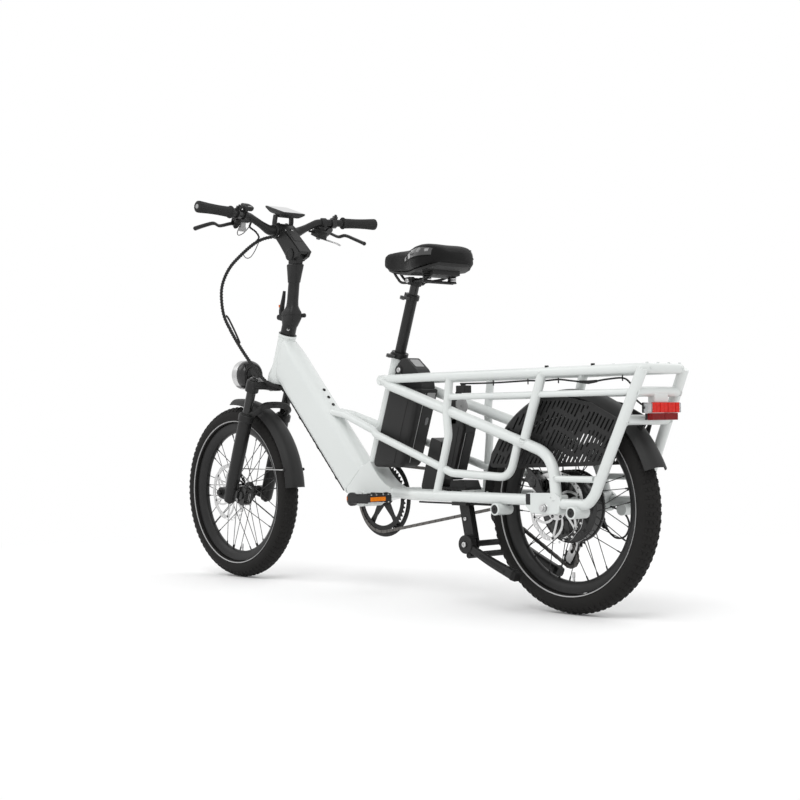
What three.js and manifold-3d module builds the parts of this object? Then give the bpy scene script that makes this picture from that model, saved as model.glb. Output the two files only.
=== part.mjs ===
// A longtail cargo bike with a tubular rear rack, built in millimetres.
// x runs forward from the rear axle, y to the rider's left and z up from the ground.
// Each right-hand piece is made by the same function as its left-hand twin, with side = -1.
import * as THREE from 'three';
import { mergeVertices } from 'three/addons/utils/BufferGeometryUtils.js';
import Module from 'manifold-3d';

const wasm = await Module();
wasm.setup();

// Driving dimensions
const gap = 0.3;            // between pieces that touch
const overrun = 6;          // how far a cutting shape runs past what it cuts
const wheelbase = 1375;
const tyreRadius = 265;
const bracketX = 762;       // bottom bracket, ahead of the rear axle
const bracketZ = 262;
const headLean = 20 * Math.PI / 180;
const seatLean = 19.4 * Math.PI / 180;
const columnLean = 8 * Math.PI / 180;

// Sides given to round shapes
const facets = { spoke: 3, wire: 5, thin: 6, pin: 8, bore: 10, round: 12, ring: 14, wheel: 16, wide: 20,
  guard: 24, rotor: 26 };

const tyre = { width: 62, tread: 34, wallDrop: 24, bead: 210, beadWidth: 34, segments: 32 };
const rim = { outer: 209.6, inner: 185, width: 36, bed: 20, segments: 32 };
const spokes = { count: 36, radius: 1.15, crossing: 0.8, motorCrossing: 0.2 };
const frontHub = { radius: 19, flange: 29, flangeAt: 30, flangeThick: 4, halfWidth: 48, bore: 6.9 };
const motor = { radius: 88, shoulder: 70, rimSlope: 6, halfWidth: 27, hubRadius: 19, leftEnd: 62,
  rightEnd: 33, bore: 7.7 };
const rotor = { radius: 90, track: 72, spider: 24, bore: 19.4, thick: 2, frontAt: 46, rearAt: 60, arms: 5,
  innerShares: [0.1, 0.75], outerShares: [1.05, 0.65, 0.25] };
const frontAxle = { radius: 6, halfWidth: 92, nut: 9, nutLong: 7 };
const rearAxle = { radius: 7, halfWidth: 112, nut: 11, nutLong: 9 };

const downTube = { depth: 121, width: 62, corner: 18, topX: 1121, topZ: 653, footX: 806, footZ: 319 };
const headTube = { topX: 1132, topZ: 744, length: 150, radius: 26, flare: 32, flareLong: 24, bore: 15 };
const cableGuide = { radius: 5.5, long: 13, high: 18, low: 88 };
const seatTube = { radius: 20, topX: 627, topZ: 669, footX: 753, bore: 15.7, boreDeep: 260 };
const seatCollar = { radius: 24, high: 16, lugLong: 15, lugWide: 13 };
const yoke = { width: 60, rearX: 640, railZ: 282, lowZ: 242, shell: 22, shellHalf: 36.5, bore: 9.2, nose: 830,
  topShare: 0.26, hollowShare: 0.55, hollowSteps: 4 };

const mainTube = 14;        // radii of the frame's tubes
const midTube = 13;
const thinTube = 8;
const postTube = 12;
const tubeSides = 8;
const postSides = 6;
const rack = {
  topZ: 592, halfWidth: 76, rearX: -284, noseX: 660, noseHalf: 34.6, spreadX: 420, flareX: 606, flareHalf: 56,
  frontPostX: 352, midPostX: 36, sideRailZ: 540, sideRailRearX: -250,
  upperBarX: -263, upperBarZ: 540, lowerBarX: -231, lowerBarZ: 475, cornerBend: 30,
};
const stay = {
  lowHalf: 92, railZ: 283, railRearX: -50, spreadX: 480, spreadHalf: 26,
  midHalf: 82, elbowX: -8, elbowZ: 392, elbowBend: 90, footX: -30,
  midStartX: 905, midStartZ: 508, midStartHalf: 16, midBendX: 850, midBendZ: 500,
  seatX: 703, seatZ: 454, seatHalf: 34.6, flareX: 668, flareZ: 443, flareHalf: 56, flareDropZ: 576,
    lowBendX: 340, lowBendZ: 343, hookX: 134, hookZ: 335,
  hookTopX: 110, hookTopZ: 424, hookBend: 45,
  postKinkX: 359, postKinkZ: 440, postMidX: 366, postMidZ: 500, postFootX: 391,
  rearKneeX: -150, rearKneeZ: 300, rearToeX: -128, rearToeZ: 276, bridgeZ: 336, bridgeX: -148,
  midPostFootX: 92, midPostFootZ: 432, crossX: 430,
};
const dropout = { innerHalf: 67, outerHalf: 99, backX: -44, frontX: 46, topZ: 297, lowZ: 250 };
const footPeg = { radius: 15, inner: 66, outer: 119, frontX: 154, rearX: -97, z: 257 };

const chainLine = -45.2;
const pitch = 12.7;
const ring = { teeth: 48, thick: 2, tip: 3, root: 3.4, seat: 80 };
const guard = { inner: 97, outer: 112, thick: 3, centre: -53 };
const cogs = { teeth: [28, 24, 22, 20, 18, 16, 14], first: -36, step: -4.6, thick: 1.9, driven: 2,
  body: 19, bore: 7.5 };
const chainSize = { width: 6.6, groove: 2.7, high: 4.3, toothRoom: 3.7, sag: 0.6 };
const jockey = { radius: 22.5, upperX: 22, upperZ: 184, lowerX: 50, lowerZ: 131, thick: 2.2, bore: 3.2,
  teeth: 11 };
const idler = { radius: 20, x: 306, z: 227, thick: 8, bore: 4.3 };
const cage = { thick: 2, offset: 4.3, radius: 12, pin: 2.9, outerY: -62, linkY: -58.875, linkRadius: 6,
  linkLow: -6,
  linkHigh: 3 };
const hanger = { x: -24, z: 228, radius: 12, from: -65.2, to: -66.7, bodyTo: -81, linkY: -76, topX: -22,
  topZ: 262 };

const crank = { long: 170, lift: 4 * Math.PI / 180, spindle: 8.9, bossRadius: 19, tipRadius: 13, thick: 13,
  bossY: 66, tipY: 91, armWide: 24, armDeep: 12, armCorner: 4, spiderArm: 15, spiderArms: 5, bolt: 5 };
const pedal = { long: 98, wide: 86, thick: 25, inner: 106, spindle: 4.6, bore: 5, bar: 13, window: 26,
  windowShare: 0.9, windowCorner: 4.33 };

const fork = {
  crownZ: 578, crownX: 1212, crownDeep: 22, crownWide: 44, crownCorner: 5.5,
  stanchion: 14, stanchionShare: 0.62, legTopX: 1214, legTopZ: 600, legHalf: 70, collarShare: 0.282,
  lowerRadius: 21, collarRadius: 24, collarLong: 26, capRadius: 20.3, capRise: 7.33, capDrop: 28.6,
    raceRadius: 27.52,
  legFootX: 1342, legFootZ: 236, footRadius: 16.8, boreRoom: 45.4, arch: 13, archZ: 520, archRadius: 9.1,
    steerer: 14.3,
};
const stem = { collar: 22, collarLong: 50, blockWide: 46, blockDeep: 50, blockHigh: 16, corner: 6,
  quill: 17, sleeve: 21,
  sleeveFrom: 105, sleeveTo: 143, jointX: 1112, jointZ: 800, pivotAt: 181, pivotRadius: 22, tongueHalf: 12,
    tongueFoot: 14,
  tongueAt: 130, pin: 6, cap: 14, capFrom: 24.3, capTo: 27, topGap: 3 };
const foldHinge = { y: -30, radius: 6.5, inner: 9, outer: 25, web: 10, webHigh: 6.2 };
const latch = { ahead: 48, pivotZ: 797, radius: 7, reachBack: 14, reachUp: 69, half: 8, earAhead: 16, earZ: 789,
  earRadius: 8, earOuter: 14, pin: 3.2, bore: 3.6 };
const riser = { clampX: 1150, clampZ: 1056, rearX: 1078, rearZ: 985, rearRadius: 26, half: 24, clampRadius: 23,
  clampHalf: 26, bore: 16.3, slotAhead: 30, slotBehind: 40, slotDown: 45, slotUp: 5, room: 0.6 };
const bar = { radius: 11, centre: 15.9, centreHalf: 36, lowY: 52, bendY: 130, bendX: 1146, bendZ: 1092,
  gripY: 206,
  gripX: 1124, gripZ: 1094, endY: 334, endX: 1112, endZ: 1099, bend: 40, sides: 10, bore: 11.4 };
const grip = { radius: 15.5, flange: 18.5, flangeLong: 5, start: 5, wall: 3 };
const perch = { y: 182, radius: 16.5, half: 8, arm: 11, reach: 9, pivotX: 1158, pivotZ: 1066, pivotY: 172,
  slot: 15,
  slotHalf: 5.4, pin: 3.2, armRoot: 176, turnX: 0.68, turnZ: 0.733 };
const brakeLever = { hub: 7, half: 5, bore: 3.6, radius: 5, straight: 14, kneeX: 1160, kneeY: 225, kneeZ: 1057,
  bowX: 1155, bowY: 250, bowZ: 1062, tipX: 1146, tipY: 320, tipZ: 1041 };
const pad = { x: 1122, y: 153, z: 1113, long: 36, wide: 34, thick: 14, corner: 4, tilt: 0.5, clamp: 15,
  clampHalf: 6,
  neck: 8, pocket: 6.4, pocketDeep: 4.5, tabX: 1149.5, tabY: 150, tabZ: 1070, tabLong: 10, tabWide: 22,
    tabHigh: 30 };
const padButton = { radius: 6, from: 3.8, to: 8.5 };
const shifter = { x: 1150, y: -142, z: 1062, half: 13, radius: 17, spread: 13, clamp: 15, clampY: -150,
  clampHalf: 8,
  neck: 9, lean: 0.385, pin: 3, pinLong: 5 };
const paddle = { long: 77, hub: 8, tip: 4.5, half: 1.6, bore: 3.4, reachX: -74, reachY: -42, reachZ: -30 };
const display = { x: 1139, z: 1112, long: 103, wide: 88, thick: 17, corner: 8, tilt: -0.325,
  footFrom: 26.6, footTo: 35.6,
  footRadius: 22, footTopX: 1146, footTopZ: 1100, footTop: 9 };
const cableRoute = [[1177, 12, 1043], [1211, 30, 1037], [1254, 40, 1023], [1313, 45, 997], [1374, 48, 963],
  [1413, 48, 921],
  [1427, 46, 879], [1418, 44, 820], [1389, 42, 773], [1328, 40, 710], [1252, 44, 652], [1176, 46, 600]];
const cable = { bundle: 5.5, radius: 3.5, y: 12, topAt: 398, lowAt: 12, run: 25, apart: 1.5, sides: 6 };

const post = { outer: 15.3, outerLong: 360, inner: 12.6, wall: 13, innerLong: 300, exposed: 165, innerShown: 26,
  clamp: 19.5, clampHigh: 15, lug: 13 };
const camLever = { hub: 6, hubHigh: 8, radius: 4, ahead: 6, outY: 12.8, backX: 46, wide: 31, kneeX: 12,
  kneeY: 30 };
const saddle = { sides: 14, dome: 0.75, floorDrop: 0.3,
  stations: [[406, 34, 926, 908], [413, 66, 938, 898], [427, 90, 947, 891], [452, 97, 951, 886], [484, 88,
    949, 884],
    [520, 66, 945, 884], [560, 45, 944, 886], [602, 33, 945, 890], [644, 27, 943, 898], [664, 20, 938, 905],
    [674, 10, 931, 912]] };
const saddleShell = { thick: 9, inset: 4, rail: 3.6, railHalf: 22, noseShare: 0.5, frontX: 636, frontZ: 890,
  lowFrontX: 596, lowRearX: 520,
  lowZ: 858, rearX: 458, rearZ: 879, clampAt: 203, clampRadius: 11, clampHalf: 29, sleeve: 17, sleeveTo: 207,
  springX: 466, springHalf: 46, springRadius: 12, springLow: 846, springTop: 880, barHigh: 850 };

const battery = { depth: 98, width: 76, corner: 12, lowZ: 352, topZ: 566, behind: 31, capHalf: 24,
  cap: [[624, 560], [622, 609], [611, 635], [588, 650], [559, 651], [474, 611], [480, 600], [530, 560]] };
const dock = { width: 44, thick: 10.4, corner: 2, lowZ: 385, topZ: 560 };
const rearBattery = { half: 38, bevel: 7, outline: [[402, 321.3], [371, 567], [326, 566], [309, 463], [356,
  321.3]] };
const rearDock = { x: 430, long: 170, half: 29, z: 299, thick: 6.6, ringFrom: 12, ringTo: 24,
  ringRadius: 17, ringBore: 12.5,
  seat: [[345, 302], [410, 302], [404, 321], [354, 321]], seatHalf: 27 };
const controller = { half: 32, bevel: 4, outline: [[472, 435], [515, 298], [461, 298], [432, 422]] };

const fender = { half: 35, thick: 2.4, drop: 17, frontRadius: 290, rearRadius: 288, segments: 12, ribs: 4,
  wire: 1.7, wireTurn: 0.2,
  wireShare: 0.72, wireOut: 11, bossRadius: 6, lugX: 284, lugZ: 296 };
const frontArc = { from: 80 * Math.PI / 180, to: 176 * Math.PI / 180 };
const rearArc = { from: 6 * Math.PI / 180, to: 160 * Math.PI / 180 };
const skirt = { y: 57.5, thick: 2.6, bossRadius: 6, bossZ: 500, lowBossX: 60, lowBossZ: 412,
  outline: [[105, 359], [229, 358], [222, 392], [177, 451], [133, 491], [54, 534], [-34, 532], [-113, 517],
    [-205, 474],
    [-171, 374], [-122, 367]],
  slotWide: 6, slotPitch: 26, slotLean: -0.35,
  rows: [[372, 405, -140, 11], [415, 448, -150, 11], [458, 491, -150, 9]] };
const tailLight = { x: -286, depth: 22, half: 69, lowZ: 491, topZ: 515, reflectorLow: 474, reflectorHalf: 52,
  reflectorDepth: 10, plateHalf: 20, plateDepth: 22, plateTop: 540, plateX: -264 };
const tailLead = { radius: 2.2, sides: 5, route: [[-270, 50, 505], [-246, 54, 522], [-242, 58, 545], [-231,
  58, 562], [-211, 60, 573],
    [-105, 58, 568], [-11, 60, 574], [90, 59, 574], [330, 59, 574]] };
const headlight = { backX: 1308, frontX: 1386, z: 628, radius: 45, backRadius: 30, glass: 40, glassDeep: 5,
  sides: 16,
  shoulder: 40.5, shoulderShare: 0.3, rimShare: 0.55, armWide: 22, armThick: 7, armCorner: 2, armIn: 18,
    armShare: 0.7,
  riseShare: 0.8 };
const caliper = { long: 58, high: 34, half: 15, slot: 6, frontAlong: 20, frontOut: 80, lugLong: 24, lugHigh: 26,
  lugWide: 18, lugY: 64, rearX: 61, rearZ: 327, rearLean: -0.7, footY: 77, footHalf: 7,
  foot: [[36, 340], [80, 344], [46, 297.4], [20, 297.4]] };
const standBracket = { x: 302, topZ: 269.8, half: 98, deep: 52, plate: 9, armFrom: 60, armTo: 78.6,
  armRadius: 17, armTopZ: 258 };
const stand = { pivotX: 281, pivotZ: 162, ring: 24, ringFrom: 79, ringTo: 99, bore: 8.4, pin: 8,
  pinHalf: 102, kneeX: 205,
  kneeZ: 124, kneeY: 86, footX: 124, footZ: 92, footY: 79, bar: 9.5, footRadius: 13, footFrom: 66,
    footTo: 92, braceX: 277,
  braceZ: 134, brace: 8 };

// Shape helpers
const vec = (point) => new THREE.Vector3(...point);
const mix = (from, to, share) => from + (to - from) * share;
const mixPoint = (from, to, share) => from.map((value, i) => mix(value, to[i], share));
const shift = (point, direction, distance) => point.map((value, i) => value + direction[i] * distance);
const unit = (from, to) => vec(to).sub(vec(from)).normalize().toArray();
const span = (from, to) => vec(from).distanceTo(vec(to));

// The corners of a regular polygon, around a circle when it is a hole, else inside it
function polygon(radius, sides, { hole = false, x = 0, y = 0, turn = 0 } = {}) {
  const reach = hole ? radius / Math.cos(Math.PI / sides) : radius;
  return Array.from({ length: sides }, (_, i) => {
    const angle = turn + (i * 2 * Math.PI) / sides;
    return [x + reach * Math.cos(angle), y + reach * Math.sin(angle)];
  });
}

function shapeOf(outline, holes = []) {
  const corners = outline.map(([x, y]) => new THREE.Vector2(x, y));
  if (THREE.ShapeUtils.isClockWise(corners)) corners.reverse();
  const shape = new THREE.Shape(corners);
  shape.holes = holes.map((hole) => new THREE.Path(hole.map(([x, y]) => new THREE.Vector2(x, y))));
  return shape;
}

function roundedBox(width, depth, corner, cornerSteps = 3) {
  const outline = [];
  for (let quarter = 0; quarter < 4; quarter += 1) {
    const sx = quarter === 0 || quarter === 3 ? 1 : -1;
    const sy = quarter < 2 ? 1 : -1;
    for (let i = 0; i <= cornerSteps; i += 1) {
      const angle = (quarter + i / cornerSteps) * Math.PI / 2;
      outline.push([sx * (width / 2 - corner) + corner * Math.cos(angle),
        sy * (depth / 2 - corner) + corner * Math.sin(angle)]);
    }
  }
  return outline;
}

// The outline round two circles, as of a crank arm or a link plate
function strapOutline([x1, z1, r1], [x2, z2, r2], arcSteps = 3) {
  const along = Math.atan2(z2 - z1, x2 - x1);
  const spread = Math.acos((r1 - r2) / Math.hypot(x2 - x1, z2 - z1));
  const arc = (x, z, radius, from, to) => Array.from({ length: arcSteps + 1 }, (_, i) => {
    const angle = mix(from, to, i / arcSteps);
    return [x + radius * Math.cos(angle), z + radius * Math.sin(angle)];
  });
  return [...arc(x1, z1, r1, along + spread, along + 2 * Math.PI - spread),
    ...arc(x2, z2, r2, along - spread, along + spread)];
}

// A path of straight runs and rounded bends, with a station only where it turns
const bendSteps = 2;
const slightTurn = 0.3;
const bendShare = 0.48;     // of a straight run, at most, that the bend at its end takes up
class BentPath extends THREE.Curve {
  constructor(points, bend) {
    super();
    const corners = points.map(vec);
    this.stations = [corners[0]];
    for (let i = 1; i < corners.length - 1; i += 1) {
      const back = corners[i - 1].clone().sub(corners[i]);
      const ahead = corners[i + 1].clone().sub(corners[i]);
      const turn = Math.PI - back.angleTo(ahead);
      const reach = Math.min(bend * Math.tan(turn / 2), back.length() * bendShare, ahead.length() * bendShare);
      if (turn < slightTurn || reach === 0) {
        this.stations.push(corners[i]);
      } else {
        const start = corners[i].clone().addScaledVector(back.normalize(), reach);
        const end = corners[i].clone().addScaledVector(ahead.normalize(), reach);
        const arc = new THREE.QuadraticBezierCurve3(start, corners[i], end);
        this.stations.push(...arc.getPoints(bendSteps));
      }
    }
    this.stations.push(corners.at(-1));
    this.steps = this.stations.length - 1;
  }

  getPointAt(share) {
    return this.stations[Math.round(share * this.steps)].clone();
  }

  getTangentAt(share) {
    const i = Math.round(share * this.steps);
    const before = this.stations[Math.max(i - 1, 0)];
    const here = this.stations[i];
    const after = this.stations[Math.min(i + 1, this.steps)];
    const arriving = here.clone().sub(before).normalize();
    const leaving = after.clone().sub(here).normalize();
    return arriving.add(leaving).normalize();
  }
}

function sweep(points, outline, { bend = 0 } = {}) {
  const path = new BentPath(points, bend);
  return new THREE.ExtrudeGeometry(shapeOf(outline), { steps: path.steps, extrudePath: path });
}

const tube = (points, radius, bend = 0, sides = tubeSides) =>
  sweep(points, polygon(radius, sides, { turn: Math.PI / sides }), { bend });
const rod = (from, to, radius, sides = facets.pin) => tube([from, to], radius, 0, sides);

// A plate that stands across the bike, its outline given as x and z
function slab(outline, yFrom, yTo, holes = []) {
  const depth = Math.abs(yTo - yFrom);
  const plate = new THREE.ExtrudeGeometry(shapeOf(outline, holes), { depth, bevelEnabled: false });
  return plate.rotateX(Math.PI / 2).translate(0, Math.max(yFrom, yTo), 0);
}

const strap = (first, second, yFrom, yTo) => slab(strapOutline(first, second), yFrom, yTo);
const disc = (x, z, radius, yFrom, yTo, sides = facets.wheel) =>
  slab(polygon(radius, sides, { x, y: z }), yFrom, yTo);

// A ring or solid turned about the y axis, from radius and y pairs listed from the low inner corner
function turned(profile, segments, phase = 0) {
  const loop = [...profile, profile[0]].map(([radius, y]) => new THREE.Vector2(radius, y));
  return new THREE.LatheGeometry(loop, segments, phase);
}

const flats = (segments, radius) => radius / Math.cos(Math.PI / segments);
const wheelRing = (profile, segments) =>
  turned(profile.map(([radius, y]) => [flats(segments, radius), y]), segments, Math.PI / segments);

// Turns a shape's y axis onto a direction and moves it to a place
function stand3(geometry, at, direction) {
  const turn = new THREE.Quaternion().setFromUnitVectors(new THREE.Vector3(0, 1, 0), vec(direction));
  return geometry.applyQuaternion(turn).translate(...at);
}

function box(centre, size, tilt = 0, axis = [0, 1, 0]) {
  const turn = new THREE.Quaternion().setFromAxisAngle(vec(axis).normalize(), tilt);
  return new THREE.BoxGeometry(...size).applyQuaternion(turn).translate(...centre);
}

// Booleans
function solid(shape) {
  if (!(shape instanceof THREE.BufferGeometry)) return shape;
  const bare = shape.clone();
  bare.deleteAttribute('normal');
  bare.deleteAttribute('uv');
  const welded = mergeVertices(bare);
  const corners = welded.index.array;
  const faces = [];
  for (let i = 0; i < corners.length; i += 3) {
    const [a, b, c] = corners.slice(i, i + 3);
    if (a !== b && b !== c && c !== a) faces.push(a, b, c);
  }
  return new wasm.Manifold(new wasm.Mesh({
    numProp: 3, vertProperties: Float32Array.from(welded.attributes.position.array),
      triVerts: Uint32Array.from(faces),
  }));
}

const fuse = (...shapes) => shapes.flat().map(solid).reduce((whole, piece) => whole.add(piece));
const cut = (body, ...tools) => tools.flat().map(solid).reduce((whole, tool) => whole.subtract(tool),
  solid(body));

function faceted(shape) {
  const mesh = shape.getMesh();
  const geometry = new THREE.BufferGeometry();
  geometry.setAttribute('position', new THREE.BufferAttribute(Float32Array.from(mesh.vertProperties), 3));
  geometry.setIndex(new THREE.BufferAttribute(Uint32Array.from(mesh.triVerts), 1));
  return geometry;
}

// Finishes
const finish = (color, roughness, metalness = 0) => ({ color, roughness, metalness });
const paint = finish(0xe4e8e5, 0.35);
const blackMetal = finish(0x1b1c1e, 0.42, 0.5);
const blackPlastic = finish(0x232426, 0.55);
const rubber = finish(0x1d1e1f, 0.85);
const steel = finish(0xb9bcc0, 0.3, 1);
const chainSteel = finish(0x4c4b49, 0.4, 0.9);
const redGlass = finish(0xb0151a, 0.2);
const greyPlastic = finish(0x9a9da0, 0.45);

const centreX = (wheelbase + tyreRadius + rack.rearX - mainTube) / 2;
const bike = new THREE.Group();
bike.position.x = -centreX;

function add(name, shape, look, at = [0, 0, 0]) {
  const geometry = shape instanceof THREE.BufferGeometry ? shape : faceted(shape);
  if (!geometry.attributes.normal) geometry.computeVertexNormals();
  const mesh = new THREE.Mesh(geometry, new THREE.MeshStandardMaterial(look));
  mesh.name = name;
  mesh.position.set(...at);
  bike.add(mesh);
  return mesh;
}

// Axes that several pieces share
const headUp = [-Math.sin(headLean), 0, Math.cos(headLean)];
const headTop = [headTube.topX, 0, headTube.topZ];
const headFoot = shift(headTop, headUp, -headTube.length);
const seatUp = [-Math.sin(seatLean), 0, Math.cos(seatLean)];
const seatTop = [seatTube.topX, 0, seatTube.topZ];
const seatAt = (distance) => shift(seatTop, seatUp, distance);
const seatFoot = seatAt(-(seatTube.footX - seatTube.topX) / Math.sin(seatLean));
const downUp = unit([downTube.footX, 0, downTube.footZ], [downTube.topX, 0, downTube.topZ]);
const downFace = [-downUp[2], 0, downUp[0]];

// Frame
const downTubeAt = (grow = 0) => sweep(
  [[downTube.footX, 0, downTube.footZ], [downTube.topX, 0, downTube.topZ]],
  roundedBox(downTube.width + 2 * grow, downTube.depth + 2 * grow, downTube.corner + grow, 2),
);
const seatTubeAt = (grow = 0) => tube([seatFoot, seatTop], seatTube.radius + grow, 0, facets.round);
const headShell = (grow = 0) => stand3(turned([
  [0, 0], [headTube.flare + grow, 0], [headTube.flare + grow, headTube.flareLong],
  [headTube.radius + grow, 2 * headTube.flareLong], [headTube.radius + grow, headTube.length], [0,
    headTube.length],
], facets.ring), headFoot, headUp);

function yokeOutline() {
  const { rearX, railZ, lowZ, nose, topShare, hollowShare, hollowSteps } = yoke;
  const topX = mix(bracketX, seatTube.topX, topShare);
  const topZ = mix(bracketZ, seatTube.topZ, topShare);
  const hollow = new THREE.QuadraticBezierCurve(
    new THREE.Vector2(topX, topZ), new THREE.Vector2(mix(rearX, topX, hollowShare), railZ + 2 * mainTube),
    new THREE.Vector2(rearX, railZ + mainTube),
  );
  return [...hollow.getPoints(hollowSteps).map(({ x, y }) => [x, y]), [rearX, railZ - mainTube], [bracketX,
    lowZ],
    [(bracketX + nose) / 2, lowZ], [nose, railZ], [nose, (railZ + topZ) / 2]];
}

function frontFrame() {
  const guides = [cableGuide.high, cableGuide.low].map((drop) => {
    const level = shift(headTop, headUp, -drop);
    const ahead = [headUp[2], 0, -headUp[0]];
    return rod(shift(level, ahead, headTube.radius / 2), shift(level, ahead, headTube.radius + cableGuide.long),
      cableGuide.radius);
  });
  const collar = tube([seatAt(-seatCollar.high), seatTop], seatCollar.radius, 0, facets.round);
  const lug = box(shift(seatAt(-seatCollar.high / 2), [1, 0, 0], seatCollar.radius),
    [seatCollar.lugLong, seatCollar.lugWide, seatCollar.high], -seatLean);
  const shell = disc(bracketX, bracketZ, yoke.shell, -yoke.shellHalf, yoke.shellHalf, facets.round);
  const body = fuse(downTubeAt(), headShell(), seatTubeAt(), collar, lug, shell, guides,
    slab(yokeOutline(), -yoke.width / 2, yoke.width / 2));
  const steererBore = tube([shift(headFoot, headUp, -overrun), shift(headTop, headUp, overrun)],
    flats(facets.round, headTube.bore), 0, facets.round);
  const postBore = tube([seatAt(-seatTube.boreDeep), seatAt(overrun)], flats(facets.round, seatTube.bore),
    0, facets.round);
  const spindleBore = disc(bracketX, bracketZ, flats(facets.round, yoke.bore), -yoke.shellHalf - overrun,
    yoke.shellHalf + overrun, facets.round);
  return cut(body, steererBore, postBore, spindleBore);
}

add('front_frame', frontFrame(), paint);

const diagonalAt = (side, grow = 0) => tube([[rack.noseX, side * rack.noseHalf, rack.topZ],
  [rack.flareX, side * rack.flareHalf, stay.flareDropZ], [stay.elbowX, side * stay.midHalf, stay.elbowZ],
  [stay.footX, side * stay.lowHalf, stay.railZ]], mainTube + grow, stay.elbowBend);
const midPostAt = (side, grow = 0) => tube([[rack.midPostX, side * rack.halfWidth, rack.topZ],
  [stay.midPostFootX, side * stay.midHalf, stay.midPostFootZ]], postTube + grow, 0, postSides);
const crossbarAt = (side, [x, y, z], grow = 0) =>
  tube([[x, side * (grow ? -overrun : gap / 2), z], [x, side * y, z]], postTube + grow, 0, postSides);
const upperBar = [rack.upperBarX, rack.halfWidth, rack.upperBarZ];
const lowerBar = [rack.lowerBarX, rack.halfWidth, rack.lowerBarZ];
const middleBar = [stay.crossX, stay.lowHalf, stay.railZ];

function sideFrame(side) {
  const at = (x, y, z) => [x, side * y, z];
  const nose = at(rack.noseX, rack.noseHalf, rack.topZ);
  const topRail = tube([nose, at(rack.flareX, rack.flareHalf, rack.topZ), at(rack.spreadX, rack.halfWidth,
    rack.topZ), at(rack.rearX, rack.halfWidth, rack.topZ),
    at(rack.rearX, gap / 2, rack.topZ)], mainTube, rack.cornerBend);
  const diagonal = diagonalAt(side);
  const noseCap = disc(rack.noseX, rack.topZ, mainTube, side * (rack.noseHalf - mainTube),
    side * (rack.noseHalf + mainTube), facets.ring);
  const midStay = tube([at(stay.midStartX, stay.midStartHalf, stay.midStartZ),
    at(stay.midBendX, stay.midStartHalf, stay.midBendZ), at(stay.seatX, stay.seatHalf, stay.seatZ),
    at(stay.flareX, stay.flareHalf, stay.flareZ),
    at(stay.lowBendX, stay.midHalf, stay.lowBendZ), at(stay.hookX, stay.midHalf, stay.hookZ),
    at(stay.hookTopX, rack.halfWidth, stay.hookTopZ)], midTube, stay.hookBend, postSides);
  const frontPost = tube([at(rack.frontPostX, rack.halfWidth, rack.topZ), at(stay.postMidX, rack.halfWidth,
    stay.postMidZ),
    at(stay.postKinkX, rack.halfWidth, stay.postKinkZ), at(stay.postFootX, stay.lowHalf, stay.railZ)], midTube,
    stay.hookBend, postSides);
  const sideRail = tube([at(stay.postMidX, rack.halfWidth, rack.sideRailZ),
    at(rack.sideRailRearX, rack.halfWidth, rack.sideRailZ)], thinTube, 0, facets.thin);
  const midPost = midPostAt(side);
  const rearPost = tube([at(rack.rearX, rack.halfWidth, rack.topZ), at(stay.rearKneeX, stay.lowHalf,
    stay.rearKneeZ),
    at(stay.rearToeX, stay.lowHalf, stay.rearToeZ), at(stay.railRearX, stay.lowHalf, stay.rearToeZ)], midTube,
    stay.hookBend, postSides);
  const bridge = tube([at(stay.footX, stay.lowHalf, stay.bridgeZ), at(stay.bridgeX, stay.lowHalf,
    stay.bridgeZ)], thinTube, 0, facets.thin);
  const lowRail = tube([at(yoke.rearX - gap, stay.spreadHalf - thinTube, yoke.railZ),
    at(yoke.rearX - mainTube, stay.spreadHalf - thinTube, yoke.railZ), at(stay.spreadX, stay.lowHalf,
      stay.railZ),
    at(stay.railRearX, stay.lowHalf, stay.railZ)], mainTube, stay.hookBend);
  const crossbars = [upperBar, lowerBar, middleBar].map((bar) => crossbarAt(side, bar));
  const pegs = [footPeg.frontX, footPeg.rearX].map((x) =>
    rod(at(x, footPeg.inner, footPeg.z), at(x, footPeg.outer, footPeg.z), footPeg.radius, facets.pin));
  const block = slab([[dropout.backX, dropout.lowZ], [dropout.frontX, dropout.lowZ], [dropout.frontX,
    dropout.topZ],
    [dropout.backX, dropout.topZ]], side * dropout.innerHalf, side * dropout.outerHalf);
  const axleHole = disc(0, tyreRadius, rearAxle.radius + gap, side * (dropout.innerHalf - overrun),
    side * (dropout.outerHalf + overrun), facets.round);
  const half = fuse(topRail, diagonal, noseCap, midStay, frontPost, sideRail, midPost, rearPost, bridge,
    lowRail,
    crossbars, pegs, block);
  return cut(half, axleHole, downTubeAt(gap), seatTubeAt(gap));
}

add('left_side_frame', sideFrame(1), paint);
add('right_side_frame', sideFrame(-1), paint);

// Wheels
function lacedWheel(hub, { flangeRadius, flangeY, crossing }) {
  const ringShape = wheelRing([[rim.inner, -rim.bed / 2], [rim.outer, -rim.width / 2], [rim.outer,
    rim.width / 2],
    [rim.inner, rim.bed / 2]], rim.segments);
  const wires = Array.from({ length: spokes.count }, (_, i) => {
    const side = i % 2 ? 1 : -1;
    const lean = Math.floor(i / 2) % 2 ? 1 : -1;
    const outer = (i * 2 * Math.PI) / spokes.count;
    const inner = outer + lean * crossing;
    const seat = flangeRadius - 2 * spokes.radius;
    const hook = side * (flangeY + lean * 2 * spokes.radius);
    return rod([seat * Math.cos(inner), hook, seat * Math.sin(inner)],
      [(rim.inner + spokes.radius * 2) * Math.cos(outer), side * spokes.radius,
        (rim.inner + spokes.radius * 2) * Math.sin(outer)],
      spokes.radius, facets.spoke);
  });
  return fuse(ringShape, hub, wires);
}

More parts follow.
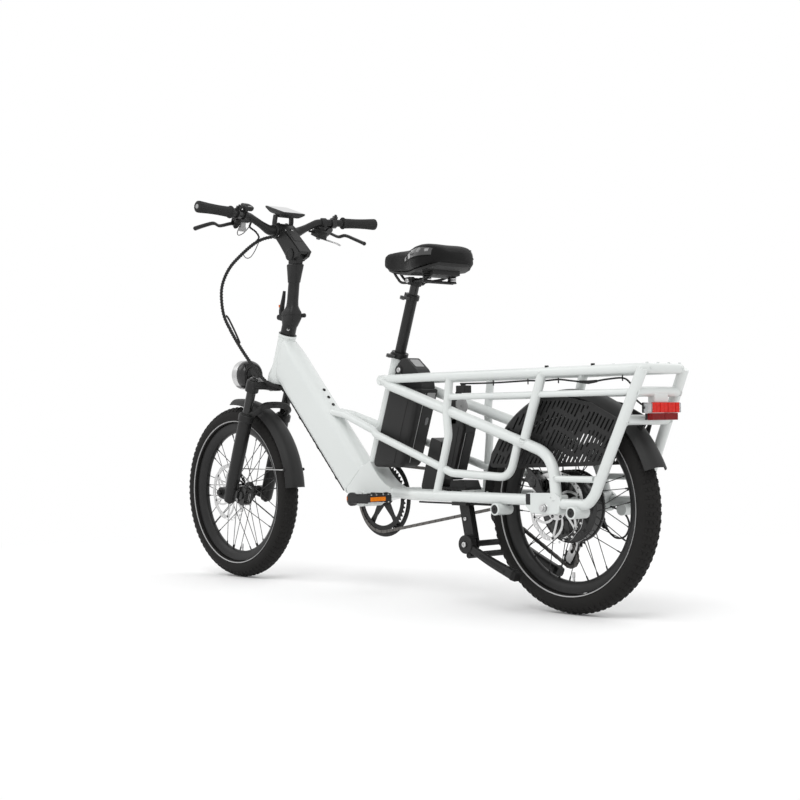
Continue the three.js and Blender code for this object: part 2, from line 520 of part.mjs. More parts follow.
function tyreShape() {
  const { bead, beadWidth, width, tread, wallDrop } = tyre;
  const low = [[bead, -beadWidth / 2], [tyreRadius - wallDrop, -width / 2], [tyreRadius, -tread / 2]];
  const high = low.map(([radius, y]) => [radius, -y]).reverse();
  return wheelRing([...low, ...high], tyre.segments);
}

function frontHubShape() {
  const { radius, flange, flangeAt, flangeThick, halfWidth, bore } = frontHub;
  const rightHalf = [[bore, -halfWidth], [radius, -halfWidth], [radius, -flangeAt - flangeThick], [flange,
    -flangeAt - flangeThick / 2],
    [flange, -flangeAt + flangeThick / 2], [radius, -flangeAt + flangeThick]];
  const leftEnd = rotor.frontAt + rotor.thick / 2;
  const leftHalf = rightHalf.slice(2).map(([r, y]) => [r, -y]).reverse();
  return turned([...rightHalf, ...leftHalf, [radius, leftEnd], [bore, leftEnd]], facets.pin);
}

function motorShape() {
  const { radius, shoulder, rimSlope, halfWidth, hubRadius, leftEnd, rightEnd, bore } = motor;
  return turned([[bore, -rightEnd], [hubRadius, -rightEnd], [hubRadius, -halfWidth], [shoulder, -halfWidth],
    [radius, -halfWidth + rimSlope], [radius, halfWidth - rimSlope], [shoulder, halfWidth], [hubRadius,
      halfWidth],
    [hubRadius, leftEnd], [bore, leftEnd]], facets.wheel);
}

function rotorShape(centreY) {
  const { radius, track, spider, bore, thick, arms, innerShares, outerShares } = rotor;
  const windows = Array.from({ length: arms }, (_, i) => {
    const start = (i * 2 * Math.PI) / arms;
    const sector = (2 * Math.PI) / arms;
    const at = (reach, share) => [reach * Math.cos(start + sector * share),
      reach * Math.sin(start + sector * share)];
    return [...innerShares.map((share) => at(spider, share)), ...outerShares.map((share) => at(track,
      share))].reverse();
  });
  return slab(polygon(radius, facets.rotor), centreY - thick / 2, centreY + thick / 2,
    [...windows, polygon(bore, facets.round, { hole: true })]);
}

const frontCentre = [wheelbase, 0, tyreRadius];
const rearCentre = [0, 0, tyreRadius];
const frontLacing = { flangeRadius: frontHub.flange, flangeY: frontHub.flangeAt, crossing: spokes.crossing };
const motorLacing = { flangeRadius: motor.radius, flangeY: motor.halfWidth / 2,
  crossing: spokes.motorCrossing };
add('front_tyre', tyreShape(), rubber, frontCentre);
add('front_wheel', lacedWheel(frontHubShape(), frontLacing), blackMetal, frontCentre);
add('front_rotor', rotorShape(rotor.frontAt), steel, frontCentre);
add('rear_tyre', tyreShape(), rubber, rearCentre);
add('rear_wheel', lacedWheel(motorShape(), motorLacing), blackMetal, rearCentre);
add('rear_rotor', rotorShape(rotor.rearAt), steel, rearCentre);

function axleShape({ radius, halfWidth, nut, nutLong }) {
  const nuts = [1, -1].map((side) => disc(0, 0, nut, side * (halfWidth - nutLong), side * halfWidth,
    facets.thin));
  return fuse(disc(0, 0, radius, -halfWidth, halfWidth, facets.round), nuts);
}

add('rear_axle', axleShape(rearAxle), steel, rearCentre);

// Drive train
const pitchRadius = (teeth) => pitch / (2 * Math.sin(Math.PI / teeth));

function toothed(teeth, tip, root) {
  const radius = pitchRadius(teeth);
  return Array.from({ length: teeth * 2 }, (_, i) => {
    const angle = (i * Math.PI) / teeth;
    const reach = i % 2 ? radius - root : radius + tip;
    return [reach * Math.cos(angle), reach * Math.sin(angle)];
  });
}

// The line that a chain follows round its wheels, a clearance outside its pitch line; turn is 1 where it runs
// clockwise and -1 where it bends the other way
function chainLoop(wheels, offset) {
  const rounds = wheels.map((wheel) => ({ ...wheel, r: wheel.turn * (wheel.radius + wheel.turn * offset) }));
  const lines = rounds.map((from, i) => {
    const to = rounds[(i + 1) % rounds.length];
    const length = Math.hypot(to.x - from.x, to.z - from.z);
    const heading = Math.atan2(to.z - from.z, to.x - from.x) + Math.asin((to.r - from.r) / length);
    return heading + Math.PI / 2;
  });
  return rounds.flatMap((wheel, i) => {
    const arriving = lines[(i + rounds.length - 1) % rounds.length];
    const leaving = lines[i];
    const full = 2 * Math.PI;
    const swing = wheel.turn > 0 ? ((arriving - leaving) % full + full) % full : ((leaving - arriving) % full + full) % full;
    const step = 2 * Math.acos(1 - chainSize.sag / wheel.radius);
    const count = Math.max(1, Math.ceil(swing / step));
    return Array.from({ length: count + 1 }, (_, k) => {
      const angle = arriving - wheel.turn * swing * (k / count);
      return [wheel.x + wheel.r * Math.cos(angle), wheel.z + wheel.r * Math.sin(angle)];
    });
  });
}

const driven = cogs.teeth[cogs.driven];
const chainWheels = [
  { x: 0, z: tyreRadius, radius: pitchRadius(driven), turn: 1 },
  { x: bracketX, z: bracketZ, radius: pitchRadius(ring.teeth), turn: 1 },
  { x: idler.x, z: idler.z, radius: idler.radius, turn: -1 },
  { x: jockey.lowerX, z: jockey.lowerZ, radius: pitchRadius(jockey.teeth), turn: 1 },
  { x: jockey.upperX, z: jockey.upperZ, radius: pitchRadius(jockey.teeth), turn: -1 },
];

function chainShape() {
  const { width, groove, high, toothRoom } = chainSize;
  const band = slab(chainLoop(chainWheels, high), chainLine - width / 2, chainLine + width / 2,
    [chainLoop(chainWheels, -high)]);
  const slot = slab(chainLoop(chainWheels, toothRoom), chainLine - groove / 2, chainLine + groove / 2,
    [chainLoop(chainWheels, -high - gap)]);
  return cut(band, slot);
}

add('chain', chainShape(), chainSteel);

function chainringShape() {
  const { teeth, thick, tip, root, seat } = ring;
  return slab(toothed(teeth, tip, root), chainLine - thick / 2, chainLine + thick / 2, [polygon(seat,
    facets.wide, { hole: true })]);
}

add('chainring', chainringShape(), blackMetal, [bracketX, 0, bracketZ]);

function freewheelShape() {
  const end = cogs.first + (cogs.teeth.length - 1) * cogs.step - cogs.thick / 2;
  const discs = cogs.teeth.map((teeth, i) => {
    const middle = cogs.first + i * cogs.step;
    return slab(polygon(pitchRadius(teeth) + ring.tip, teeth), middle - cogs.thick / 2,
      middle + cogs.thick / 2);
  });
  return cut(fuse(disc(0, 0, cogs.body, -motor.rightEnd - gap, end, facets.round), discs),
    disc(0, 0, flats(facets.bore, cogs.bore), -motor.rightEnd + overrun, end - overrun, facets.bore));
}

add('freewheel', freewheelShape(), steel, rearCentre);

const rollerRadius = (radius) => radius - chainSize.high - chainSize.sag - gap;
const wheelOnPin = (outline, thick) => slab(outline, chainLine - thick / 2, chainLine + thick / 2,
  [polygon(jockey.bore, facets.bore, { hole: true })]);
add('upper_jockey_wheel', wheelOnPin(polygon(rollerRadius(pitchRadius(jockey.teeth)), facets.wheel),
  jockey.thick), blackPlastic,
  [jockey.upperX, 0, jockey.upperZ]);
add('lower_jockey_wheel', wheelOnPin(toothed(jockey.teeth, ring.tip, ring.root), jockey.thick), blackPlastic,
  [jockey.lowerX, 0, jockey.lowerZ]);
add('chain_idler', wheelOnPin(polygon(rollerRadius(idler.radius), facets.wheel), idler.thick),
  blackPlastic, [idler.x, 0, idler.z]);

function derailleurShape() {
  const plates = [1, -1].map((side) => {
    const face = chainLine + side * cage.offset;
    return strap([jockey.upperX, jockey.upperZ, cage.radius], [jockey.lowerX, jockey.lowerZ, cage.radius],
      face, face + side * cage.thick);
  });
  const pins = [[jockey.upperX, jockey.upperZ], [jockey.lowerX, jockey.lowerZ]].map(([x, z]) =>
    disc(x, z, cage.pin, chainLine - cage.offset - cage.thick, chainLine + cage.offset + cage.thick));
  const outerFace = chainLine - cage.offset;
  const knuckle = disc(jockey.upperX, jockey.upperZ, cage.radius, cage.outerY, outerFace - cage.thick / 2,
    facets.round);
  const links = [cage.linkLow, cage.linkHigh].map((rise) => rod([jockey.upperX, cage.linkY,
    jockey.upperZ + rise],
    [hanger.x, hanger.linkY, hanger.z + rise], cage.linkRadius));
  const body = disc(hanger.x, hanger.z, hanger.radius, hanger.bodyTo, (hanger.from + hanger.to) / 2,
    facets.round);
  const hangerPlate = strap([hanger.x, hanger.z, hanger.radius], [hanger.topX, hanger.topZ, hanger.radius],
    hanger.from,
    hanger.to);
  return fuse(plates, pins, knuckle, links, body, hangerPlate);
}

add('derailleur', derailleurShape(), blackMetal);

// Cranks and pedals, the left one pointing back
const crankReach = [-Math.cos(crank.lift), 0, Math.sin(crank.lift)];
const crankEnd = (side, y) => shift([bracketX, side * y, bracketZ], crankReach, side * crank.long);

function crankShape() {
  const { spindle, bossRadius, tipRadius, thick, bossY, tipY, armWide, armDeep, armCorner, spiderArm } = crank;
  const arms = [1, -1].flatMap((side) => [
    disc(bracketX, bracketZ, bossRadius, side * (bossY - thick / 2), side * (bossY + thick / 2), facets.ring),
    sweep([[bracketX, side * bossY, bracketZ], crankEnd(side, tipY)], roundedBox(armDeep, armWide,
      armCorner, 1)),
    disc(crankEnd(side, 0)[0], crankEnd(side, 0)[2], tipRadius, side * (tipY - thick / 2),
      side * (tipY + thick / 2), facets.round),
    rod(crankEnd(side, tipY), crankEnd(side, pedal.inner + pedal.wide), pedal.spindle),
  ]);
  const guardRing = slab(polygon(guard.outer, facets.guard, { x: bracketX, y: bracketZ }),
    guard.centre - guard.thick / 2,
    guard.centre + guard.thick / 2, [polygon(guard.inner, facets.wide, { x: bracketX, y: bracketZ })]);
  const spider = Array.from({ length: crank.spiderArms }, (_, i) => {
    const angle = (i * 2 * Math.PI) / crank.spiderArms + Math.PI / 2;
    const at = (reach, off) => [bracketX + reach * Math.cos(angle) - off * Math.sin(angle),
      bracketZ + reach * Math.sin(angle) + off * Math.cos(angle)];
    const bolt = disc(...at(ring.seat + ring.root, 0), crank.bolt, guard.centre,
      chainLine - ring.thick / 2 - gap, facets.thin);
    return [slab([at(0, -spiderArm / 2), at(guard.inner + ring.root, -spiderArm / 2),
      at(guard.inner + ring.root, spiderArm / 2),
      at(0, spiderArm / 2)], guard.centre - guard.thick / 2, guard.centre + guard.thick / 2), bolt];
  });
  const axle = disc(bracketX, bracketZ, spindle, -bossY, bossY, facets.round);
  return fuse(arms, guardRing, spider.flat(), axle);
}

add('crankset', crankShape(), blackMetal);

function pedalShape(side) {
  const [x, , z] = crankEnd(side, 0);
  const { long, wide, thick, inner, bore, bar: rail, window, windowShare, windowCorner } = pedal;
  const outline = roundedBox(long, wide, rail, 1).map(([px, py]) => [x + px, side * (inner + wide / 2) + py]);
  const windows = [1, -1].map((end) => roundedBox(window, wide - 2 * rail, windowCorner, 1).map(([px, py]) =>
    [x + end * (long / 2 - rail / 2 - window / 2) + px * windowShare, side * (inner + wide / 2) + py]));
  const body = new THREE.ExtrudeGeometry(shapeOf(outline, windows), { depth: thick, bevelEnabled: false })
    .translate(0, 0, z - thick / 2);
  return cut(body, disc(x, z, flats(facets.bore, bore), side * (inner - overrun),
    side * (inner + wide + overrun), facets.bore));
}

add('left_pedal', pedalShape(1), blackPlastic);
add('right_pedal', pedalShape(-1), blackPlastic);

// Suspension fork and what it carries
const legTop = (side) => [fork.legTopX, side * fork.legHalf, fork.legTopZ];
const legLong = span(legTop(1), [fork.legFootX, fork.legHalf, fork.legFootZ]);
const legAt = (side, distance) => shift(legTop(side), headUp, -distance);
const collarAt = legLong * fork.collarShare;

function forkCrownAt(grow = 0) {
  const { crownDeep, crownWide, crownCorner, stanchion, stanchionShare, capRadius, capRise, capDrop,
    steerer, crownX, crownZ } = fork;
  const arm = (side) => sweep([[crownX - crownWide / 4, 0, crownZ + crownDeep / 2], legAt(side, crownDeep / 2)],
    roundedBox(crownDeep + 2 * grow, crownWide + 2 * grow, crownCorner, 1));
  const legs = [1, -1].flatMap((side) => [arm(side),
    tube([legAt(side, -capRise), legAt(side, legLong * stanchionShare)], stanchion, 0, facets.bore),
    tube([legAt(side, -capRise), legAt(side, capDrop)], capRadius, 0, facets.bore)]);
  const race = tube([shift(headFoot, headUp, -crownDeep / 2), shift(headFoot, headUp, -gap)],
    fork.raceRadius, 0, facets.round);
  const shaft = tube([shift(headFoot, headUp, -crownDeep / 2), shift(headTop, headUp, stem.topGap)],
    steerer, 0, facets.round);
  return fuse(legs, race, shaft);
}

add('fork_crown', forkCrownAt(), blackMetal);

function forkLowers() {
  const { lowerRadius, collarRadius, collarLong, footRadius, stanchion, legHalf, arch, archZ } = fork;
  const legs = [1, -1].flatMap((side) => [
    tube([legAt(side, collarAt), legAt(side, legLong)], lowerRadius, 0, facets.bore),
    tube([legAt(side, collarAt - collarLong / 2), legAt(side, collarAt + collarLong / 2)], collarRadius, 0,
      facets.bore),
    strap([...legAt(side, legLong - lowerRadius).filter((_, i) => i !== 1), footRadius],
      [wheelbase, tyreRadius, footRadius], side * (legHalf - frontAxle.nut),
        side * (legHalf + frontAxle.nut / 2)),
  ]);
  const crest = (y) => [fork.legTopX - fork.arch, y, archZ + arch];
  const brace = tube([legAt(1, collarAt), [fork.legTopX - arch / 2, legHalf - arch, archZ - arch / 2],
    crest(legHalf / 2),
    crest(-legHalf / 2), [fork.legTopX - arch / 2, -legHalf + arch, archZ - arch / 2], legAt(-1,
      collarAt)], fork.archRadius, 0, facets.thin);
  const bores = [1, -1].map((side) => tube([legAt(side, 0), legAt(side,
    legLong * fork.stanchionShare + fork.boreRoom)],
    flats(facets.bore, stanchion + gap), 0, facets.bore));
  const axle = axleShape(frontAxle).translate(frontCentre);
  return cut(fuse(legs, brace, axle), bores);
}

add('fork_lowers', forkLowers(), blackMetal);

// A mudguard of arched section along part of a circle, angles measured up from straight ahead
function fenderShape(centre, radius, { from, to }) {
  const { half, thick, drop, segments, ribs } = fender;
  const arch = (reach, edge) => Array.from({ length: ribs + 1 }, (_, i) => {
    const across = mix(-1, 1, i / ribs);
    return [across * (half - edge), reach - drop * Math.abs(across) ** 3];
  });
  const section = [...arch(0, 0), ...arch(-thick, thick).reverse()];
  const path = Array.from({ length: segments + 1 }, (_, i) => {
    const angle = mix(from, to, i / segments);
    return [centre[0] + radius * Math.cos(angle), 0, centre[2] + radius * Math.sin(angle)];
  });
  return sweep(path, section);
}

function frontFender() {
  const guardStrip = fenderShape(frontCentre, fender.frontRadius, frontArc);
  const stayAngle = frontArc.to - fender.wireTurn;
  const stayY = fender.half - fender.thick;
  const reach = fender.frontRadius - fender.drop;
  const crossing = [wheelbase + reach * Math.cos(stayAngle), 0, tyreRadius + reach * Math.sin(stayAngle)];
  const wires = [1, -1].map((side) => tube([shift(crossing, [0, side, 0], stayY - fender.thick / 2),
    shift(crossing, [0, side, 0], stayY + fender.wireOut),
    shift(legAt(side, legLong * fender.wireShare), [0, -side, 0], fork.lowerRadius + 2 * fender.thick),
    shift(legAt(side, legLong * fender.wireShare), [0, -side, 0], fork.lowerRadius / 2)],
    fender.wire, 0, facets.wire));
  const legs = [1, -1].map((side) => tube([legAt(side, collarAt), legAt(side, legLong)],
    fork.lowerRadius + gap, 0, facets.bore));
  return cut(fuse(guardStrip, wires), legs);
}

add('front_fender', frontFender(), blackPlastic);

function rearFender() {
  const { rearRadius, bossRadius, lugX, lugZ } = fender;
  const barReach = [rack.lowerBarX, 0, rack.lowerBarZ];
  const inward = unit(barReach, rearCentre);
  const boss = rod(barReach, shift(rearCentre, inward, -rearRadius + fender.thick / 2), bossRadius,
    facets.thin);
  const lug = rod([lugX, 0, lugZ], [lugX, 0, standBracket.topZ + gap], bossRadius, facets.thin);
  return cut(fuse(fenderShape(rearCentre, rearRadius, rearArc), boss, lug),
    [1, -1].map((side) => crossbarAt(side, lowerBar, gap)));
}

add('rear_fender', rearFender(), blackPlastic);

function headlightShape() {
  const { backX, frontX, z, radius, backRadius, glass: lens, glassDeep, sides, shoulder, shoulderShare,
    rimShare } = headlight;
  const reach = frontX - backX;
  const bowl = stand3(turned([[0, 0], [backRadius, 0], [shoulder, reach * shoulderShare], [radius,
    reach * rimShare],
    [radius, reach], [lens, reach], [lens, reach - glassDeep], [0, reach - glassDeep]], sides), [backX, 0,
      z], [1, 0, 0]);
  const arm = sweep([[fork.crownX + fork.crownWide / 2 - headlight.armIn, 0,
    fork.crownZ + fork.crownDeep / 2 + overrun],
    [mix(fork.crownX, backX, headlight.armShare), 0, mix(fork.crownZ, z, headlight.riseShare)],
      [backX + overrun, 0, z]],
    roundedBox(headlight.armWide, headlight.armThick, headlight.armCorner, 1));
  return cut(fuse(bowl, arm), forkCrownAt(gap));
}

add('headlight', headlightShape(), blackMetal);

function caliperBlock([x, z], rotorY, centre, lean) {
  const { long, high, half, slot } = caliper;
  const blade = disc(centre[0], centre[2], rotor.radius + overrun, rotorY - slot / 2, rotorY + slot / 2,
    facets.rotor);
  return cut(box([x, rotorY, z], [long, 2 * half, high], lean), blade);
}

function frontCaliper() {
  const along = shift(frontCentre, headUp, caliper.frontAlong);
  const behind = [-headUp[2], 0, headUp[0]];
  const [x, , z] = shift(along, behind, caliper.frontOut);
  const lug = box([...shift(along, behind, caliper.frontOut - caliper.lugWide / 2)].map((value,
    i) => (i === 1 ? caliper.lugY : value)),
    [caliper.lugLong, caliper.lugWide, caliper.lugHigh], headLean);
  const leg = tube([legAt(1, collarAt), legAt(1, legLong)], fork.lowerRadius + gap, 0, facets.bore);
  return cut(fuse(caliperBlock([x, z], rotor.frontAt, frontCentre, Math.PI / 2 - headLean), lug), leg);
}

function rearCaliper() {
  const { rearX, rearZ, rearLean, footY, footHalf, foot } = caliper;
  return fuse(caliperBlock([rearX, rearZ], rotor.rearAt, rearCentre, rearLean), slab(foot,
    footY - footHalf, footY + footHalf));
}

add('front_caliper', frontCaliper(), blackMetal);
add('rear_caliper', rearCaliper(), blackMetal);

// Folding stem, its angled arm and the handlebar
const columnUp = [-Math.sin(columnLean), 0, Math.cos(columnLean)];
const columnAt = (distance) => shift([stem.jointX, 0, stem.jointZ + gap], columnUp, distance);
const stemPivot = columnAt(stem.pivotAt);

function place(geometry, at, upward, along) {
  const up = vec(upward).normalize();
  const ahead = vec(along).addScaledVector(up, -vec(along).dot(up)).normalize();
  const frame = new THREE.Matrix4().makeBasis(ahead, up, ahead.clone().cross(up));
  return geometry.applyMatrix4(frame.setPosition(...at));
}

function tile(centre, [long, wide, thick], corner, tilt = 0) {
  const plate = new THREE.ExtrudeGeometry(shapeOf(roundedBox(long, wide, corner, 1)), { depth: thick,
    bevelEnabled: false });
  return plate.translate(0, 0, -thick / 2).rotateY(tilt).translate(...centre);
}

// One leaf of the hinge that the stem folds on; up is 1 for the upper leaf
function foldLeaf(from, to, up) {
  const { y, radius, web, webHigh } = foldHinge;
  const leaf = box([stem.jointX + (from + to) / 2, y + web / 2, stem.jointZ + up * (gap + webHigh / 2)],
    [Math.abs(to - from), web, webHigh]);
  return [leaf, rod([stem.jointX + from, y, stem.jointZ], [stem.jointX + to, y, stem.jointZ], radius)];
}

const jointBlock = (up) => tile([stem.jointX, 0, stem.jointZ + up * stem.blockHigh / 2 + Math.max(up, 0) * gap],
  [stem.blockDeep, stem.blockWide, stem.blockHigh], stem.corner);

const latchX = stem.jointX + latch.ahead;

function stemBase() {
  const { pivotZ, earAhead, earZ, earRadius, earOuter, pin, half } = latch;
  const ring = tube([shift(headTop, headUp, stem.topGap + gap), shift(headTop, headUp, stem.collarLong)],
    stem.collar, 0, facets.round);
  const ears = [1, -1].map((side) => strap([stem.jointX + earAhead, earZ, earRadius], [latchX, pivotZ,
    earRadius],
    side * (half + 2 * gap), side * earOuter));
  const leaves = [1, -1].flatMap((end) => foldLeaf(end * foldHinge.inner, end * foldHinge.outer, -1));
  return fuse(ring, jointBlock(-1), ears, disc(latchX, pivotZ, pin, -earOuter, earOuter, facets.pin), leaves);
}

function stemColumn() {
  const { quill, sleeve, sleeveFrom, sleeveTo, pivotRadius, tongueHalf, tongueFoot, tongueAt, pin, cap,
    capFrom, capTo } = stem;
  const [x, , z] = stemPivot;
  const [footX, , footZ] = columnAt(tongueAt);
  const caps = [1, -1].map((side) => disc(x, z, cap, side * capFrom, side * capTo, facets.round));
  return fuse(jointBlock(1), foldLeaf(-foldHinge.inner + gap, foldHinge.inner - gap, 1),
    tube([columnAt(stem.blockHigh / 2), columnAt(sleeveTo)], quill, 0, facets.round),
    tube([columnAt(sleeveFrom), columnAt(sleeveTo)], sleeve, 0, facets.round),
    strap([footX, footZ, tongueFoot], [x, z, pivotRadius], -tongueHalf, tongueHalf),
    disc(x, z, pin, -capTo, capTo, facets.bore), caps);
}

function stemRiser() {
  const { clampX, clampZ, rearX, rearZ, rearRadius, half, clampRadius, clampHalf, bore, room } = riser;
  const [x, , z] = stemPivot;
  const slotHalf = stem.tongueHalf + gap;
  const low = [[x - riser.slotBehind, z + riser.slotUp], [x - riser.slotBehind, z - riser.slotDown],
    [x + riser.slotAhead, z - riser.slotDown], [x + riser.slotAhead, z + riser.slotUp]];
  return cut(fuse(strap([rearX, rearZ, rearRadius], [clampX, clampZ, clampRadius], -half, half),
    disc(clampX, clampZ, clampRadius, -clampHalf, clampHalf)),
  disc(x, z, flats(facets.wheel, stem.pivotRadius + room), -slotHalf, slotHalf), slab(low, -slotHalf, slotHalf),
  disc(x, z, flats(facets.bore, stem.pin + gap), -half - overrun, half + overrun, facets.bore),
  disc(clampX, clampZ, flats(facets.wheel, bore), -clampHalf - overrun, clampHalf + overrun));
}

function stemLatch() {
  const { pivotZ, radius, reachBack, reachUp, half, bore } = latch;
  return slab(strapOutline([latchX, pivotZ, radius], [latchX - reachBack, pivotZ + reachUp, radius]),
    -half, half,
    [polygon(bore, facets.pin, { hole: true, x: latchX, y: pivotZ })]);
}

add('stem_base', stemBase(), blackMetal);
add('stem_latch', stemLatch(), blackMetal);
add('stem_column', stemColumn(), blackMetal);
add('stem_riser', stemRiser(), blackMetal);

const barLine = (side) => [[riser.clampX, side * bar.lowY, riser.clampZ], [bar.bendX, side * bar.bendY,
  bar.bendZ],
  [bar.gripX, side * bar.gripY, bar.gripZ], [bar.endX, side * bar.endY, bar.endZ]];
const barRun = (side) => unit(barLine(side)[1], barLine(side)[2]);
const barAt = (side, y) => mixPoint(barLine(side)[1], barLine(side)[2],
  (y - bar.bendY) / (bar.gripY - bar.bendY));

function handlebarShape() {
  const centre = [1, -1].map((side) => [riser.clampX, side * bar.centreHalf, riser.clampZ]);
  return fuse(tube([...barLine(1).reverse(), ...barLine(-1)], bar.radius, bar.bend, bar.sides),
    tube(centre, bar.centre, 0, facets.wheel));
}

function gripShape(side) {
  const [, , start, end] = barLine(side);
  const run = unit(start, end);
  const from = shift(start, run, grip.start);
  return cut(fuse(tube([from, shift(end, run, grip.wall)], grip.radius, 0, facets.round),
    tube([from, shift(from, run, grip.flangeLong)], grip.flange, 0, facets.round)),
  tube([shift(from, run, -overrun), shift(end, run, gap)], flats(facets.bore, bar.bore), 0, facets.bore));
}

// A clamp round the bar, left solid until barBore opens it
const barClamp = (side, y, half, radius) =>
  tube([shift(barAt(side, y), barRun(side), -half), shift(barAt(side, y), barRun(side), half)], radius, 0,
    facets.round);
const barBore = (side) => tube([shift(barAt(side, perch.y), barRun(side), -bar.lowY),
  shift(barAt(side, perch.y), barRun(side), bar.lowY)], flats(facets.bore, bar.bore), 0, facets.bore);

const leverUp = unit([0, 0, 0], [perch.turnX, 0, perch.turnZ]);
const leverPivot = (side) => [perch.pivotX, side * perch.pivotY, perch.pivotZ];
const leverHub = (side, radius, half, sides) => place(turned([[0, -half], [radius, -half], [radius, half],
  [0, half]], sides),
  leverPivot(side), leverUp, [0, side, 0]);

function perchShape(side) {
  const root = barAt(side, perch.armRoot);
  const reach = unit(root, leverPivot(side));
  const arm = rod(root, shift(leverPivot(side), reach, perch.reach), perch.arm);
  const body = cut(fuse(barClamp(side, perch.y, perch.half, perch.radius), arm), barBore(side),
    leverHub(side, perch.slot, perch.slotHalf, facets.round));
  return fuse(body, leverHub(side, perch.pin, perch.arm - perch.pin / 2, facets.pin));
}

function brakeLeverShape(side) {
  const { hub, half, bore, radius, straight, kneeX, kneeY, kneeZ, bowX, bowY, bowZ, tipX, tipY,
    tipZ } = brakeLever;
  const pivot = leverPivot(side);
  const blade = tube([pivot, shift(pivot, [0, side, 0], straight), [kneeX, side * kneeY, kneeZ],
    [bowX, side * bowY, bowZ], [tipX, side * tipY, tipZ]], radius, 0, facets.thin);
  return cut(fuse(leverHub(side, hub, half, facets.bore), blade), leverHub(side, flats(facets.pin, bore),
    half + overrun, facets.pin));
}

add('handlebar', handlebarShape(), blackMetal);
for (const [name, side] of [['left', 1], ['right', -1]]) {
  add(`${name}_grip`, gripShape(side), rubber);
  add(`${name}_brake_perch`, perchShape(side), blackMetal);
  add(`${name}_brake_lever`, brakeLeverShape(side), blackMetal);
}

const padUp = [-Math.sin(pad.tilt), 0, Math.cos(pad.tilt)];
const padCentre = [pad.x, pad.y, pad.z];
const padAt = (height) => shift(padCentre, padUp, height);

function controlPad() {
  const { y, long, wide, thick, corner, tilt, clamp, clampHalf, neck, pocket, pocketDeep } = pad;
  const tab = box([pad.tabX, pad.tabY, pad.tabZ], [pad.tabLong, pad.tabWide, pad.tabHigh]);
  return cut(fuse(tile(padCentre, [long, wide, thick], corner, -tilt), barClamp(1, y, clampHalf, clamp),
    rod(barAt(1, y), padCentre, neck), tab), barBore(1),
  tube([padAt(thick / 2 - pocketDeep), padAt(thick / 2 + overrun)], flats(facets.bore, pocket), 0,
    facets.bore));
}

add('control_pad', controlPad(), greyPlastic);
add('pad_button', tube([padAt(padButton.from), padAt(padButton.to)], padButton.radius, 0, facets.bore),
  blackPlastic);

const shifterUp = [-Math.sin(shifter.lean), 0, Math.cos(shifter.lean)];
const shifterCentre = [shifter.x, shifter.y, shifter.z];
const paddleHub = shift(shifterCentre, shifterUp, -shifter.half - gap - paddle.half);
const shifterAhead = [shifterUp[2], 0, -shifterUp[0]];

function shifterShape() {
  const { half, radius, spread, clamp, clampY, clampHalf, neck, pin, pinLong } = shifter;
  const pod = place(strap([-spread, 0, radius], [spread, 0, radius - gap], -half, half), shifterCentre,
    shifterUp, shifterAhead);
  const body = cut(fuse(pod, barClamp(-1, -clampY, clampHalf, clamp), rod(barAt(-1, -clampY),
    shifterCentre, neck)), barBore(-1));
  return fuse(body, rod(shifterCentre, shift(paddleHub, shifterUp, -pinLong), pin));
}

const paddleShape = () => place(slab(strapOutline([0, 0, paddle.hub], [paddle.long, 0, paddle.tip]),
  -paddle.half,
  paddle.half, [polygon(paddle.bore, facets.pin, { hole: true })]), paddleHub, shifterUp, [paddle.reachX,
    paddle.reachY, paddle.reachZ]);

add('shifter', shifterShape(), blackPlastic);
add('shift_paddle', paddleShape(), steel);

function displayShape() {
  const { x, z, long, wide, thick, corner, tilt, footFrom, footTo, footRadius, footTopX, footTopZ,
    footTop } = display;
  const feet = [1, -1].map((side) => cut(strap([riser.clampX, riser.clampZ, footRadius], [footTopX,
    footTopZ, footTop],
    side * footFrom, side * footTo), disc(riser.clampX, riser.clampZ, flats(facets.wheel, riser.bore),
      side * (footFrom - overrun),
    side * (footTo + overrun))));
  return fuse(tile([x, 0, z], [long, wide, thick], corner, tilt), feet);
}

add('display', displayShape(), blackPlastic);

// Cables held by the bike
const downAt = (distance, off, y) => [downTube.footX, y, downTube.footZ].map((value, i) =>
  value + downUp[i] * distance - downFace[i] * (downTube.depth / 2 + off));
const bundleEnd = [cable.topAt + cable.run, cable.topAt + gap].map((at) => downAt(at,
  cable.bundle + cable.apart, cable.y));
add('cable_bundle', tube([...cableRoute, ...bundleEnd], cable.bundle, 0, cable.sides), blackPlastic);
add('downtube_cable', tube([downAt(cable.topAt, cable.radius + gap, cable.y), downAt(cable.lowAt,
  cable.radius + gap, cable.y)],
  cable.radius, 0, facets.pin), blackPlastic);

// Seat post and saddle
function camLeverShape(at, radius) {
  const { hub, hubHigh, radius: thick, ahead, outY, backX, wide, kneeX, kneeY } = camLever;
  const pivot = shift(shift(at, [1, 0, 0], radius + ahead), [0, 1, 0], outY);
  const knee = [pivot[0] - kneeX, kneeY, pivot[2]];
  const tip = [pivot[0] - backX, wide, pivot[2] - ahead];
  return fuse(tube([shift(pivot, seatUp, -hubHigh / 2), shift(pivot, seatUp, hubHigh / 2)], hub, 0, facets.pin),
    tube([pivot, knee, tip], thick, 0, facets.thin));
}

function seatpostOuter() {
  const { outer, outerLong, wall, exposed, clamp, clampHigh, lug } = post;
  const ring = tube([seatAt(exposed - clampHigh), seatAt(exposed)], clamp, 0, facets.round);
  const ear = box(shift(seatAt(exposed - clampHigh / 2), [1, 0, 0], clamp), [seatCollar.lugLong, lug,
    clampHigh], -seatLean);
  return cut(fuse(tube([seatAt(exposed - outerLong), seatAt(exposed)], outer, 0, facets.round), ring, ear),
    tube([seatAt(exposed - outerLong - overrun), seatAt(exposed + overrun)], flats(facets.round, wall), 0,
      facets.round));
}

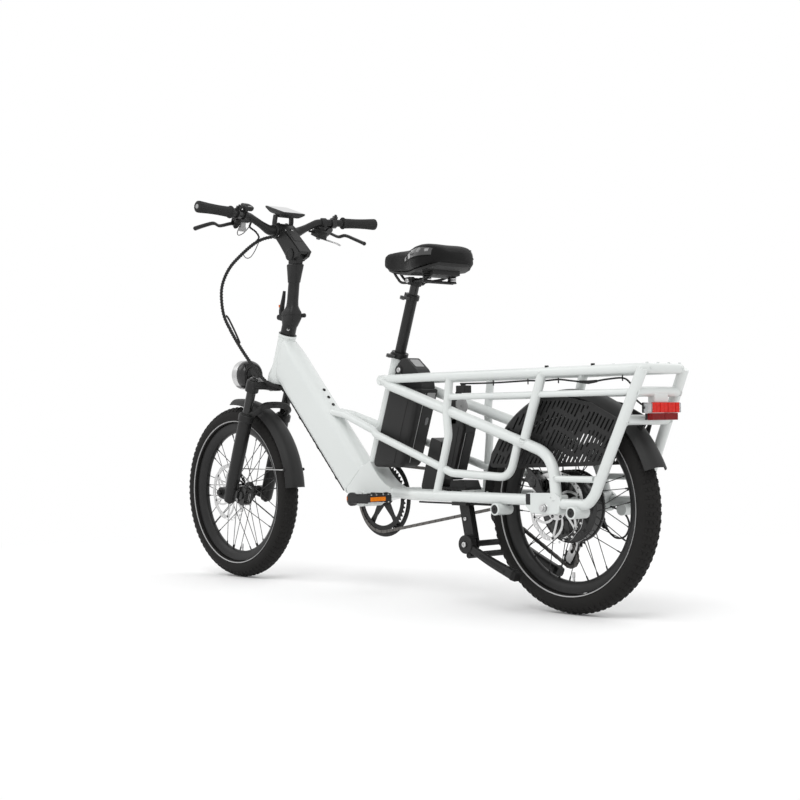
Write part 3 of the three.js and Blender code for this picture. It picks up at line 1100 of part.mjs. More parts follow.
const postTopAt = post.exposed + post.innerShown;
add('seatpost_outer', seatpostOuter(), blackMetal);
add('seatpost_inner', tube([seatAt(postTopAt - post.innerLong), seatAt(postTopAt)], post.inner, 0,
  facets.round), blackMetal);
add('seat_clamp_lever', camLeverShape(seatAt(-seatCollar.high / 2), seatCollar.radius), blackMetal);
add('post_clamp_lever', camLeverShape(seatAt(post.exposed - post.clampHigh / 2), post.clamp), blackMetal);

// A solid through rings of points listed counter-clockwise as seen from the front, rear ring first
function loft(rings) {
  const count = rings[0].length;
  const faces = [];
  rings.slice(1).forEach((_, i) => {
    for (let j = 0; j < count; j += 1) {
      const next = (j + 1) % count;
      const [a, b, c, d] = [i * count + j, (i + 1) * count + j, i * count + next, (i + 1) * count + next];
      faces.push(a, c, b, b, c, d);
    }
  });
  const last = (rings.length - 1) * count;
  for (let j = 1; j < count - 1; j += 1) faces.push(0, j + 1, j, last, last + j, last + j + 1);
  const geometry = new THREE.BufferGeometry();
  geometry.setAttribute('position', new THREE.Float32BufferAttribute(rings.flat(2), 3));
  return geometry.setIndex(faces);
}

function saddleRing([x, half, top, low]) {
  const over = Array.from({ length: saddle.sides + 1 }, (_, i) => {
    const angle = (i * Math.PI) / saddle.sides;
    const across = Math.sign(Math.cos(angle)) * Math.abs(Math.cos(angle)) ** saddle.dome;
    return [x, half * across, low + (top - low) * mix(saddle.floorDrop, 1, Math.sin(angle) ** saddle.dome)];
  });
  const under = half - (top - low) * saddle.floorDrop;
  return [...over, [x, -under, low], [x, under, low]];
}

function saddleBase() {
  const shell = saddleShell;
  const plates = loft(saddle.stations.slice(1, -2).map(([x, half, , low]) => [[x,
    half - shell.thick - shell.inset, low - gap],
    [x, -half + shell.thick + shell.inset, low - gap], [x, -half + 2 * shell.thick, low - shell.thick],
    [x, half - 2 * shell.thick, low - shell.thick]]));
  const rails = [1, -1].map((side) => {
    const at = (x, z) => [x, side * shell.railHalf * (x > shell.lowFrontX ? shell.noseShare : 1), z];
    return tube([at(shell.frontX, shell.frontZ), at(shell.lowFrontX, shell.lowZ), at(shell.lowRearX,
      shell.lowZ),
      at(shell.rearX, shell.rearZ)], shell.rail, 0, facets.thin);
  });
  const springs = [1, -1].flatMap((side) => rod([shell.springX, side * shell.springHalf, shell.springLow],
    [shell.springX, side * shell.springHalf, shell.springTop], shell.springRadius, facets.pin));
  const cross = rod([shell.springX, -shell.springHalf, shell.barHigh], [shell.springX, shell.springHalf,
    shell.barHigh],
    shell.rail, facets.thin);
  const [clampX, , clampZ] = seatAt(shell.clampAt);
  return fuse(plates, rails, springs, cross, tube([seatAt(postTopAt + gap), seatAt(shell.sleeveTo)],
    shell.sleeve, 0, facets.round),
    disc(clampX, clampZ, shell.clampRadius, -shell.clampHalf, shell.clampHalf, facets.round));
}

add('saddle', loft(saddle.stations.map(saddleRing)), blackPlastic);
add('saddle_base', saddleBase(), blackPlastic);

// Batteries, docks and controller
const seatBack = [-Math.cos(seatLean), 0, -Math.sin(seatLean)];
function alongSeat(behind, outline, lowZ, topZ) {
  const middle = shift(seatTop, seatBack, behind);
  const at = (z) => shift(middle, seatUp, (z - middle[2]) / seatUp[2]);
  return sweep([at(lowZ), at(topZ)], outline);
}

// A plate across the bike with its edges cut off at a slant
function bevelled(outline, half, bevel) {
  const plate = new THREE.ExtrudeGeometry(shapeOf(outline), { depth: 2 * (half - bevel),
    bevelThickness: bevel, bevelSize: bevel,
    bevelOffset: -bevel, bevelSegments: 1 });
  return plate.rotateX(Math.PI / 2).translate(0, half - bevel, 0);
}

function frontBattery() {
  const { depth, width, corner, lowZ, topZ, behind, cap, capHalf } = battery;
  const body = alongSeat(behind + depth / 2, roundedBox(width, depth, corner, 2), lowZ - depth, topZ + depth);
  const level = box([bracketX - depth, 0, (lowZ + topZ) / 2], [tyreRadius * 2, width + overrun, topZ - lowZ]);
  return fuse(solid(body).intersect(solid(level)), slab(cap, -capHalf, capHalf));
}

function rearDockShape() {
  const { x, long, half, z, thick, ringFrom, ringTo, ringRadius, ringBore, seat, seatHalf } = rearDock;
  const rings = [1, -1].map((side) => slab(polygon(ringRadius, facets.round, { x: stay.crossX,
    y: stay.railZ }), side * ringFrom,
    side * ringTo, [polygon(ringBore, facets.bore, { hole: true, x: stay.crossX, y: stay.railZ })]));
  return fuse(box([x, 0, z], [long, 2 * half, thick]), rings, slab(seat, -seatHalf, seatHalf),
    bevelled(controller.outline, controller.half, controller.bevel));
}

add('front_battery', frontBattery(), blackPlastic);
add('front_battery_dock', alongSeat(seatTube.radius + gap + dock.thick / 2,
  roundedBox(dock.width, dock.thick, dock.corner, 1), dock.lowZ, dock.topZ), blackPlastic);
add('rear_battery', bevelled(rearBattery.outline, rearBattery.half, rearBattery.bevel), blackPlastic);
add('rear_battery_dock', rearDockShape(), blackPlastic);

// Slotted covers over the top of the rear wheel
function skirtShape(side) {
  const { y, thick, outline, rows, slotWide, slotPitch, slotLean, bossRadius, bossZ, lowBossX,
    lowBossZ } = skirt;
  const slots = rows.flatMap(([low, high, first, count]) => Array.from({ length: count }, (_, i) => {
    const x = first + i * slotPitch;
    const lean = (high - low) * slotLean;
    return slab([[x, low], [x + slotWide, low], [x + slotWide + lean, high], [x + lean, high]],
      side * (y - thick), side * (y + thick));
  }));
  const sheet = cut(slab(outline, side * (y - thick / 2), side * (y + thick / 2)), slots);
  const postX = mix(rack.midPostX, stay.midPostFootX, (rack.topZ - bossZ) / (rack.topZ - stay.midPostFootZ));
  const bosses = [[postX, bossZ], [lowBossX, lowBossZ]].map(([x, z]) =>
    rod([x, side * (y - thick / 2 + gap), z], [x, side * rack.halfWidth, z], bossRadius, facets.thin));
  return cut(fuse(sheet, bosses), midPostAt(side, gap), diagonalAt(side, gap));
}

add('left_wheel_skirt', skirtShape(1), blackPlastic);
add('right_wheel_skirt', skirtShape(-1), blackPlastic);

function tailLightShape() {
  const { x, depth, half, lowZ, topZ, reflectorLow, reflectorHalf, reflectorDepth, plateHalf, plateDepth,
    plateTop, plateX } = tailLight;
  const lamp = box([x + depth / 2, 0, (lowZ + topZ) / 2], [depth, 2 * half, topZ - lowZ]);
  const reflector = box([x + reflectorDepth / 2, 0, (reflectorLow + lowZ) / 2 + gap], [reflectorDepth,
    2 * reflectorHalf, lowZ - reflectorLow]);
  const plate = box([plateX, 0, (topZ + plateTop) / 2 - gap], [plateDepth, 2 * plateHalf, plateTop - topZ]);
  return fuse(cut(fuse(lamp, reflector, plate), [1, -1].map((side) => crossbarAt(side, upperBar, gap))),
    tube(tailLead.route, tailLead.radius, 0, tailLead.sides));
}

add('tail_light', tailLightShape(), redGlass);

// Two-legged stand, stowed pointing back
function standBracketShape() {
  const { x, topZ, half, deep, plate, armFrom, armTo, armRadius, armTopZ } = standBracket;
  const arms = [1, -1].map((side) => strap([x, armTopZ, armRadius], [stand.pivotX, stand.pivotZ, armRadius],
    side * armFrom, side * armTo));
  const idlerPin = disc(idler.x, idler.z, cage.pin, -armFrom - overrun, chainLine + idler.thick / 2,
    facets.pin);
  const trimmed = cut(fuse(arms), box([x, 0, topZ + deep / 2], [2 * deep, 2 * half, deep]));
  return fuse(trimmed, box([x, 0, topZ - plate / 2], [deep, 2 * half, plate]), idlerPin,
    disc(stand.pivotX, stand.pivotZ, stand.pin, -stand.pinHalf, stand.pinHalf, facets.bore));
}

function standLegs() {
  const { pivotX, pivotZ, ring, ringFrom, ringTo, bore, kneeX, kneeZ, kneeY, footX, footZ, footY,
    bar: thick } = stand;
  const legs = [1, -1].flatMap((side) => [
    disc(pivotX, pivotZ, ring, side * ringFrom, side * ringTo, facets.round),
    tube([[pivotX - thick, side * (ringFrom + ringTo) / 2, pivotZ - thick], [kneeX, side * kneeY, kneeZ],
      [footX, side * footY, footZ]], thick),
    disc(footX, footZ, stand.footRadius, side * stand.footFrom, side * stand.footTo, facets.bore),
  ]);
  const brace = rod([stand.braceX, -ringTo + thick, stand.braceZ], [stand.braceX, ringTo - thick,
    stand.braceZ], stand.brace);
  return cut(fuse(legs, brace), [1, -1].map((side) => disc(pivotX, pivotZ, flats(facets.bore, bore),
    side * (ringFrom - overrun),
    side * (ringTo + overrun), facets.bore)));
}

add('kickstand_bracket', standBracketShape(), blackMetal);
add('kickstand_legs', standLegs(), blackMetal);

export default bike;
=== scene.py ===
from math import acos, asin, atan2, cos, hypot, pi, radians, sin, sqrt, tan

import bmesh
import bpy
from mathutils import Matrix, Vector
from mathutils.geometry import tessellate_polygon


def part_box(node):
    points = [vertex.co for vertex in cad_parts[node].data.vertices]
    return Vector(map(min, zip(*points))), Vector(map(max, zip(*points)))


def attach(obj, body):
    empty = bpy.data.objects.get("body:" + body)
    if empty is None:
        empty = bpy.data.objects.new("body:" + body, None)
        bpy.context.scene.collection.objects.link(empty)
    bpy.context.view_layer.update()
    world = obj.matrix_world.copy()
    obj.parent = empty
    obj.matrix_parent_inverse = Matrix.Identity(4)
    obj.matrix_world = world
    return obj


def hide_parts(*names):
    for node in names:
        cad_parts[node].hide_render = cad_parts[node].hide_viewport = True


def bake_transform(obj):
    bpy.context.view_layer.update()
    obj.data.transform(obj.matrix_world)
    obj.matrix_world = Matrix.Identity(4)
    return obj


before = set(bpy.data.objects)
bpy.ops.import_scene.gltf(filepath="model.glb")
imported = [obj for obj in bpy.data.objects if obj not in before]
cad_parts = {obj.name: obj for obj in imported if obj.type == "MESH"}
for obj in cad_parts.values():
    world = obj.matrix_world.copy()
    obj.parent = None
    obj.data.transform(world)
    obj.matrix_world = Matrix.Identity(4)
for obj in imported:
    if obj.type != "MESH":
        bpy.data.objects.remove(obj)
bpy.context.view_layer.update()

# Lengths are millimetres: x ahead of the rear axle, y to the rider's left, z above the ground
mm = 0.001
rearLow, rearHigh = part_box("rear_tyre")
frontLow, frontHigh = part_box("front_tyre")
axleX = (rearLow.x + rearHigh.x) / 2
tyreRadius = (rearHigh.z - rearLow.z) / 2 / mm
wheelbase = ((frontLow.x + frontHigh.x) / 2 - axleX) / mm
rearHub = Vector((0, 0, tyreRadius))
frontHub = Vector((wheelbase, 0, tyreRadius))
sides = {"left": 1, "right": -1}


def inFrame(point):
    return Vector((axleX + point[0] * mm, point[1] * mm, point[2] * mm))


# Graphs of nodes, for looks and for geometry alike
class Wire:
    def __init__(self, graph, socket):
        self.graph, self.socket = graph, socket

    def maths(self, operation, other, flip=False):
        first, second = (other, self) if flip else (self, other)
        return self.graph.node("ShaderNodeMath", {"operation": operation}, {0: first, 1: second})

    def __add__(self, other):
        return self.maths("ADD", other)

    def __sub__(self, other):
        return self.maths("SUBTRACT", other)

    def __rsub__(self, other):
        return self.maths("SUBTRACT", other, True)

    def __mul__(self, other):
        return self.maths("MULTIPLY", other)

    def __gt__(self, other):
        return self.maths("GREATER_THAN", other)

    __radd__ = __add__
    __rmul__ = __mul__


class Graph:
    def __init__(self, tree):
        self.tree = tree

    def feed(self, socket, value):
        if isinstance(value, Wire):
            self.tree.links.new(value.socket, socket)
        else:
            socket.default_value = value

    def node(self, kind, settings=None, sockets=None, out=0):
        made = self.tree.nodes.new(kind)
        for key, value in (settings or {}).items():
            if key == "stops":
                ramp = made.color_ramp.elements
                while len(ramp) < len(value):
                    ramp.new(1)
                for stop, (place, tone) in zip(ramp, value):
                    stop.position, stop.color = place, (*tone, 1)
            else:
                setattr(made, key, value)
        for key, value in (sockets or {}).items():
            self.feed(made.inputs[key], value)
        return Wire(self, made.outputs[out])


class Look(Graph):
    def __init__(self, name, slot, **fixed):
        self.material = bpy.data.materials.new(name)
        self.material.use_nodes = True
        super().__init__(self.material.node_tree)
        self.slot = slot
        self.shader = self.tree.nodes["Principled BSDF"]
        self.place = self.node("ShaderNodeTexCoord", out=3)
        for key, value in fixed.items():
            self.shader.inputs[key.replace("_", " ")].default_value = value

    def noise(self, scale, detail=2.0, place=None, roughness=0.5):
        return self.node("ShaderNodeTexNoise", {}, {"Vector": place or self.place, "Scale": scale,
                                                  "Detail": detail, "Roughness": roughness})

    def stretched(self, scale, turn=(0, 0, 0), centre=(0, 0, 0)):
        return self.node("ShaderNodeMapping", {}, {"Vector": self.place, "Location": centre, "Rotation": turn,
                                                   "Scale": scale})

    def blend(self, share, first, second):
        return self.node("ShaderNodeMix", {"data_type": "RGBA"}, {0: share, 6: (*first, 1), 7: (*second, 1)}, out=2)

    def wear(self, key, value):
        self.feed(self.shader.inputs[key], value)

    def bump(self, height, strength, depth):
        raised = self.node("ShaderNodeBump", {}, {"Height": height, "Strength": strength, "Distance": depth})
        self.feed(self.shader.inputs["Normal"], raised)


def grey(value, warmth=0.0):
    return (value * (1 + warmth), value, value * (1 - warmth))


def worn(name, slot, grain, tones, rough, bump, **fixed):  # colour, roughness and bump each follow a noise
    look = Look(name, slot, **fixed)
    look.wear("Base Color", look.blend(look.noise(*grain), *tones))
    look.wear("Roughness", look.noise(*rough[:2]) * rough[2] + rough[3])
    look.bump(look.noise(*bump[:2]), *bump[2:])
    return look


def ringLines(look, centre, scale, distortion, detail):  # fine rings round an axle
    turned = look.stretched((1, 1, 1), centre=(-axleX - centre.x * mm, 0, -centre.z * mm))
    return look.node("ShaderNodeTexWave", {"wave_type": "RINGS", "rings_direction": "Y"},
                     {"Vector": turned, "Scale": scale, "Distortion": distortion, "Detail": detail})


def mouldedBlack():
    look = Look("mouldedBlack", "black_plastic", Specular_IOR_Level=0.25)
    drift = look.noise(18, 3)
    look.wear("Base Color", look.blend(drift, grey(0.014), grey(0.021)))
    look.wear("Roughness", drift * 0.14 + 0.44)
    spark = look.node("ShaderNodeTexVoronoi", {}, {"Vector": look.place, "Scale": 1800.0})
    look.bump(spark + look.noise(900), 0.14, 0.0002)
    return look


def tyreRubber(name, centre):
    look = Look(name, "tyre", Specular_IOR_Level=0.15)
    dust = look.noise(12, 4)
    look.wear("Base Color", look.blend(dust, grey(0.008, 0.03), grey(0.016, 0.05)))
    look.wear("Roughness", dust * 0.16 + 0.62)
    look.bump(ringLines(look, centre, 90.0, 0.4, 1.0) * 0.5 + look.noise(1500), 0.12, 0.0004)
    return look


def rotorSteel(name, centre):
    look = Look(name, "steel", Metallic=1.0)
    lines = ringLines(look, centre, 700.0, 1.5, 2.0)
    look.wear("Base Color", look.blend(look.noise(20), grey(0.5), grey(0.66)))
    look.wear("Roughness", lines * 0.14 + 0.24)
    look.bump(lines, 0.1, 0.0001)
    return look


def paleGrey(name, tone, slot="grey_plastic", rough=0.42):
    return worn(name, slot, (30, 3), (grey(tone * 0.86), grey(tone)), (30, 3, 0.12, rough), (1300, 2, 0.1, 0.0002))


def saddleVinyl():
    look = Look("saddleVinyl", "saddle_cover", Specular_IOR_Level=0.12)
    pebble = look.node("ShaderNodeTexVoronoi", {"feature": "DISTANCE_TO_EDGE"}, {"Vector": look.place, "Scale": 900.0})
    look.wear("Base Color", look.blend(look.noise(22, 3), grey(0.004), grey(0.008)))
    look.wear("Roughness", look.noise(60, 3) * 0.14 + 0.4)
    look.bump(pebble * 1.5 + look.noise(500), 0.2, 0.0004)
    return look


def tinted(name, tone, rough=0.12, glow=0.0):
    look = Look(name, "lamp", Coat_Weight=0.05, Coat_Roughness=0.04, Specular_IOR_Level=0.15)
    cells = look.node("ShaderNodeTexVoronoi", {}, {"Vector": look.place, "Scale": 260.0})
    look.wear("Base Color", look.blend(cells, tone, tuple(part * 0.6 for part in tone)))
    look.wear("Roughness", look.noise(80) * 0.06 + rough)
    look.bump(cells, 0.25, 0.0006)
    if glow:
        look.shader.inputs["Emission Color"].default_value = (*tone, 1)
        look.shader.inputs["Emission Strength"].default_value = glow
    return look


def clearLens():
    look = Look("clearLens", "lamp", Transmission_Weight=0.85, IOR=1.46, Coat_Weight=0.5)
    look.wear("Base Color", look.blend(look.noise(20), (0.9, 0.93, 0.95), (0.98, 0.99, 1.0)))
    look.wear("Roughness", look.noise(60) * 0.05 + 0.03)
    ribs = look.node("ShaderNodeTexWave", {"bands_direction": "Y"}, {"Vector": look.place, "Scale": 120.0})
    look.bump(ribs, 0.1, 0.0006)
    return look


paint = worn("frostedPaint", "paint", (5, 3), ((0.585, 0.612, 0.6), (0.635, 0.66, 0.648)), (60, 3, 0.1, 0.27),
             (620, 1, 0.06, 0.0003), Coat_Weight=0.3, Coat_Roughness=0.12)
black = worn("satinBlack", "black_metal", (45, 4), (grey(0.013), grey(0.021)), (45, 4, 0.16, 0.3),
             (1400, 2, 0.08, 0.0002), Metallic=0.2, Specular_IOR_Level=0.28)
gloss = worn("glossBlack", "black_metal", (30, 2), (grey(0.01), grey(0.016)), (50, 3, 0.1, 0.16),
             (500, 1, 0.04, 0.0002), Coat_Weight=0.25, Coat_Roughness=0.05, Specular_IOR_Level=0.3)
rubber = worn("gripRubber", "rubber", (25, 3), (grey(0.018), grey(0.03)), (70, 3, 0.14, 0.7),
              (2200, 2, 0.25, 0.0002), Specular_IOR_Level=0.2)
steel = worn("brightSteel", "steel", (40, 3), (grey(0.46), grey(0.64)), (40, 3, 0.2, 0.2),
             (900, 2, 0.06, 0.0001), Metallic=1.0)
chainMetal = worn("chainSteel", "chain_steel", (160, 3), (grey(0.05, 0.08), grey(0.22, 0.04)), (160, 3, 0.3, 0.25),
                  (1200, 2, 0.08, 0.0001), Metallic=0.9)
screen = worn("darkScreen", "black_plastic", (25, 2), ((0.006, 0.008, 0.011), (0.012, 0.014, 0.018)),
              (80, 2, 0.05, 0.06), (120, 2, 0.02, 0.0001), Coat_Weight=1.0, Coat_Roughness=0.03)
patent = worn("patentBlack", "saddle_cover", (20, 3), (grey(0.008), grey(0.013)), (60, 3, 0.08, 0.14),
              (160, 2, 0.05, 0.0004), Coat_Weight=1.0, Coat_Roughness=0.04)
mirror = worn("lampMirror", "lamp", (40, 2), (grey(0.75), grey(0.9)), (90, 2, 0.08, 0.08),
              (200, 2, 0.05, 0.0002), Metallic=1.0)
plastic, vinyl, lens = mouldedBlack(), saddleVinyl(), clearLens()
paleInner = paleGrey("paleInner", 0.8, "lamp", 0.3)
greyPlastic, stripe = paleGrey("greyPlastic", 0.3), paleGrey("sidewallStripe", 0.36, "tyre", 0.3)
redLens, darkRed = tinted("redLens", (0.6, 0.018, 0.012), glow=0.14), tinted("darkRed", (0.2, 0.002, 0.003))
# the amber look glows faintly: a painted reflection, where emission stands in for the light the pedal reflectors throw
# back, though they are no lamp
amber, orangeTab = tinted("amber", (0.85, 0.22, 0.01), glow=0.1), tinted("orangeTab", (0.8, 0.16, 0.012), 0.4)
print("looks made")


# Closed shells, each a list of corners and a list of faces
def perpendicular(direction, ahead=None):
    line = Vector(direction).normalized()
    other = Vector(ahead) if ahead is not None else Vector((0, 1, 0) if abs(line.y) < 0.9 else (1, 0, 0))
    across = (other - line * other.dot(line)).normalized()
    return across, line.cross(across), line


def shift(point, direction, distance):
    return Vector(point) + Vector(direction) * distance


def sideways(y):
    return Vector((0, y, 0))


def polar(angle):
    return Vector((cos(angle), 0, sin(angle)))


def leaning(angle):
    return Vector((-sin(angle), 0, cos(angle)))


def mix(first, second, share):
    return Vector(first).lerp(Vector(second), share)


def rounded(points, bend, steps=7, loop=False):
    corners = [Vector(point) for point in points]
    turns = corners if loop else corners[1:-1]
    path = [] if loop else [corners[0]]
    for i, here in enumerate(turns, 0 if loop else 1):
        back, ahead = corners[i - 1] - here, corners[(i + 1) % len(corners)] - here
        turn = pi - back.angle(ahead)
        reach = min(bend * tan(turn / 2), back.length * 0.48, ahead.length * 0.48)
        if reach < 0.2:
            path.append(here)
            continue
        start, end = here + back.normalized() * reach, here + ahead.normalized() * reach
        for k in range(steps + 1):
            share = k / steps
            path.append(start.lerp(here, share).lerp(here.lerp(end, share), share))
    return path if loop else [*path, corners[-1]]


def smoothed(points, steps=8, loop=False):  # a curve through every point
    count = len(points)
    corners = [Vector(point) for point in points]
    path = []
    for i in range(count if loop else count - 1):
        pick = [corners[(i + k) % count] if loop else corners[min(max(i + k, 0), count - 1)] for k in (-1, 0, 1, 2)]
        for k in range(steps):
            t = k / steps
            path.append(0.5 * (2 * pick[1] + (pick[2] - pick[0]) * t
                               + (2 * pick[0] - 5 * pick[1] + 4 * pick[2] - pick[3]) * t ** 2
                               + (3 * pick[1] - pick[0] - 3 * pick[2] + pick[3]) * t ** 3))
    return path if loop else [*path, corners[-1]]


def circle(radius, count, x=0.0, z=0.0, turn=0.0):
    return [(x + radius * cos(turn + i * 2 * pi / count), z + radius * sin(turn + i * 2 * pi / count))
            for i in range(count)]


def roundRect(width, depth, corner, steps=5):
    outline = []
    for quarter in range(4):
        sx, sy = (1 if quarter in (0, 3) else -1), (1 if quarter < 2 else -1)
        for k in range(steps + 1):
            angle = (quarter + k / steps) * pi / 2
            outline.append((sx * (width / 2 - corner) + corner * cos(angle),
                            sy * (depth / 2 - corner) + corner * sin(angle)))
    return outline


def flatLoop(points, corner, steps=5):
    return [(point.x, point.y) for point in rounded([Vector((x, z, 0)) for x, z in points], corner, steps, True)]


def strapOutline(first, second, steps=10):
    (x1, z1, r1), (x2, z2, r2) = first, second
    along = atan2(z2 - z1, x2 - x1)
    spread = acos((r1 - r2) / hypot(x2 - x1, z2 - z1))
    outline = []
    for x, z, r, start, end in ((x1, z1, r1, spread, 2 * pi - spread), (x2, z2, r2, -spread, spread)):
        for k in range(steps + 1):
            angle = along + start + (end - start) * k / steps
            outline.append((x + r * cos(angle), z + r * sin(angle)))
    return outline


def sweep(path, outline, up=None, loop=False, sizes=None):
    path = [Vector(point) for point in path]
    count, edge = len(path), len(outline)
    tangents = []
    for i in range(count):
        before = path[i - 1] if loop or i else path[0]
        after = path[(i + 1) % count] if loop or i < count - 1 else path[-1]
        tangents.append((after - before).normalized())
    start = up if up is not None else ((0, 0, 1) if abs(tangents[0].z) < 0.9 else (1, 0, 0))
    normal = perpendicular(tangents[0], start)[0]
    corners = []
    for i, tangent in enumerate(tangents):
        if i:
            normal = tangents[i - 1].rotation_difference(tangent) @ normal
            normal = (normal - tangent * normal.dot(tangent)).normalized()
        side = normal.cross(tangent)
        size = sizes[i] if sizes else 1
        corners += [path[i] + (side * u + normal * v) * size for u, v in outline]
    faces = []
    for i in range(count if loop else count - 1):
        a, b = i * edge, ((i + 1) % count) * edge
        faces += [(a + j, a + (j + 1) % edge, b + (j + 1) % edge, b + j) for j in range(edge)]
    if not loop:
        faces += [tuple(range(edge)), tuple(range((count - 1) * edge, count * edge))]
    return corners, faces


def tube(points, radius, bend=0, sides=20, sizes=None, loop=False, steps=7):
    path = rounded(points, bend, steps, loop) if bend else points
    return sweep(path, circle(radius, sides), loop=loop, sizes=sizes)


def lathe(profile, centre, axis=(0, 1, 0), steps=48, ahead=None, loop=False):
    across, other, line = perpendicular(axis, ahead)
    corners, rings, faces = [], [], []
    for radius, along in profile:
        middle = Vector(centre) + line * along
        if radius < 0.001:
            rings.append([len(corners)] * steps)
            corners.append(middle)
        else:
            rings.append(list(range(len(corners), len(corners) + steps)))
            corners += [middle + (across * cos(i * 2 * pi / steps) + other * sin(i * 2 * pi / steps)) * radius
                        for i in range(steps)]
    pairs = list(zip(rings, rings[1:])) + ([(rings[-1], rings[0])] if loop else [])
    for low, high in pairs:
        for i in range(steps):
            face = [low[i], low[(i + 1) % steps], high[(i + 1) % steps], high[i]]
            faces.append(tuple(dict.fromkeys(face)))
    if not loop:
        faces += [tuple(ring) for ring in (rings[0], rings[-1]) if ring[0] != ring[1]]
    return corners, [face for face in faces if len(face) > 2]


def plate(outline, thick, centre=(0, 0, 0), u=(1, 0, 0), v=(0, 0, 1), holes=()):
    u, v = Vector(u).normalized(), Vector(v).normalized()
    away = u.cross(v).normalized()
    rings = [list(outline), *[list(hole) for hole in holes]]
    flat = [point for ring in rings for point in ring]
    count = len(flat)
    corners = [Vector(centre) + u * x + v * z + away * (thick / 2 * end) for end in (-1, 1) for x, z in flat]
    caps = tessellate_polygon([[Vector((x, z, 0)) for x, z in ring] for ring in rings])
    faces = [tuple(face) for face in caps] + [tuple(count + i for i in reversed(face)) for face in caps]
    start = 0
    for ring in rings:
        for i in range(len(ring)):
            a, b = start + i, start + (i + 1) % len(ring)
            faces.append((a, b, b + count, a + count))
        start += len(ring)
    return corners, faces


def sidePlate(outline, yFrom, yTo, holes=()):
    return plate(outline, abs(yTo - yFrom), (0, (yFrom + yTo) / 2, 0), holes=holes)


def block(centre, size, u=(1, 0, 0), v=(0, 0, 1)):
    half, deep, high = (part / 2 for part in size)
    return plate([(-half, -high), (half, -high), (half, high), (-half, high)], 2 * deep, centre, u, v)


def disc(centre, radius, yFrom, yTo, steps=40):
    return lathe([(0, yFrom), (radius, yFrom), (radius, yTo), (0, yTo)], (centre[0], 0, centre[2]), steps=steps)


def loft(rings):
    count = len(rings[0])
    corners = [Vector(point) for ring in rings for point in ring]
    faces = []
    for i in range(len(rings) - 1):
        a, b = i * count, (i + 1) * count
        faces += [(a + j, a + (j + 1) % count, b + (j + 1) % count, b + j) for j in range(count)]
    return corners, [*faces, tuple(range(count)), tuple(range(len(corners) - count, len(corners)))]


def mirrored(shell):
    corners, faces = shell
    return [Vector((corner[0], -corner[1], corner[2])) for corner in corners], faces


def welding(host, hostRadius, line, radius, wire=2.0, steps=56):
    # the rippled bead where a tube that ends in another tube meets it
    hostAxis = (Vector(host[1]) - Vector(host[0])).normalized()
    start, end = Vector(line[0]), Vector(line[1])
    across, other, along = perpendicular(end - start)
    path = []
    for i in range(steps):
        angle = i * 2 * pi / steps
        edge = start + (across * cos(angle) + other * sin(angle)) * radius
        away = edge - Vector(host[0])
        away -= hostAxis * away.dot(hostAxis)
        slope = along - hostAxis * along.dot(hostAxis)
        a, b, c = slope.dot(slope), 2 * away.dot(slope), away.dot(away) - hostRadius ** 2
        inside = b * b - 4 * a * c
        path.append(edge + along * ((-b - sqrt(max(inside, 0))) / (2 * a)))
    return sweep(path, circle(wire, 8), loop=True, sizes=[1 + 0.16 * (i % 2) for i in range(steps)])


def build(name, shells, bevel=0.0, angle=32, weld=0.0):
    mesh = bpy.data.meshes.new(name)
    corners, faces = [], []
    for points, polygons in shells:
        faces += [tuple(len(corners) + i for i in polygon) for polygon in polygons]
        corners += [inFrame(point) for point in points]
    mesh.from_pydata(corners, [], faces)
    shape = bmesh.new()
    shape.from_mesh(mesh)
    bmesh.ops.remove_doubles(shape, verts=shape.verts, dist=weld or 1e-6)
    bmesh.ops.recalc_face_normals(shape, faces=shape.faces)
    shape.to_mesh(mesh)
    shape.free()
    mesh.shade_smooth()
    mesh.set_sharp_from_angle(angle=radians(angle))
    made = bpy.data.objects.new(name, mesh)
    bpy.context.scene.collection.objects.link(made)
    if bevel:
        soften = made.modifiers.new("softEdges", "BEVEL")
        soften.width, soften.segments, soften.angle_limit = bevel * mm, 2, radians(angle)
        soften.limit_method, soften.harden_normals = "ANGLE", True
    return made


def fit(made, look, body, nodes=()):
    made.data.materials.clear()
    made.data.materials.append(look.material)
    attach(made, body)
    if nodes:
        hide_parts(*nodes)
    return made


def make(name, shells, look, body, nodes=(), bevel=0.0, angle=32, weld=0.0):
    return fit(build(name, shells, bevel, angle, weld), look, body, nodes)


# Geometry node trees
def newTree(name, sizes):
    tree = bpy.data.node_groups.new(name, "GeometryNodeTree")
    tree.interface.new_socket("Geometry", in_out="INPUT", socket_type="NodeSocketGeometry")
    for size, kind in sizes.items():
        tree.interface.new_socket(size, in_out="INPUT", socket_type=kind)
    tree.interface.new_socket("Geometry", in_out="OUTPUT", socket_type="NodeSocketGeometry")
    graph = Graph(tree)
    entry = tree.nodes.new("NodeGroupInput")
    wires = {socket.name: Wire(graph, socket) for socket in entry.outputs if socket.name}
    return graph, wires


def closeTree(graph, wires, copies):
    real = graph.node("GeometryNodeRealizeInstances", {}, {0: copies})
    coloured = graph.node("GeometryNodeSetMaterial", {}, {"Geometry": real, "Material": wires["Material"]})
    leave = graph.tree.nodes.new("NodeGroupOutput")
    graph.feed(leave.inputs[0], coloured)
    return graph.tree


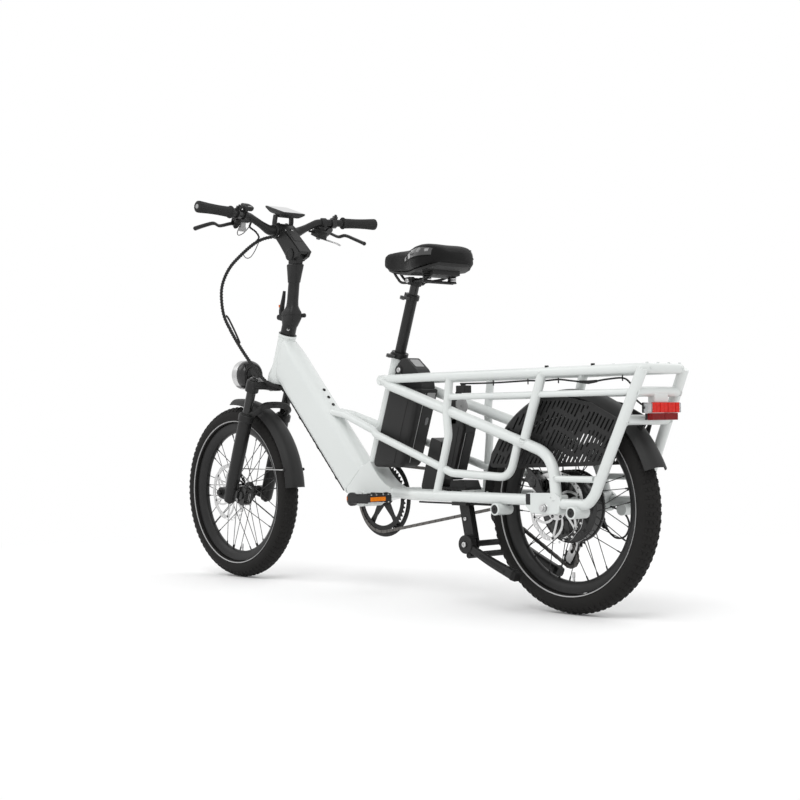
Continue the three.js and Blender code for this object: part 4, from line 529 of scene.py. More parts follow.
def copiesAroundAxle():  # the base is copied round a line along y
    graph, wires = newTree("copiesAroundAxle", {"Count": "NodeSocketInt", "Hub": "NodeSocketVector",
                                                "Material": "NodeSocketMaterial"})
    row = graph.node("GeometryNodeMeshLine", {}, {"Count": wires["Count"], "Start Location": wires["Hub"],
                                                  "Offset": (0, 0, 0)})
    step = graph.node("ShaderNodeMath", {"operation": "DIVIDE"}, {0: 2 * pi, 1: wires["Count"]})
    turn = graph.node("GeometryNodeInputIndex") * step
    turned = graph.node("ShaderNodeCombineXYZ", {}, {"Y": turn})
    spun = graph.node("FunctionNodeEulerToRotation", {}, {0: turned})
    copies = graph.node("GeometryNodeInstanceOnPoints", {}, {"Points": row, "Instance": wires["Geometry"],
                                                             "Rotation": spun})
    return closeTree(graph, wires, copies)


def copiesOnPoints():  # the Copied object is set on each point of the base, by the point's own aim, ahead and size
    graph, wires = newTree("copiesOnPoints", {"Copied": "NodeSocketObject", "Material": "NodeSocketMaterial"})
    named = {}
    for key in ("aim", "ahead"):
        named[key] = graph.node("GeometryNodeInputNamedAttribute", {"data_type": "FLOAT_VECTOR"}, {"Name": key})
    size = graph.node("GeometryNodeInputNamedAttribute", {"data_type": "FLOAT_VECTOR"}, {"Name": "size"})
    stood = graph.node("FunctionNodeAlignRotationToVector", {"axis": "Z"}, {"Vector": named["aim"]})
    faced = graph.node("FunctionNodeAlignRotationToVector", {"axis": "X", "pivot_axis": "Z"},
                       {"Rotation": stood, "Vector": named["ahead"]})
    shape = graph.node("GeometryNodeObjectInfo", {}, {"Object": wires["Copied"]}, out=4)
    copies = graph.node("GeometryNodeInstanceOnPoints", {}, {"Points": wires["Geometry"], "Instance": shape,
                                                             "Rotation": faced, "Scale": size})
    return closeTree(graph, wires, copies)


aroundAxleTree, onPointsTree = copiesAroundAxle(), copiesOnPoints()


def grown(made, tree, look, **sizes):
    modifier = made.modifiers.new(tree.name, "NODES")
    modifier.node_group = tree
    sockets = {item.name: item.identifier for item in tree.interface.items_tree if item.in_out == "INPUT"}
    for key, value in {**sizes, "Material": look.material}.items():
        modifier[sockets[key]] = value
    seen = made.evaluated_get(bpy.context.evaluated_depsgraph_get())
    result = bpy.data.meshes.new_from_object(seen)
    result.name = made.name
    made.modifiers.clear()
    made.data = result
    result.shade_smooth()
    result.set_sharp_from_angle(angle=radians(32))
    return made


def aroundAxle(name, shells, count, hub, look, body, nodes=()):  # shells are drawn about the hub's own centre
    made = build(name, [([point - Vector((axleX / mm, 0, 0)) for point in points], faces) for points, faces in shells])
    centre = tuple(inFrame(hub))
    return fit(grown(made, aroundAxleTree, look, Count=count, Hub=centre), look, body, nodes)


def onPoints(name, shells, places, look, body, nodes=()):  # places hold a point, an aim, a direction ahead and a size
    copied = build("copied", [([point - Vector((axleX / mm, 0, 0)) for point in points], faces)
                              for points, faces in shells])
    base = bpy.data.meshes.new(name)
    base.from_pydata([inFrame(place[0]) for place in places], [], [])
    for key, index in (("aim", 1), ("ahead", 2), ("size", 3)):
        layer = base.attributes.new(key, "FLOAT_VECTOR", "POINT")
        for item, place in zip(layer.data, places):
            item.vector = Vector(place[index]) if index < 3 else Vector((place[3],) * 3)
    made = bpy.data.objects.new(name, base)
    bpy.context.scene.collection.objects.link(made)
    grown(made, onPointsTree, look, Copied=copied)
    bpy.data.objects.remove(copied)
    return fit(made, look, body, nodes)


# Camera, light and floor
cameraPlace = {"x": -3.169667, "y": 2.816761, "z": 0.479152, "yaw": -0.732767, "pitch": 0.0040973,
               "roll": -0.0125033, "lens": 68.515, "shift": 0.0185}


def makeCamera(values):
    camera = bpy.data.objects.new("camera", bpy.data.cameras.new("camera"))
    yaw, pitch, roll = values["yaw"], values["pitch"], values["roll"]
    ahead = Vector((cos(yaw) * cos(pitch), sin(yaw) * cos(pitch), sin(pitch)))
    level = ahead.cross(Vector((0, 0, 1))).normalized()
    upward = level.cross(ahead)
    right = level * cos(roll) + upward * sin(roll)
    top = upward * cos(roll) - level * sin(roll)
    camera.matrix_world = Matrix.LocRotScale(Vector((values["x"], values["y"], values["z"])),
                                             Matrix((right, top, -ahead)).transposed(), None)
    camera.data.lens, camera.data.shift_y = values["lens"], values["shift"]
    camera.data.sensor_width = 36
    bpy.context.scene.collection.objects.link(camera)
    bpy.context.scene.camera = camera


studio = {"sky": 0.24, "lamps": [((-2.4, 2.8, 4.4), 2.4, 72), ((2.8, 2.4, 3.8), 2.4, 26), ((0, -3.5, 3.2), 3.0, 16)],
          "floor": 0.9, "floorHalf": 30, "fadeFrom": 1.1, "fadeLong": 1.3}


def makeStudio(values):
    world = bpy.data.worlds.new("studio")
    bpy.context.scene.world = world
    world.use_nodes = True
    sky = Graph(world.node_tree)
    seen = Wire(sky, world.node_tree.nodes.new("ShaderNodeLightPath").outputs["Is Camera Ray"])
    seen = seen.maths("MAXIMUM", sky.node("ShaderNodeLightPath", out=5))
    behind = world.node_tree.nodes["Background"]
    sky.feed(behind.inputs["Strength"], seen * (1 - values["sky"]) + values["sky"])
    behind.inputs["Color"].default_value = (1, 1, 1, 1)
    for i, (place, size, power) in enumerate(values["lamps"]):
        lamp = bpy.data.objects.new(f"lamp{i}", bpy.data.lights.new(f"lamp{i}", "AREA"))
        lamp.data.size, lamp.data.energy = size, power
        lamp.location = place
        lamp.rotation_euler = (Vector((0, 0, 0.4)) - Vector(place)).to_track_quat("-Z", "Y").to_euler()
        bpy.context.scene.collection.objects.link(lamp)
    half = values["floorHalf"]
    mesh = bpy.data.meshes.new("floor")
    mesh.from_pydata([(-half, -half, 0), (half, -half, 0), (half, half, 0), (-half, half, 0)], [], [(0, 1, 2, 3)])
    floor = bpy.data.objects.new("floor", mesh)
    bpy.context.scene.collection.objects.link(floor)
    look = Look("paleFloor", "paint", Roughness=0.9)
    look.wear("Base Color", look.blend(look.noise(3), grey(values["floor"]), grey(values["floor"] + 0.02)))
    look.wear("Roughness", look.noise(4) * 0.05 + 0.88)
    away = look.node("ShaderNodeVectorMath", {"operation": "LENGTH"}, {0: look.place}, out=1)
    fade = ((away - values["fadeFrom"]) * (1 / values["fadeLong"])).maths("MAXIMUM", 0).maths("MINIMUM", 1)
    plain = look.node("ShaderNodeEmission", {}, {"Color": (1, 1, 1, 1), "Strength": 1.0})
    lit = Wire(look, look.shader.outputs[0])
    seen = look.node("ShaderNodeLightPath") * fade
    look.feed(look.tree.nodes["Material Output"].inputs["Surface"],
              look.node("ShaderNodeMixShader", {}, {0: seen, 1: lit, 2: plain}))
    mesh.materials.append(look.material)


makeCamera(cameraPlace)
makeStudio(studio)
bpy.context.scene.view_settings.view_transform = "Standard"
print("camera, light and floor made")

# The frame's lines
headLean, seatLean, columnLean = radians(20), radians(19.4), radians(8)
headUp, seatUp, columnUp = leaning(headLean), leaning(seatLean), leaning(columnLean)
headTop, headLong = Vector((1132, 0, 744)), 150
headFoot = shift(headTop, headUp, -headLong)
headAhead = Vector((headUp.z, 0, -headUp.x))
seatTop = Vector((627, 0, 669))
bracket = Vector((762, 0, 262))
seatAhead = perpendicular(seatUp, (1, 0, 0))[0]
seatFoot = shift(seatTop, seatUp, -126 / sin(seatLean))
downFoot, downTop = Vector((806, 0, 319)), Vector((1121, 0, 653))
downUp = (downTop - downFoot).normalized()
downFace = Vector((-downUp.z, 0, downUp.x))


def seatAt(distance):
    return shift(seatTop, seatUp, distance)


def downAt(distance, off, y=0):
    return shift(shift(downFoot, downUp, distance), downFace, off) + sideways(y)


# Frame tubes, with a bead of weld where each one ends on another
mainTube = {"depth": 121, "width": 62, "corner": 24, "headRadius": 26, "headFlare": 32, "flareLong": 24, "headBore": 15,
            "seatRadius": 20, "collarRadius": 24, "collarHigh": 16, "collarBore": 15.6, "shellRadius": 22,
            "shellHalf": 36.5, "yokeHalf": 30, "guideDrops": (18, 88), "guideRadius": 5.5, "guideLong": 13}


def yokeOutline():
    top = mix(bracket, seatTop, 0.26)
    middle = Vector((640 + (top.x - 640) * 0.55, 310))
    hollow = []
    for k in range(9):
        share = k / 8
        first = Vector((top.x, top.z)).lerp(middle, share)
        hollow.append(tuple(first.lerp(middle.lerp(Vector((640, 296)), share), share)))
    return [*hollow, (640, 268), (762, 242), (796, 242), (830, 282), (830, 333)]


def frontFrame(values):
    outline = roundRect(values["depth"], values["width"], values["corner"], 7)
    rings = [[downAt(along, off, y * narrow) for off, y in outline]
             for along, narrow in ((-6, 1), (430, 1), (459, 0.98))]
    last = []
    for off, y in outline:  # the end is cut along the head tube's axis
        edge = downAt(0, off, 0)
        edge = shift(edge, downUp, (headTop - edge).dot(headAhead) / downUp.dot(headAhead))
        over = max((edge - headTop).dot(headUp) + 6, 0)
        last.append(shift(edge, headUp, -over) + sideways(y * 0.72))
    body = loft([*rings, last])
    flare, thin, bore = values["headFlare"], values["headRadius"], values["headBore"]
    head = lathe([(bore, 0), (flare, 0), (flare, values["flareLong"] * 0.8), (thin + 1, values["flareLong"] * 1.9),
                  (thin, values["flareLong"] * 2.3), (thin, headLong - 9), (thin + 1.5, headLong - 8),
                  (thin + 1.5, headLong), (bore, headLong)], headFoot, headUp, 56, loop=True)
    seatTube = tube([seatFoot, seatAt(-2)], values["seatRadius"], sides=40)
    bore = values["collarBore"]
    collar = lathe([(bore, -values["collarHigh"]), (values["collarRadius"], -values["collarHigh"]),
                    (values["collarRadius"], 0), (bore, 0)], seatTop, seatUp, 48, loop=True)
    lugAt = shift(seatAt(-values["collarHigh"] / 2), (1, 0, 0), values["collarRadius"] + 2)
    lugs = [block(shift(lugAt, (0, side, 0), 4), (15, 5, values["collarHigh"]), seatAhead, seatUp) for side in (1, -1)]
    shell = disc(bracket, values["shellRadius"], -values["shellHalf"], values["shellHalf"])
    yoke = sidePlate(yokeOutline(), -values["yokeHalf"], values["yokeHalf"])
    guides = [lathe([(0, 0), (values["guideRadius"], 0), (values["guideRadius"], values["guideLong"] - 1.5),
                     (values["guideRadius"] - 1.5, values["guideLong"]), (2.5, values["guideLong"]), (2.5, 6), (0, 6)],
                    shift(shift(headTop, headUp, -drop), headAhead, values["headRadius"] - 1),
                    headAhead, 20)
              for drop in values["guideDrops"]]
    make("frontFrame", [body, yoke], paint, "frame", ["front_frame"], bevel=2.4)
    make("frontFrameRound", [head, seatTube, shell, *guides], paint, "frame", bevel=0.7)
    make("seatCollar", [collar, *lugs], black, "frame", bevel=1)
    across = (bracket + sideways(-9), bracket + sideways(9))
    bead = welding(across, values["shellRadius"], (seatAt(-200), seatAt(-400)), values["seatRadius"])
    make("frontWelds", [bead], paint, "frame")


frontFrame(mainTube)

rack = {"main": 14, "mid": 13, "post": 12, "thin": 8, "topZ": 592, "half": 76, "rearX": -284, "noseX": 660,
        "noseHalf": 34.6, "rail": 11.8, "railTop": 594, "stay": 10.6, "flareX": 606, "flareHalf": 56, "spreadX": 420,
        "railZ": 283, "lowHalf": 92, "midHalf": 82, "sideRailZ": 540, "lowSpreadX": 480, "crossX": 430}


def rackPaths(values):
    top, low, mid, half, wide = values["railTop"], values["railZ"], values["midHalf"], values["half"], values["lowHalf"]
    return {
        "topRail": ([(values["noseX"], values["noseHalf"], top), (values["flareX"], values["flareHalf"], top),
                     (values["spreadX"], half, top), (values["rearX"], half, top), (values["rearX"], -0.1, top)],
                    values["rail"], 30),
        "diagonal": ([(values["noseX"], values["noseHalf"], top), (values["flareX"], values["flareHalf"], 576),
                      (-8, mid, 392), (-30, wide, low)], values["main"], 90),
        "midStay": ([(905, 16, 508), (850, 16, 500), (703, 34.6, 454), (668, 56, 443), (340, mid, 343), (134, mid, 335),
                     (110, half, 424)], values["stay"], 45),
        "frontPost": ([(352, half, top), (366, half, 500), (359, half, 440), (391, wide, low)], values["stay"], 45),
        "sideRail": ([(366, half, values["sideRailZ"]), (-250, half, values["sideRailZ"])], values["thin"], 0),
        "midPost": ([(26, half, top), (82, mid, 432)], values["post"], 0),
        "rearPost": ([(values["rearX"], half, top), (-150, wide, 300), (-128, wide, 276), (-50, wide, 276)],
                     values["mid"], 45),
        "bridge": ([(-30, wide, 336), (-148, wide, 336)], values["thin"], 0),
        "lowRail": ([(639.7, 18, 282), (626, 18, 282), (values["lowSpreadX"], wide, low), (60, wide, low)],
                    values["main"], 45),
        "upperBar": ([(-263, -0.1, 540), (-263, half, 540)], values["post"], 0),
        "lowerBar": ([(-231, -0.1, 475), (-231, half, 475)], values["post"], 0),
        "middleBar": ([(values["crossX"], -0.1, low), (values["crossX"], wide, low)], values["post"], 0),
    }


def rackWelds(paths):
    ends = [("topRail", 2, "frontPost", 0), ("topRail", 2, "midPost", 0), ("diagonal", 1, "midPost", -1),
            ("lowRail", 2, "frontPost", -1), ("frontPost", 0, "sideRail", 0),
            ("rearPost", 0, "sideRail", -1), ("rearPost", 0, "upperBar", -1), ("rearPost", 0, "lowerBar", -1),
            ("diagonal", 2, "bridge", 0), ("rearPost", 0, "bridge", -1), ("lowRail", 2, "middleBar", -1),
            ("diagonal", 1, "midStay", -1)]
    for host, run, name, end in ends:
        path, radius = paths[name][:2]
        line = (path[1], path[0]) if end == 0 else (path[-2], path[-1])
        away = Vector(line[1]) - Vector(line[0])
        line = (Vector(line[1]) - away.normalized() * 60, line[1])
        yield welding((paths[host][0][run], paths[host][0][run + 1]), paths[host][1], line, radius, 1.8, 44)


def sideFrame(name, side, values):
    paths = rackPaths(values)
    turn = (lambda shell: shell) if side > 0 else mirrored
    shells = [tube(path, radius, bend, 28) for path, radius, bend in paths.values()]
    shells.append(lathe([(0, -14), (12.5, -14), (14, -12.5), (14, 12.5), (12.5, 14), (0, 14)],
                        (values["noseX"], values["noseHalf"], values["topZ"]), steps=36))
    shells.append(sidePlate(flatLoop([(-46, 252), (44, 252), (62, 268), (62, 300), (-34, 302), (-52, 290)], 9), 97, 104,
                            [circle(2.4, 12, -22, 290)]))
    reach, outer = pegs["radius"], pegs["outer"]
    peg = [(0, 66), (reach, 66), (reach, outer - 1), (reach - 1, outer), (11.5, outer), (11.5, outer - 6),
           (0, outer - 6)]
    shells += [lathe(peg, (x, 0, pegs["z"]), steps=36) for x in pegs["xs"]]
    shells += list(rackWelds(paths))
    shells.append(sidePlate(flatLoop(dropout["outline"], dropout["corner"]), dropout["inner"], dropout["outer"],
                            [circle(7.3, 24, 0, tyreRadius)]))
    make(f"{name}RackSide", [turn(shell) for shell in shells], paint, "frame", [f"{name}_side_frame"], bevel=0.9)
    plugs = [lathe([(0, 0), (11.3, 0), (11.3, 3.4), (10, 4.6), (3.4, 4.6), (3.4, 2.4), (0, 2.4)],
                   (x, side * (pegs["outer"] - 5), pegs["z"]), (0, side, 0), 32) for x in pegs["xs"]]
    plugs.append(block((53, side * 101, 285), (14, 8, 27)))
    make(f"{name}PegPlugs", plugs, plastic, "frame", bevel=0.6)
    end = [lathe([(0, 98), (11, 98), (11, 103.5), (9.6, 105), (7, 105), (7, 116), (6, 117), (0, 117)],
                 (0, 0, tyreRadius), steps=32)]
    make(f"{name}AxleEnd", [turn(shell) for shell in end], steel, "frame", bevel=0.4)


pegs = {"xs": (154, -97), "z": 257, "radius": 15, "outer": 119}
dropout = {"outline": [(-44, 250), (46, 250), (46, 297), (-44, 297)], "inner": 67, "outer": 99, "corner": 7}
for sideName, sideSign in sides.items():
    sideFrame(sideName, sideSign, rack)
print("frame made")

# Wheels
wheel = {"axleHalf": 112, "rimInner": 185, "rimHalf": 18.5, "flange": 214, "bed": 204, "spokes": 36, "spokeRadius": 1.1,
         "nippleRadius": 2.0, "nippleLong": 13, "tyreHalf": 31, "tyreMiddle": 234, "crown": 263.4,
         "stripeRadius": 219.7, "stripeWide": 3.0, "knobs": 84}
rotors = {"front": 46, "rear": 60, "radius": 90, "track": 73, "spider": 24, "bore": 19.4, "thick": 1.9,
          "arms": 6, "waves": 12}


def rimProfile(values):
    half, low, high, bed = values["rimHalf"], values["rimInner"], values["flange"], values["bed"]
    right = [(low, -4), (low + 3, -8.5), (low + 13, -half + 3), (high - 4, -half), (high, -half + 0.6),
             (high, -half + 2), (bed + 3, -half + 3), (bed, -half + 5)]
    return right + [(radius, -y) for radius, y in reversed(right)]


def tyreProfile(values):
    half, middle, crown = values["tyreHalf"], values["tyreMiddle"], values["crown"]
    over = []
    for k in range(21):
        angle = -0.62 + (pi + 1.24) * k / 20
        reach = middle + (crown - middle) * sin(angle) if sin(angle) > 0 else middle + half * sin(angle)
        over.append((reach, -half * cos(angle) * (1 if sin(angle) > 0 else 0.98)))
    return over


def makeTyre(name, hub, body, values, look):
    half, middle = values["tyreHalf"], values["tyreMiddle"]
    make(f"{name}Tyre", [lathe(tyreProfile(values), hub, steps=120, loop=True)], look, body, [f"{name}_tyre"], angle=50)
    bands = []
    for side in (1, -1):
        rise = values["stripeRadius"] - middle
        y = half * sqrt(1 - (rise / half) ** 2)
        lean = Vector((-rise, y)).normalized() * values["stripeWide"] / 2
        inner, outer = values["stripeRadius"] - lean.y, values["stripeRadius"] + lean.y
        bands.append(lathe([(inner, side * (y + lean.x - 0.3)), (inner, side * (y + lean.x - 0.4)),
                            (outer, side * (y + 1.9)), (outer, side * (y + 0.4))], hub, steps=120, loop=True))
    make(f"{name}SidewallStripe", bands, stripe, body)
    rows = [(0, 0.5), (0.34, -0.4), (-0.34, 0.4), (0.66, -0.15), (-0.66, 0.15), (0.95, 0), (-0.95, 0)]
    count = values["knobs"]
    places = []
    for lean, turn in rows:
        for i in range(count):
            angle = (i + (0.5 if lean else 0)) * 2 * pi / count
            out = polar(angle)
            normal = out * cos(lean) + Vector((0, sin(lean), 0))
            reach = middle + (values["crown"] - middle) * cos(lean)
            spot = hub + out * reach + Vector((0, half * sin(lean), 0))
            ahead = Vector((-sin(angle), 0, cos(angle))) * cos(turn) + sideways(1) * sin(turn)
            places.append((spot, normal, ahead, 1))
    tread = [lathe([(0, -1.5), (6.2, -1.5), (5.2, 1.3), (0, 1.3)], (0, 0, 0), (0, 0, 1), 4, ahead=(1, 1, 0))]
    onPoints(f"{name}Tread", [([Vector((p.x, p.y * 0.75, p.z)) for p in tread[0][0]], tread[0][1])], places, look, body)


def makeRim(name, hub, body, values, flangeRadius, flangeY, crossing, nodes):
    make(f"{name}Rim", [lathe(rimProfile(values), hub, steps=120, loop=True)], black, body, nodes, angle=40)
    shells = []
    for side in (1, -1):
        for lean in (1, -1):
            start = (side + lean + 1) * pi / values["spokes"]
            inner = start + lean * crossing
            foot = Vector(((flangeRadius - 3) * cos(inner), side * (flangeY + lean * 2),
                           (flangeRadius - 3) * sin(inner)))
            tip = Vector(((values["rimInner"] + 2) * cos(start), side * 1.5, (values["rimInner"] + 2) * sin(start)))
            run = (tip - foot).normalized()
            shells.append(tube([foot, tip], values["spokeRadius"], sides=6))
            shells.append(tube([shift(tip, run, -values["nippleLong"]), shift(tip, run, 3)],
                               values["nippleRadius"], sides=8))
    aroundAxle(f"{name}Spokes", shells, values["spokes"] // 4, hub, black, body)
    stem = lathe([(0, 0), (4, 0), (4, 12), (3.2, 13), (3.2, 34), (2.4, 36), (0, 36)],
                 hub + Vector((0, 0, 22 - values["rimInner"])), (0, 0, -1), 16)
    make(f"{name}Valve", [stem], steel, body)


def rotorOutline(values):
    waves = values["waves"]
    edge = []
    for i in range(waves * 8):
        angle = i * 2 * pi / (waves * 8)
        reach = values["radius"] - 1.4 + 1.4 * cos(waves * angle)
        edge.append((reach * cos(angle), reach * sin(angle)))
    return edge


def makeRotor(name, hub, body, y, values):
    look = rotorSteel(f"{name}RotorSteel", hub)
    holes = []
    waves = values["waves"]
    for i in range(waves * 3):
        angle = (i + 0.5) * 2 * pi / (waves * 3)
        reach = 81.5 + 3.4 * ((i % 3) - 1)
        holes.append(circle(2.9, 8, reach * cos(angle), reach * sin(angle)))
    holes.append([(x, -z) for x, z in circle(3 + values["track"], 72)])
    ring = plate(rotorOutline(values), values["thick"], (hub.x, y, hub.z), holes=holes)
    spider = plate(circle(values["spider"] + 8, 40), values["thick"] + 0.6, (hub.x, y, hub.z),
                   holes=[circle(values["bore"], 32)])
    make(f"{name}Rotor", [ring, spider], look, body, [f"{name}_rotor"], bevel=0.3)
    shells = []
    for inner, outer in ((-0.1, 0.72), (0.42, 0.72)):
        line = []
        for k in range(7):
            share = k / 6
            reach = values["spider"] + 4 + (values["track"] + 2 - values["spider"]) * share
            angle = inner + (outer - inner) * share ** (1.3 if inner < 0 else 0.6)
            line.append(Vector((reach * cos(angle), y, reach * sin(angle))))
        shells.append(sweep(line, [(-values["thick"] / 2, -3), (values["thick"] / 2, -3), (values["thick"] / 2, 3),
                                   (-values["thick"] / 2, 3)], up=(0, 0, 1)))
    aroundAxle(f"{name}RotorArms", shells, values["arms"], hub, look, body)
    bolts = [lathe([(0, -1), (4, -1), (4, 2), (3.4, 2.6), (1.8, 2.6), (1.8, 1.2), (0, 1.2)],
                   (values["spider"] + 2, y, 0), steps=12)]
    aroundAxle(f"{name}RotorBolts", bolts, values["arms"], hub, black, body)


def hubShell(right, left, radius, flange, flangeAt):
    half = [(flange - 6, -flangeAt - 4), (flange, -flangeAt - 3), (flange, -flangeAt + 3), (flange - 6, -flangeAt + 4),
            (radius, -flangeAt + 9)]
    return [(7, -right), (radius, -right), (radius, -flangeAt - 8), *half, *[(r, -y) for r, y in reversed(half)],
            (radius, flangeAt + 8), (radius, left), (7, left)]


def makeWheels(values):
    for name, hub, body, crossing, flange, flangeY in (("front", frontHub, "front_wheel_set", 0.8, 29, 30),
                                                        ("rear", rearHub, "rear_wheel_set", 0.2, 88, 13.5)):
        look = tyreRubber(f"{name}TyreRubber", hub)
        makeTyre(name, hub, body, values, look)
        makeRim(name, hub, body, values, flange, flangeY, crossing, [f"{name}_wheel"])
        makeRotor(name, hub, body, rotors[name], rotors)
    make("frontHub", [lathe(hubShell(48, 44.5, 17, 29, 30), frontHub, steps=56, loop=True)], black, "front_wheel_set",
         bevel=0.6)
    motor = [(8, -33), (19, -33), (19, -27), (60, -27), (64, -26), (78, -25), (84, -22), (88, -18),
             (90, -16), (90, -11), (87, -10), (87, 10), (90, 11), (90, 16), (88, 18), (84, 22), (78, 25), (64, 26),
             (60, 27), (26, 27), (24, 30), (19, 31), (19, 58.5), (8, 58.5)]
    make("rearMotor", [lathe(motor, rearHub, steps=96, loop=True)], gloss, "rear_wheel_set", bevel=0.5)
    ribs = [sweep([Vector((30, y, 0)), Vector((70, y, 0))], [(-1.6, -1.3), (1.6, -1.3), (1, 1.3),
                                                             (-1, 1.3)], up=(0, y, 0))
            for y in (27, -27)]
    aroundAxle("motorRibs", ribs, 18, rearHub, gloss, "rear_wheel_set")
    screws = [lathe([(0, 0), (3.6, 0), (3.6, 2.2), (3, 2.8), (1.6, 2.8), (1.6, 1.4), (0, 1.4)], (80, side * 22.5, 0),
                    (0, side, 0), 12) for side in (1, -1)]
    aroundAxle("motorScrews", screws, 8, rearHub, black, "rear_wheel_set")
    half = values["axleHalf"]
    ends = [lathe([(6, half - 5), (9.4, half - 5), (9.4, half - 1), (8.4, half), (0, half), (0, half - 2),
                   (6, half - 2)], rearHub,
                  (0, side, 0), 32) for side in (1, -1)]
    sleeves = [lathe([(7, 79), (8.8, 79), (8.8, half - 5.2), (7, half - 5.2)], rearHub, (0, side, 0), 32, loop=True)
               for side in (1, -1)]
    make("rearAxle", [disc(rearHub, 6.8, 3 - half, half - 3, 32), *ends], steel, "frame", ["rear_axle"], bevel=0.4)
    make("axleSleeves", sleeves, black, "frame", bevel=0.4)


makeWheels(wheel)
print("wheels made")

# Drive train
chainY, pitch = -45.2, 12.7
cogTeeth = [28, 24, 22, 20, 18, 16, 14]
jockeys = {"upper": Vector((22, 0, 184)), "lower": Vector((50, 0, 131)), "teeth": 11, "thick": 2.2}
idler = {"place": Vector((306, 0, 227)), "radius": 20}


def pitchRadius(teeth):
    return pitch / (2 * sin(pi / teeth))


chainWheels = [(rearHub, pitchRadius(22), 1), (bracket, pitchRadius(48), 1), (idler["place"], idler["radius"], -1),
               (jockeys["lower"], pitchRadius(11), 1), (jockeys["upper"], pitchRadius(11), -1)]


def chainLoop(wheels, steps=28):
    lines = []
    for i, (at, radius, turn) in enumerate(wheels):
        after, nextRadius, nextTurn = wheels[(i + 1) % len(wheels)]
        run = after - at
        reach = nextTurn * nextRadius - turn * radius
        lines.append(atan2(run.z, run.x) + asin(reach / run.length) + pi / 2)
    loop = []
    for i, (at, radius, turn) in enumerate(wheels):
        arriving, leaving = lines[i - 1], lines[i]
        swing = (turn * (arriving - leaving)) % (2 * pi)
        for k in range(steps + 1):
            angle = arriving - turn * swing * k / steps
            loop.append(at + polar(angle) * radius * turn)
    return loop


def pinsAlong(loop):
    lengths = [(loop[(i + 1) % len(loop)] - point).length for i, point in enumerate(loop)]
    count = 2 * round(sum(lengths) / pitch / 2)
    step = sum(lengths) / count
    pins, along, i = [], 0.0, 0
    for k in range(count):
        while along + lengths[i] < k * step:
            along += lengths[i]
            i += 1
        pins.append(loop[i].lerp(loop[(i + 1) % len(loop)], (k * step - along) / lengths[i]))
    return pins


chainPins = pinsAlong(chainLoop(chainWheels))


def makeChain():
    half = pitch / 2
    waist = [(x, z * (0.78 if abs(x) < 4 else 1)) for x, z in strapOutline((-half, 0, 4.1), (half, 0, 4.1), 6)]
    wide = [plate(waist, 0.9, (0, 0, side * 2.85), (1, 0, 0), (0, 1, 0)) for side in (1, -1)]
    wide += [lathe([(0, -3.35), (1.7, -3.35), (1.7, 3.35), (0, 3.35)], (x, 0, 0), (0, 0, 1), 8) for x in (-half, half)]
    narrow = [plate(waist, 0.9, (0, 0, side * 1.9), (1, 0, 0), (0, 1, 0)) for side in (1, -1)]
    narrow += [lathe([(0, -1.4), (3.8, -1.4), (3.8, 1.4), (0, 1.4)], (x, 0, 0), (0, 0, 1), 10) for x in (-half, half)]
    for name, shells, first in (("outerLinks", wide, 0), ("innerLinks", narrow, 1)):
        places = []
        for k in range(first, len(chainPins), 2):
            here, after = chainPins[k], chainPins[(k + 1) % len(chainPins)]
            places.append(((here + after) / 2 + sideways(chainY), (0, 1, 0), after - here, 1))
        onPoints(name, shells, places, chainMetal, "frame", ["chain"] if first == 0 else ())


def toothOutline(teeth, at=None, radius=None):
    middle = radius or pitchRadius(teeth)
    phase = 0.0
    if at is not None:
        pin = min(chainPins, key=lambda point: abs((point - at).length - middle) + abs(point.z - at.z) * 0.01)
        phase = atan2(pin.z - at.z, pin.x - at.x)
    profile = [(0, -3.9), (0.13, -3.3), (0.25, -1.4), (0.36, 1.6), (0.44, 2.9), (0.56, 2.9), (0.64, 1.6), (0.75, -1.4),
               (0.87, -3.3)]
    outline = []
    for i in range(teeth):
        for share, rise in profile:
            angle = phase + (i + share) * 2 * pi / teeth
            outline.append(((middle + rise) * cos(angle), (middle + rise) * sin(angle)))
    return outline


def makeSprockets():
    ringHole = circle(80, 72)
    make("chainring", [plate(toothOutline(48, bracket), 2, (bracket.x, chainY, bracket.z), holes=[ringHole])],
         black, "cranks", ["chainring"], bevel=0.3)
    cogs = []
    for i, teeth in enumerate(cogTeeth):
        reach = pitchRadius(teeth)
        holes = [circle(reach * 0.13, 12, reach * 0.66 * cos(k * pi / 3 + i), reach * 0.66 * sin(k * pi / 3 + i))
                 for k in range(6)] if reach > 40 else []
        cogs.append(plate(toothOutline(teeth), 1.9, (0, -36 - 4.6 * i, tyreRadius), holes=holes))
    cogs.append(lathe([(8, -33.4), (19, -33.4), (19, -66), (17, -67.5), (8, -67.5)], rearHub, steps=40, loop=True))
    make("freewheel", cogs, steel, "freewheel_set", ["freewheel"], bevel=0.25)
    for name, body in (("upper", "upper_jockey"), ("lower", "lower_jockey")):
        at = jockeys[name] + sideways(chainY)
        holes = [circle(2.6, 10, 11.5 * cos(k * 2 * pi / 5), 11.5 * sin(k * 2 * pi / 5)) for k in range(5)]
        gear = plate(toothOutline(jockeys["teeth"], jockeys[name]), jockeys["thick"], at,
                     holes=[*holes, circle(3.2, 16)])
        bush = lathe([(3.2, -3.6), (6.5, -3.6), (6.5, 3.6), (3.2, 3.6)], at, steps=24, loop=True)
        make(f"{name}Jockey", [gear, bush], plastic, body, [f"{name}_jockey_wheel"], bevel=0.3)
    at = idler["place"] + sideways(chainY)
    roller = [(4.3, -4), (18.5, -4), (18.5, -2.9), (15, -2.7), (15, 2.7), (18.5, 2.9), (18.5, 4), (4.3, 4)]
    make("chainRoller", [lathe(roller, at, steps=48, loop=True)], plastic, "idler", ["chain_idler"], bevel=0.3)


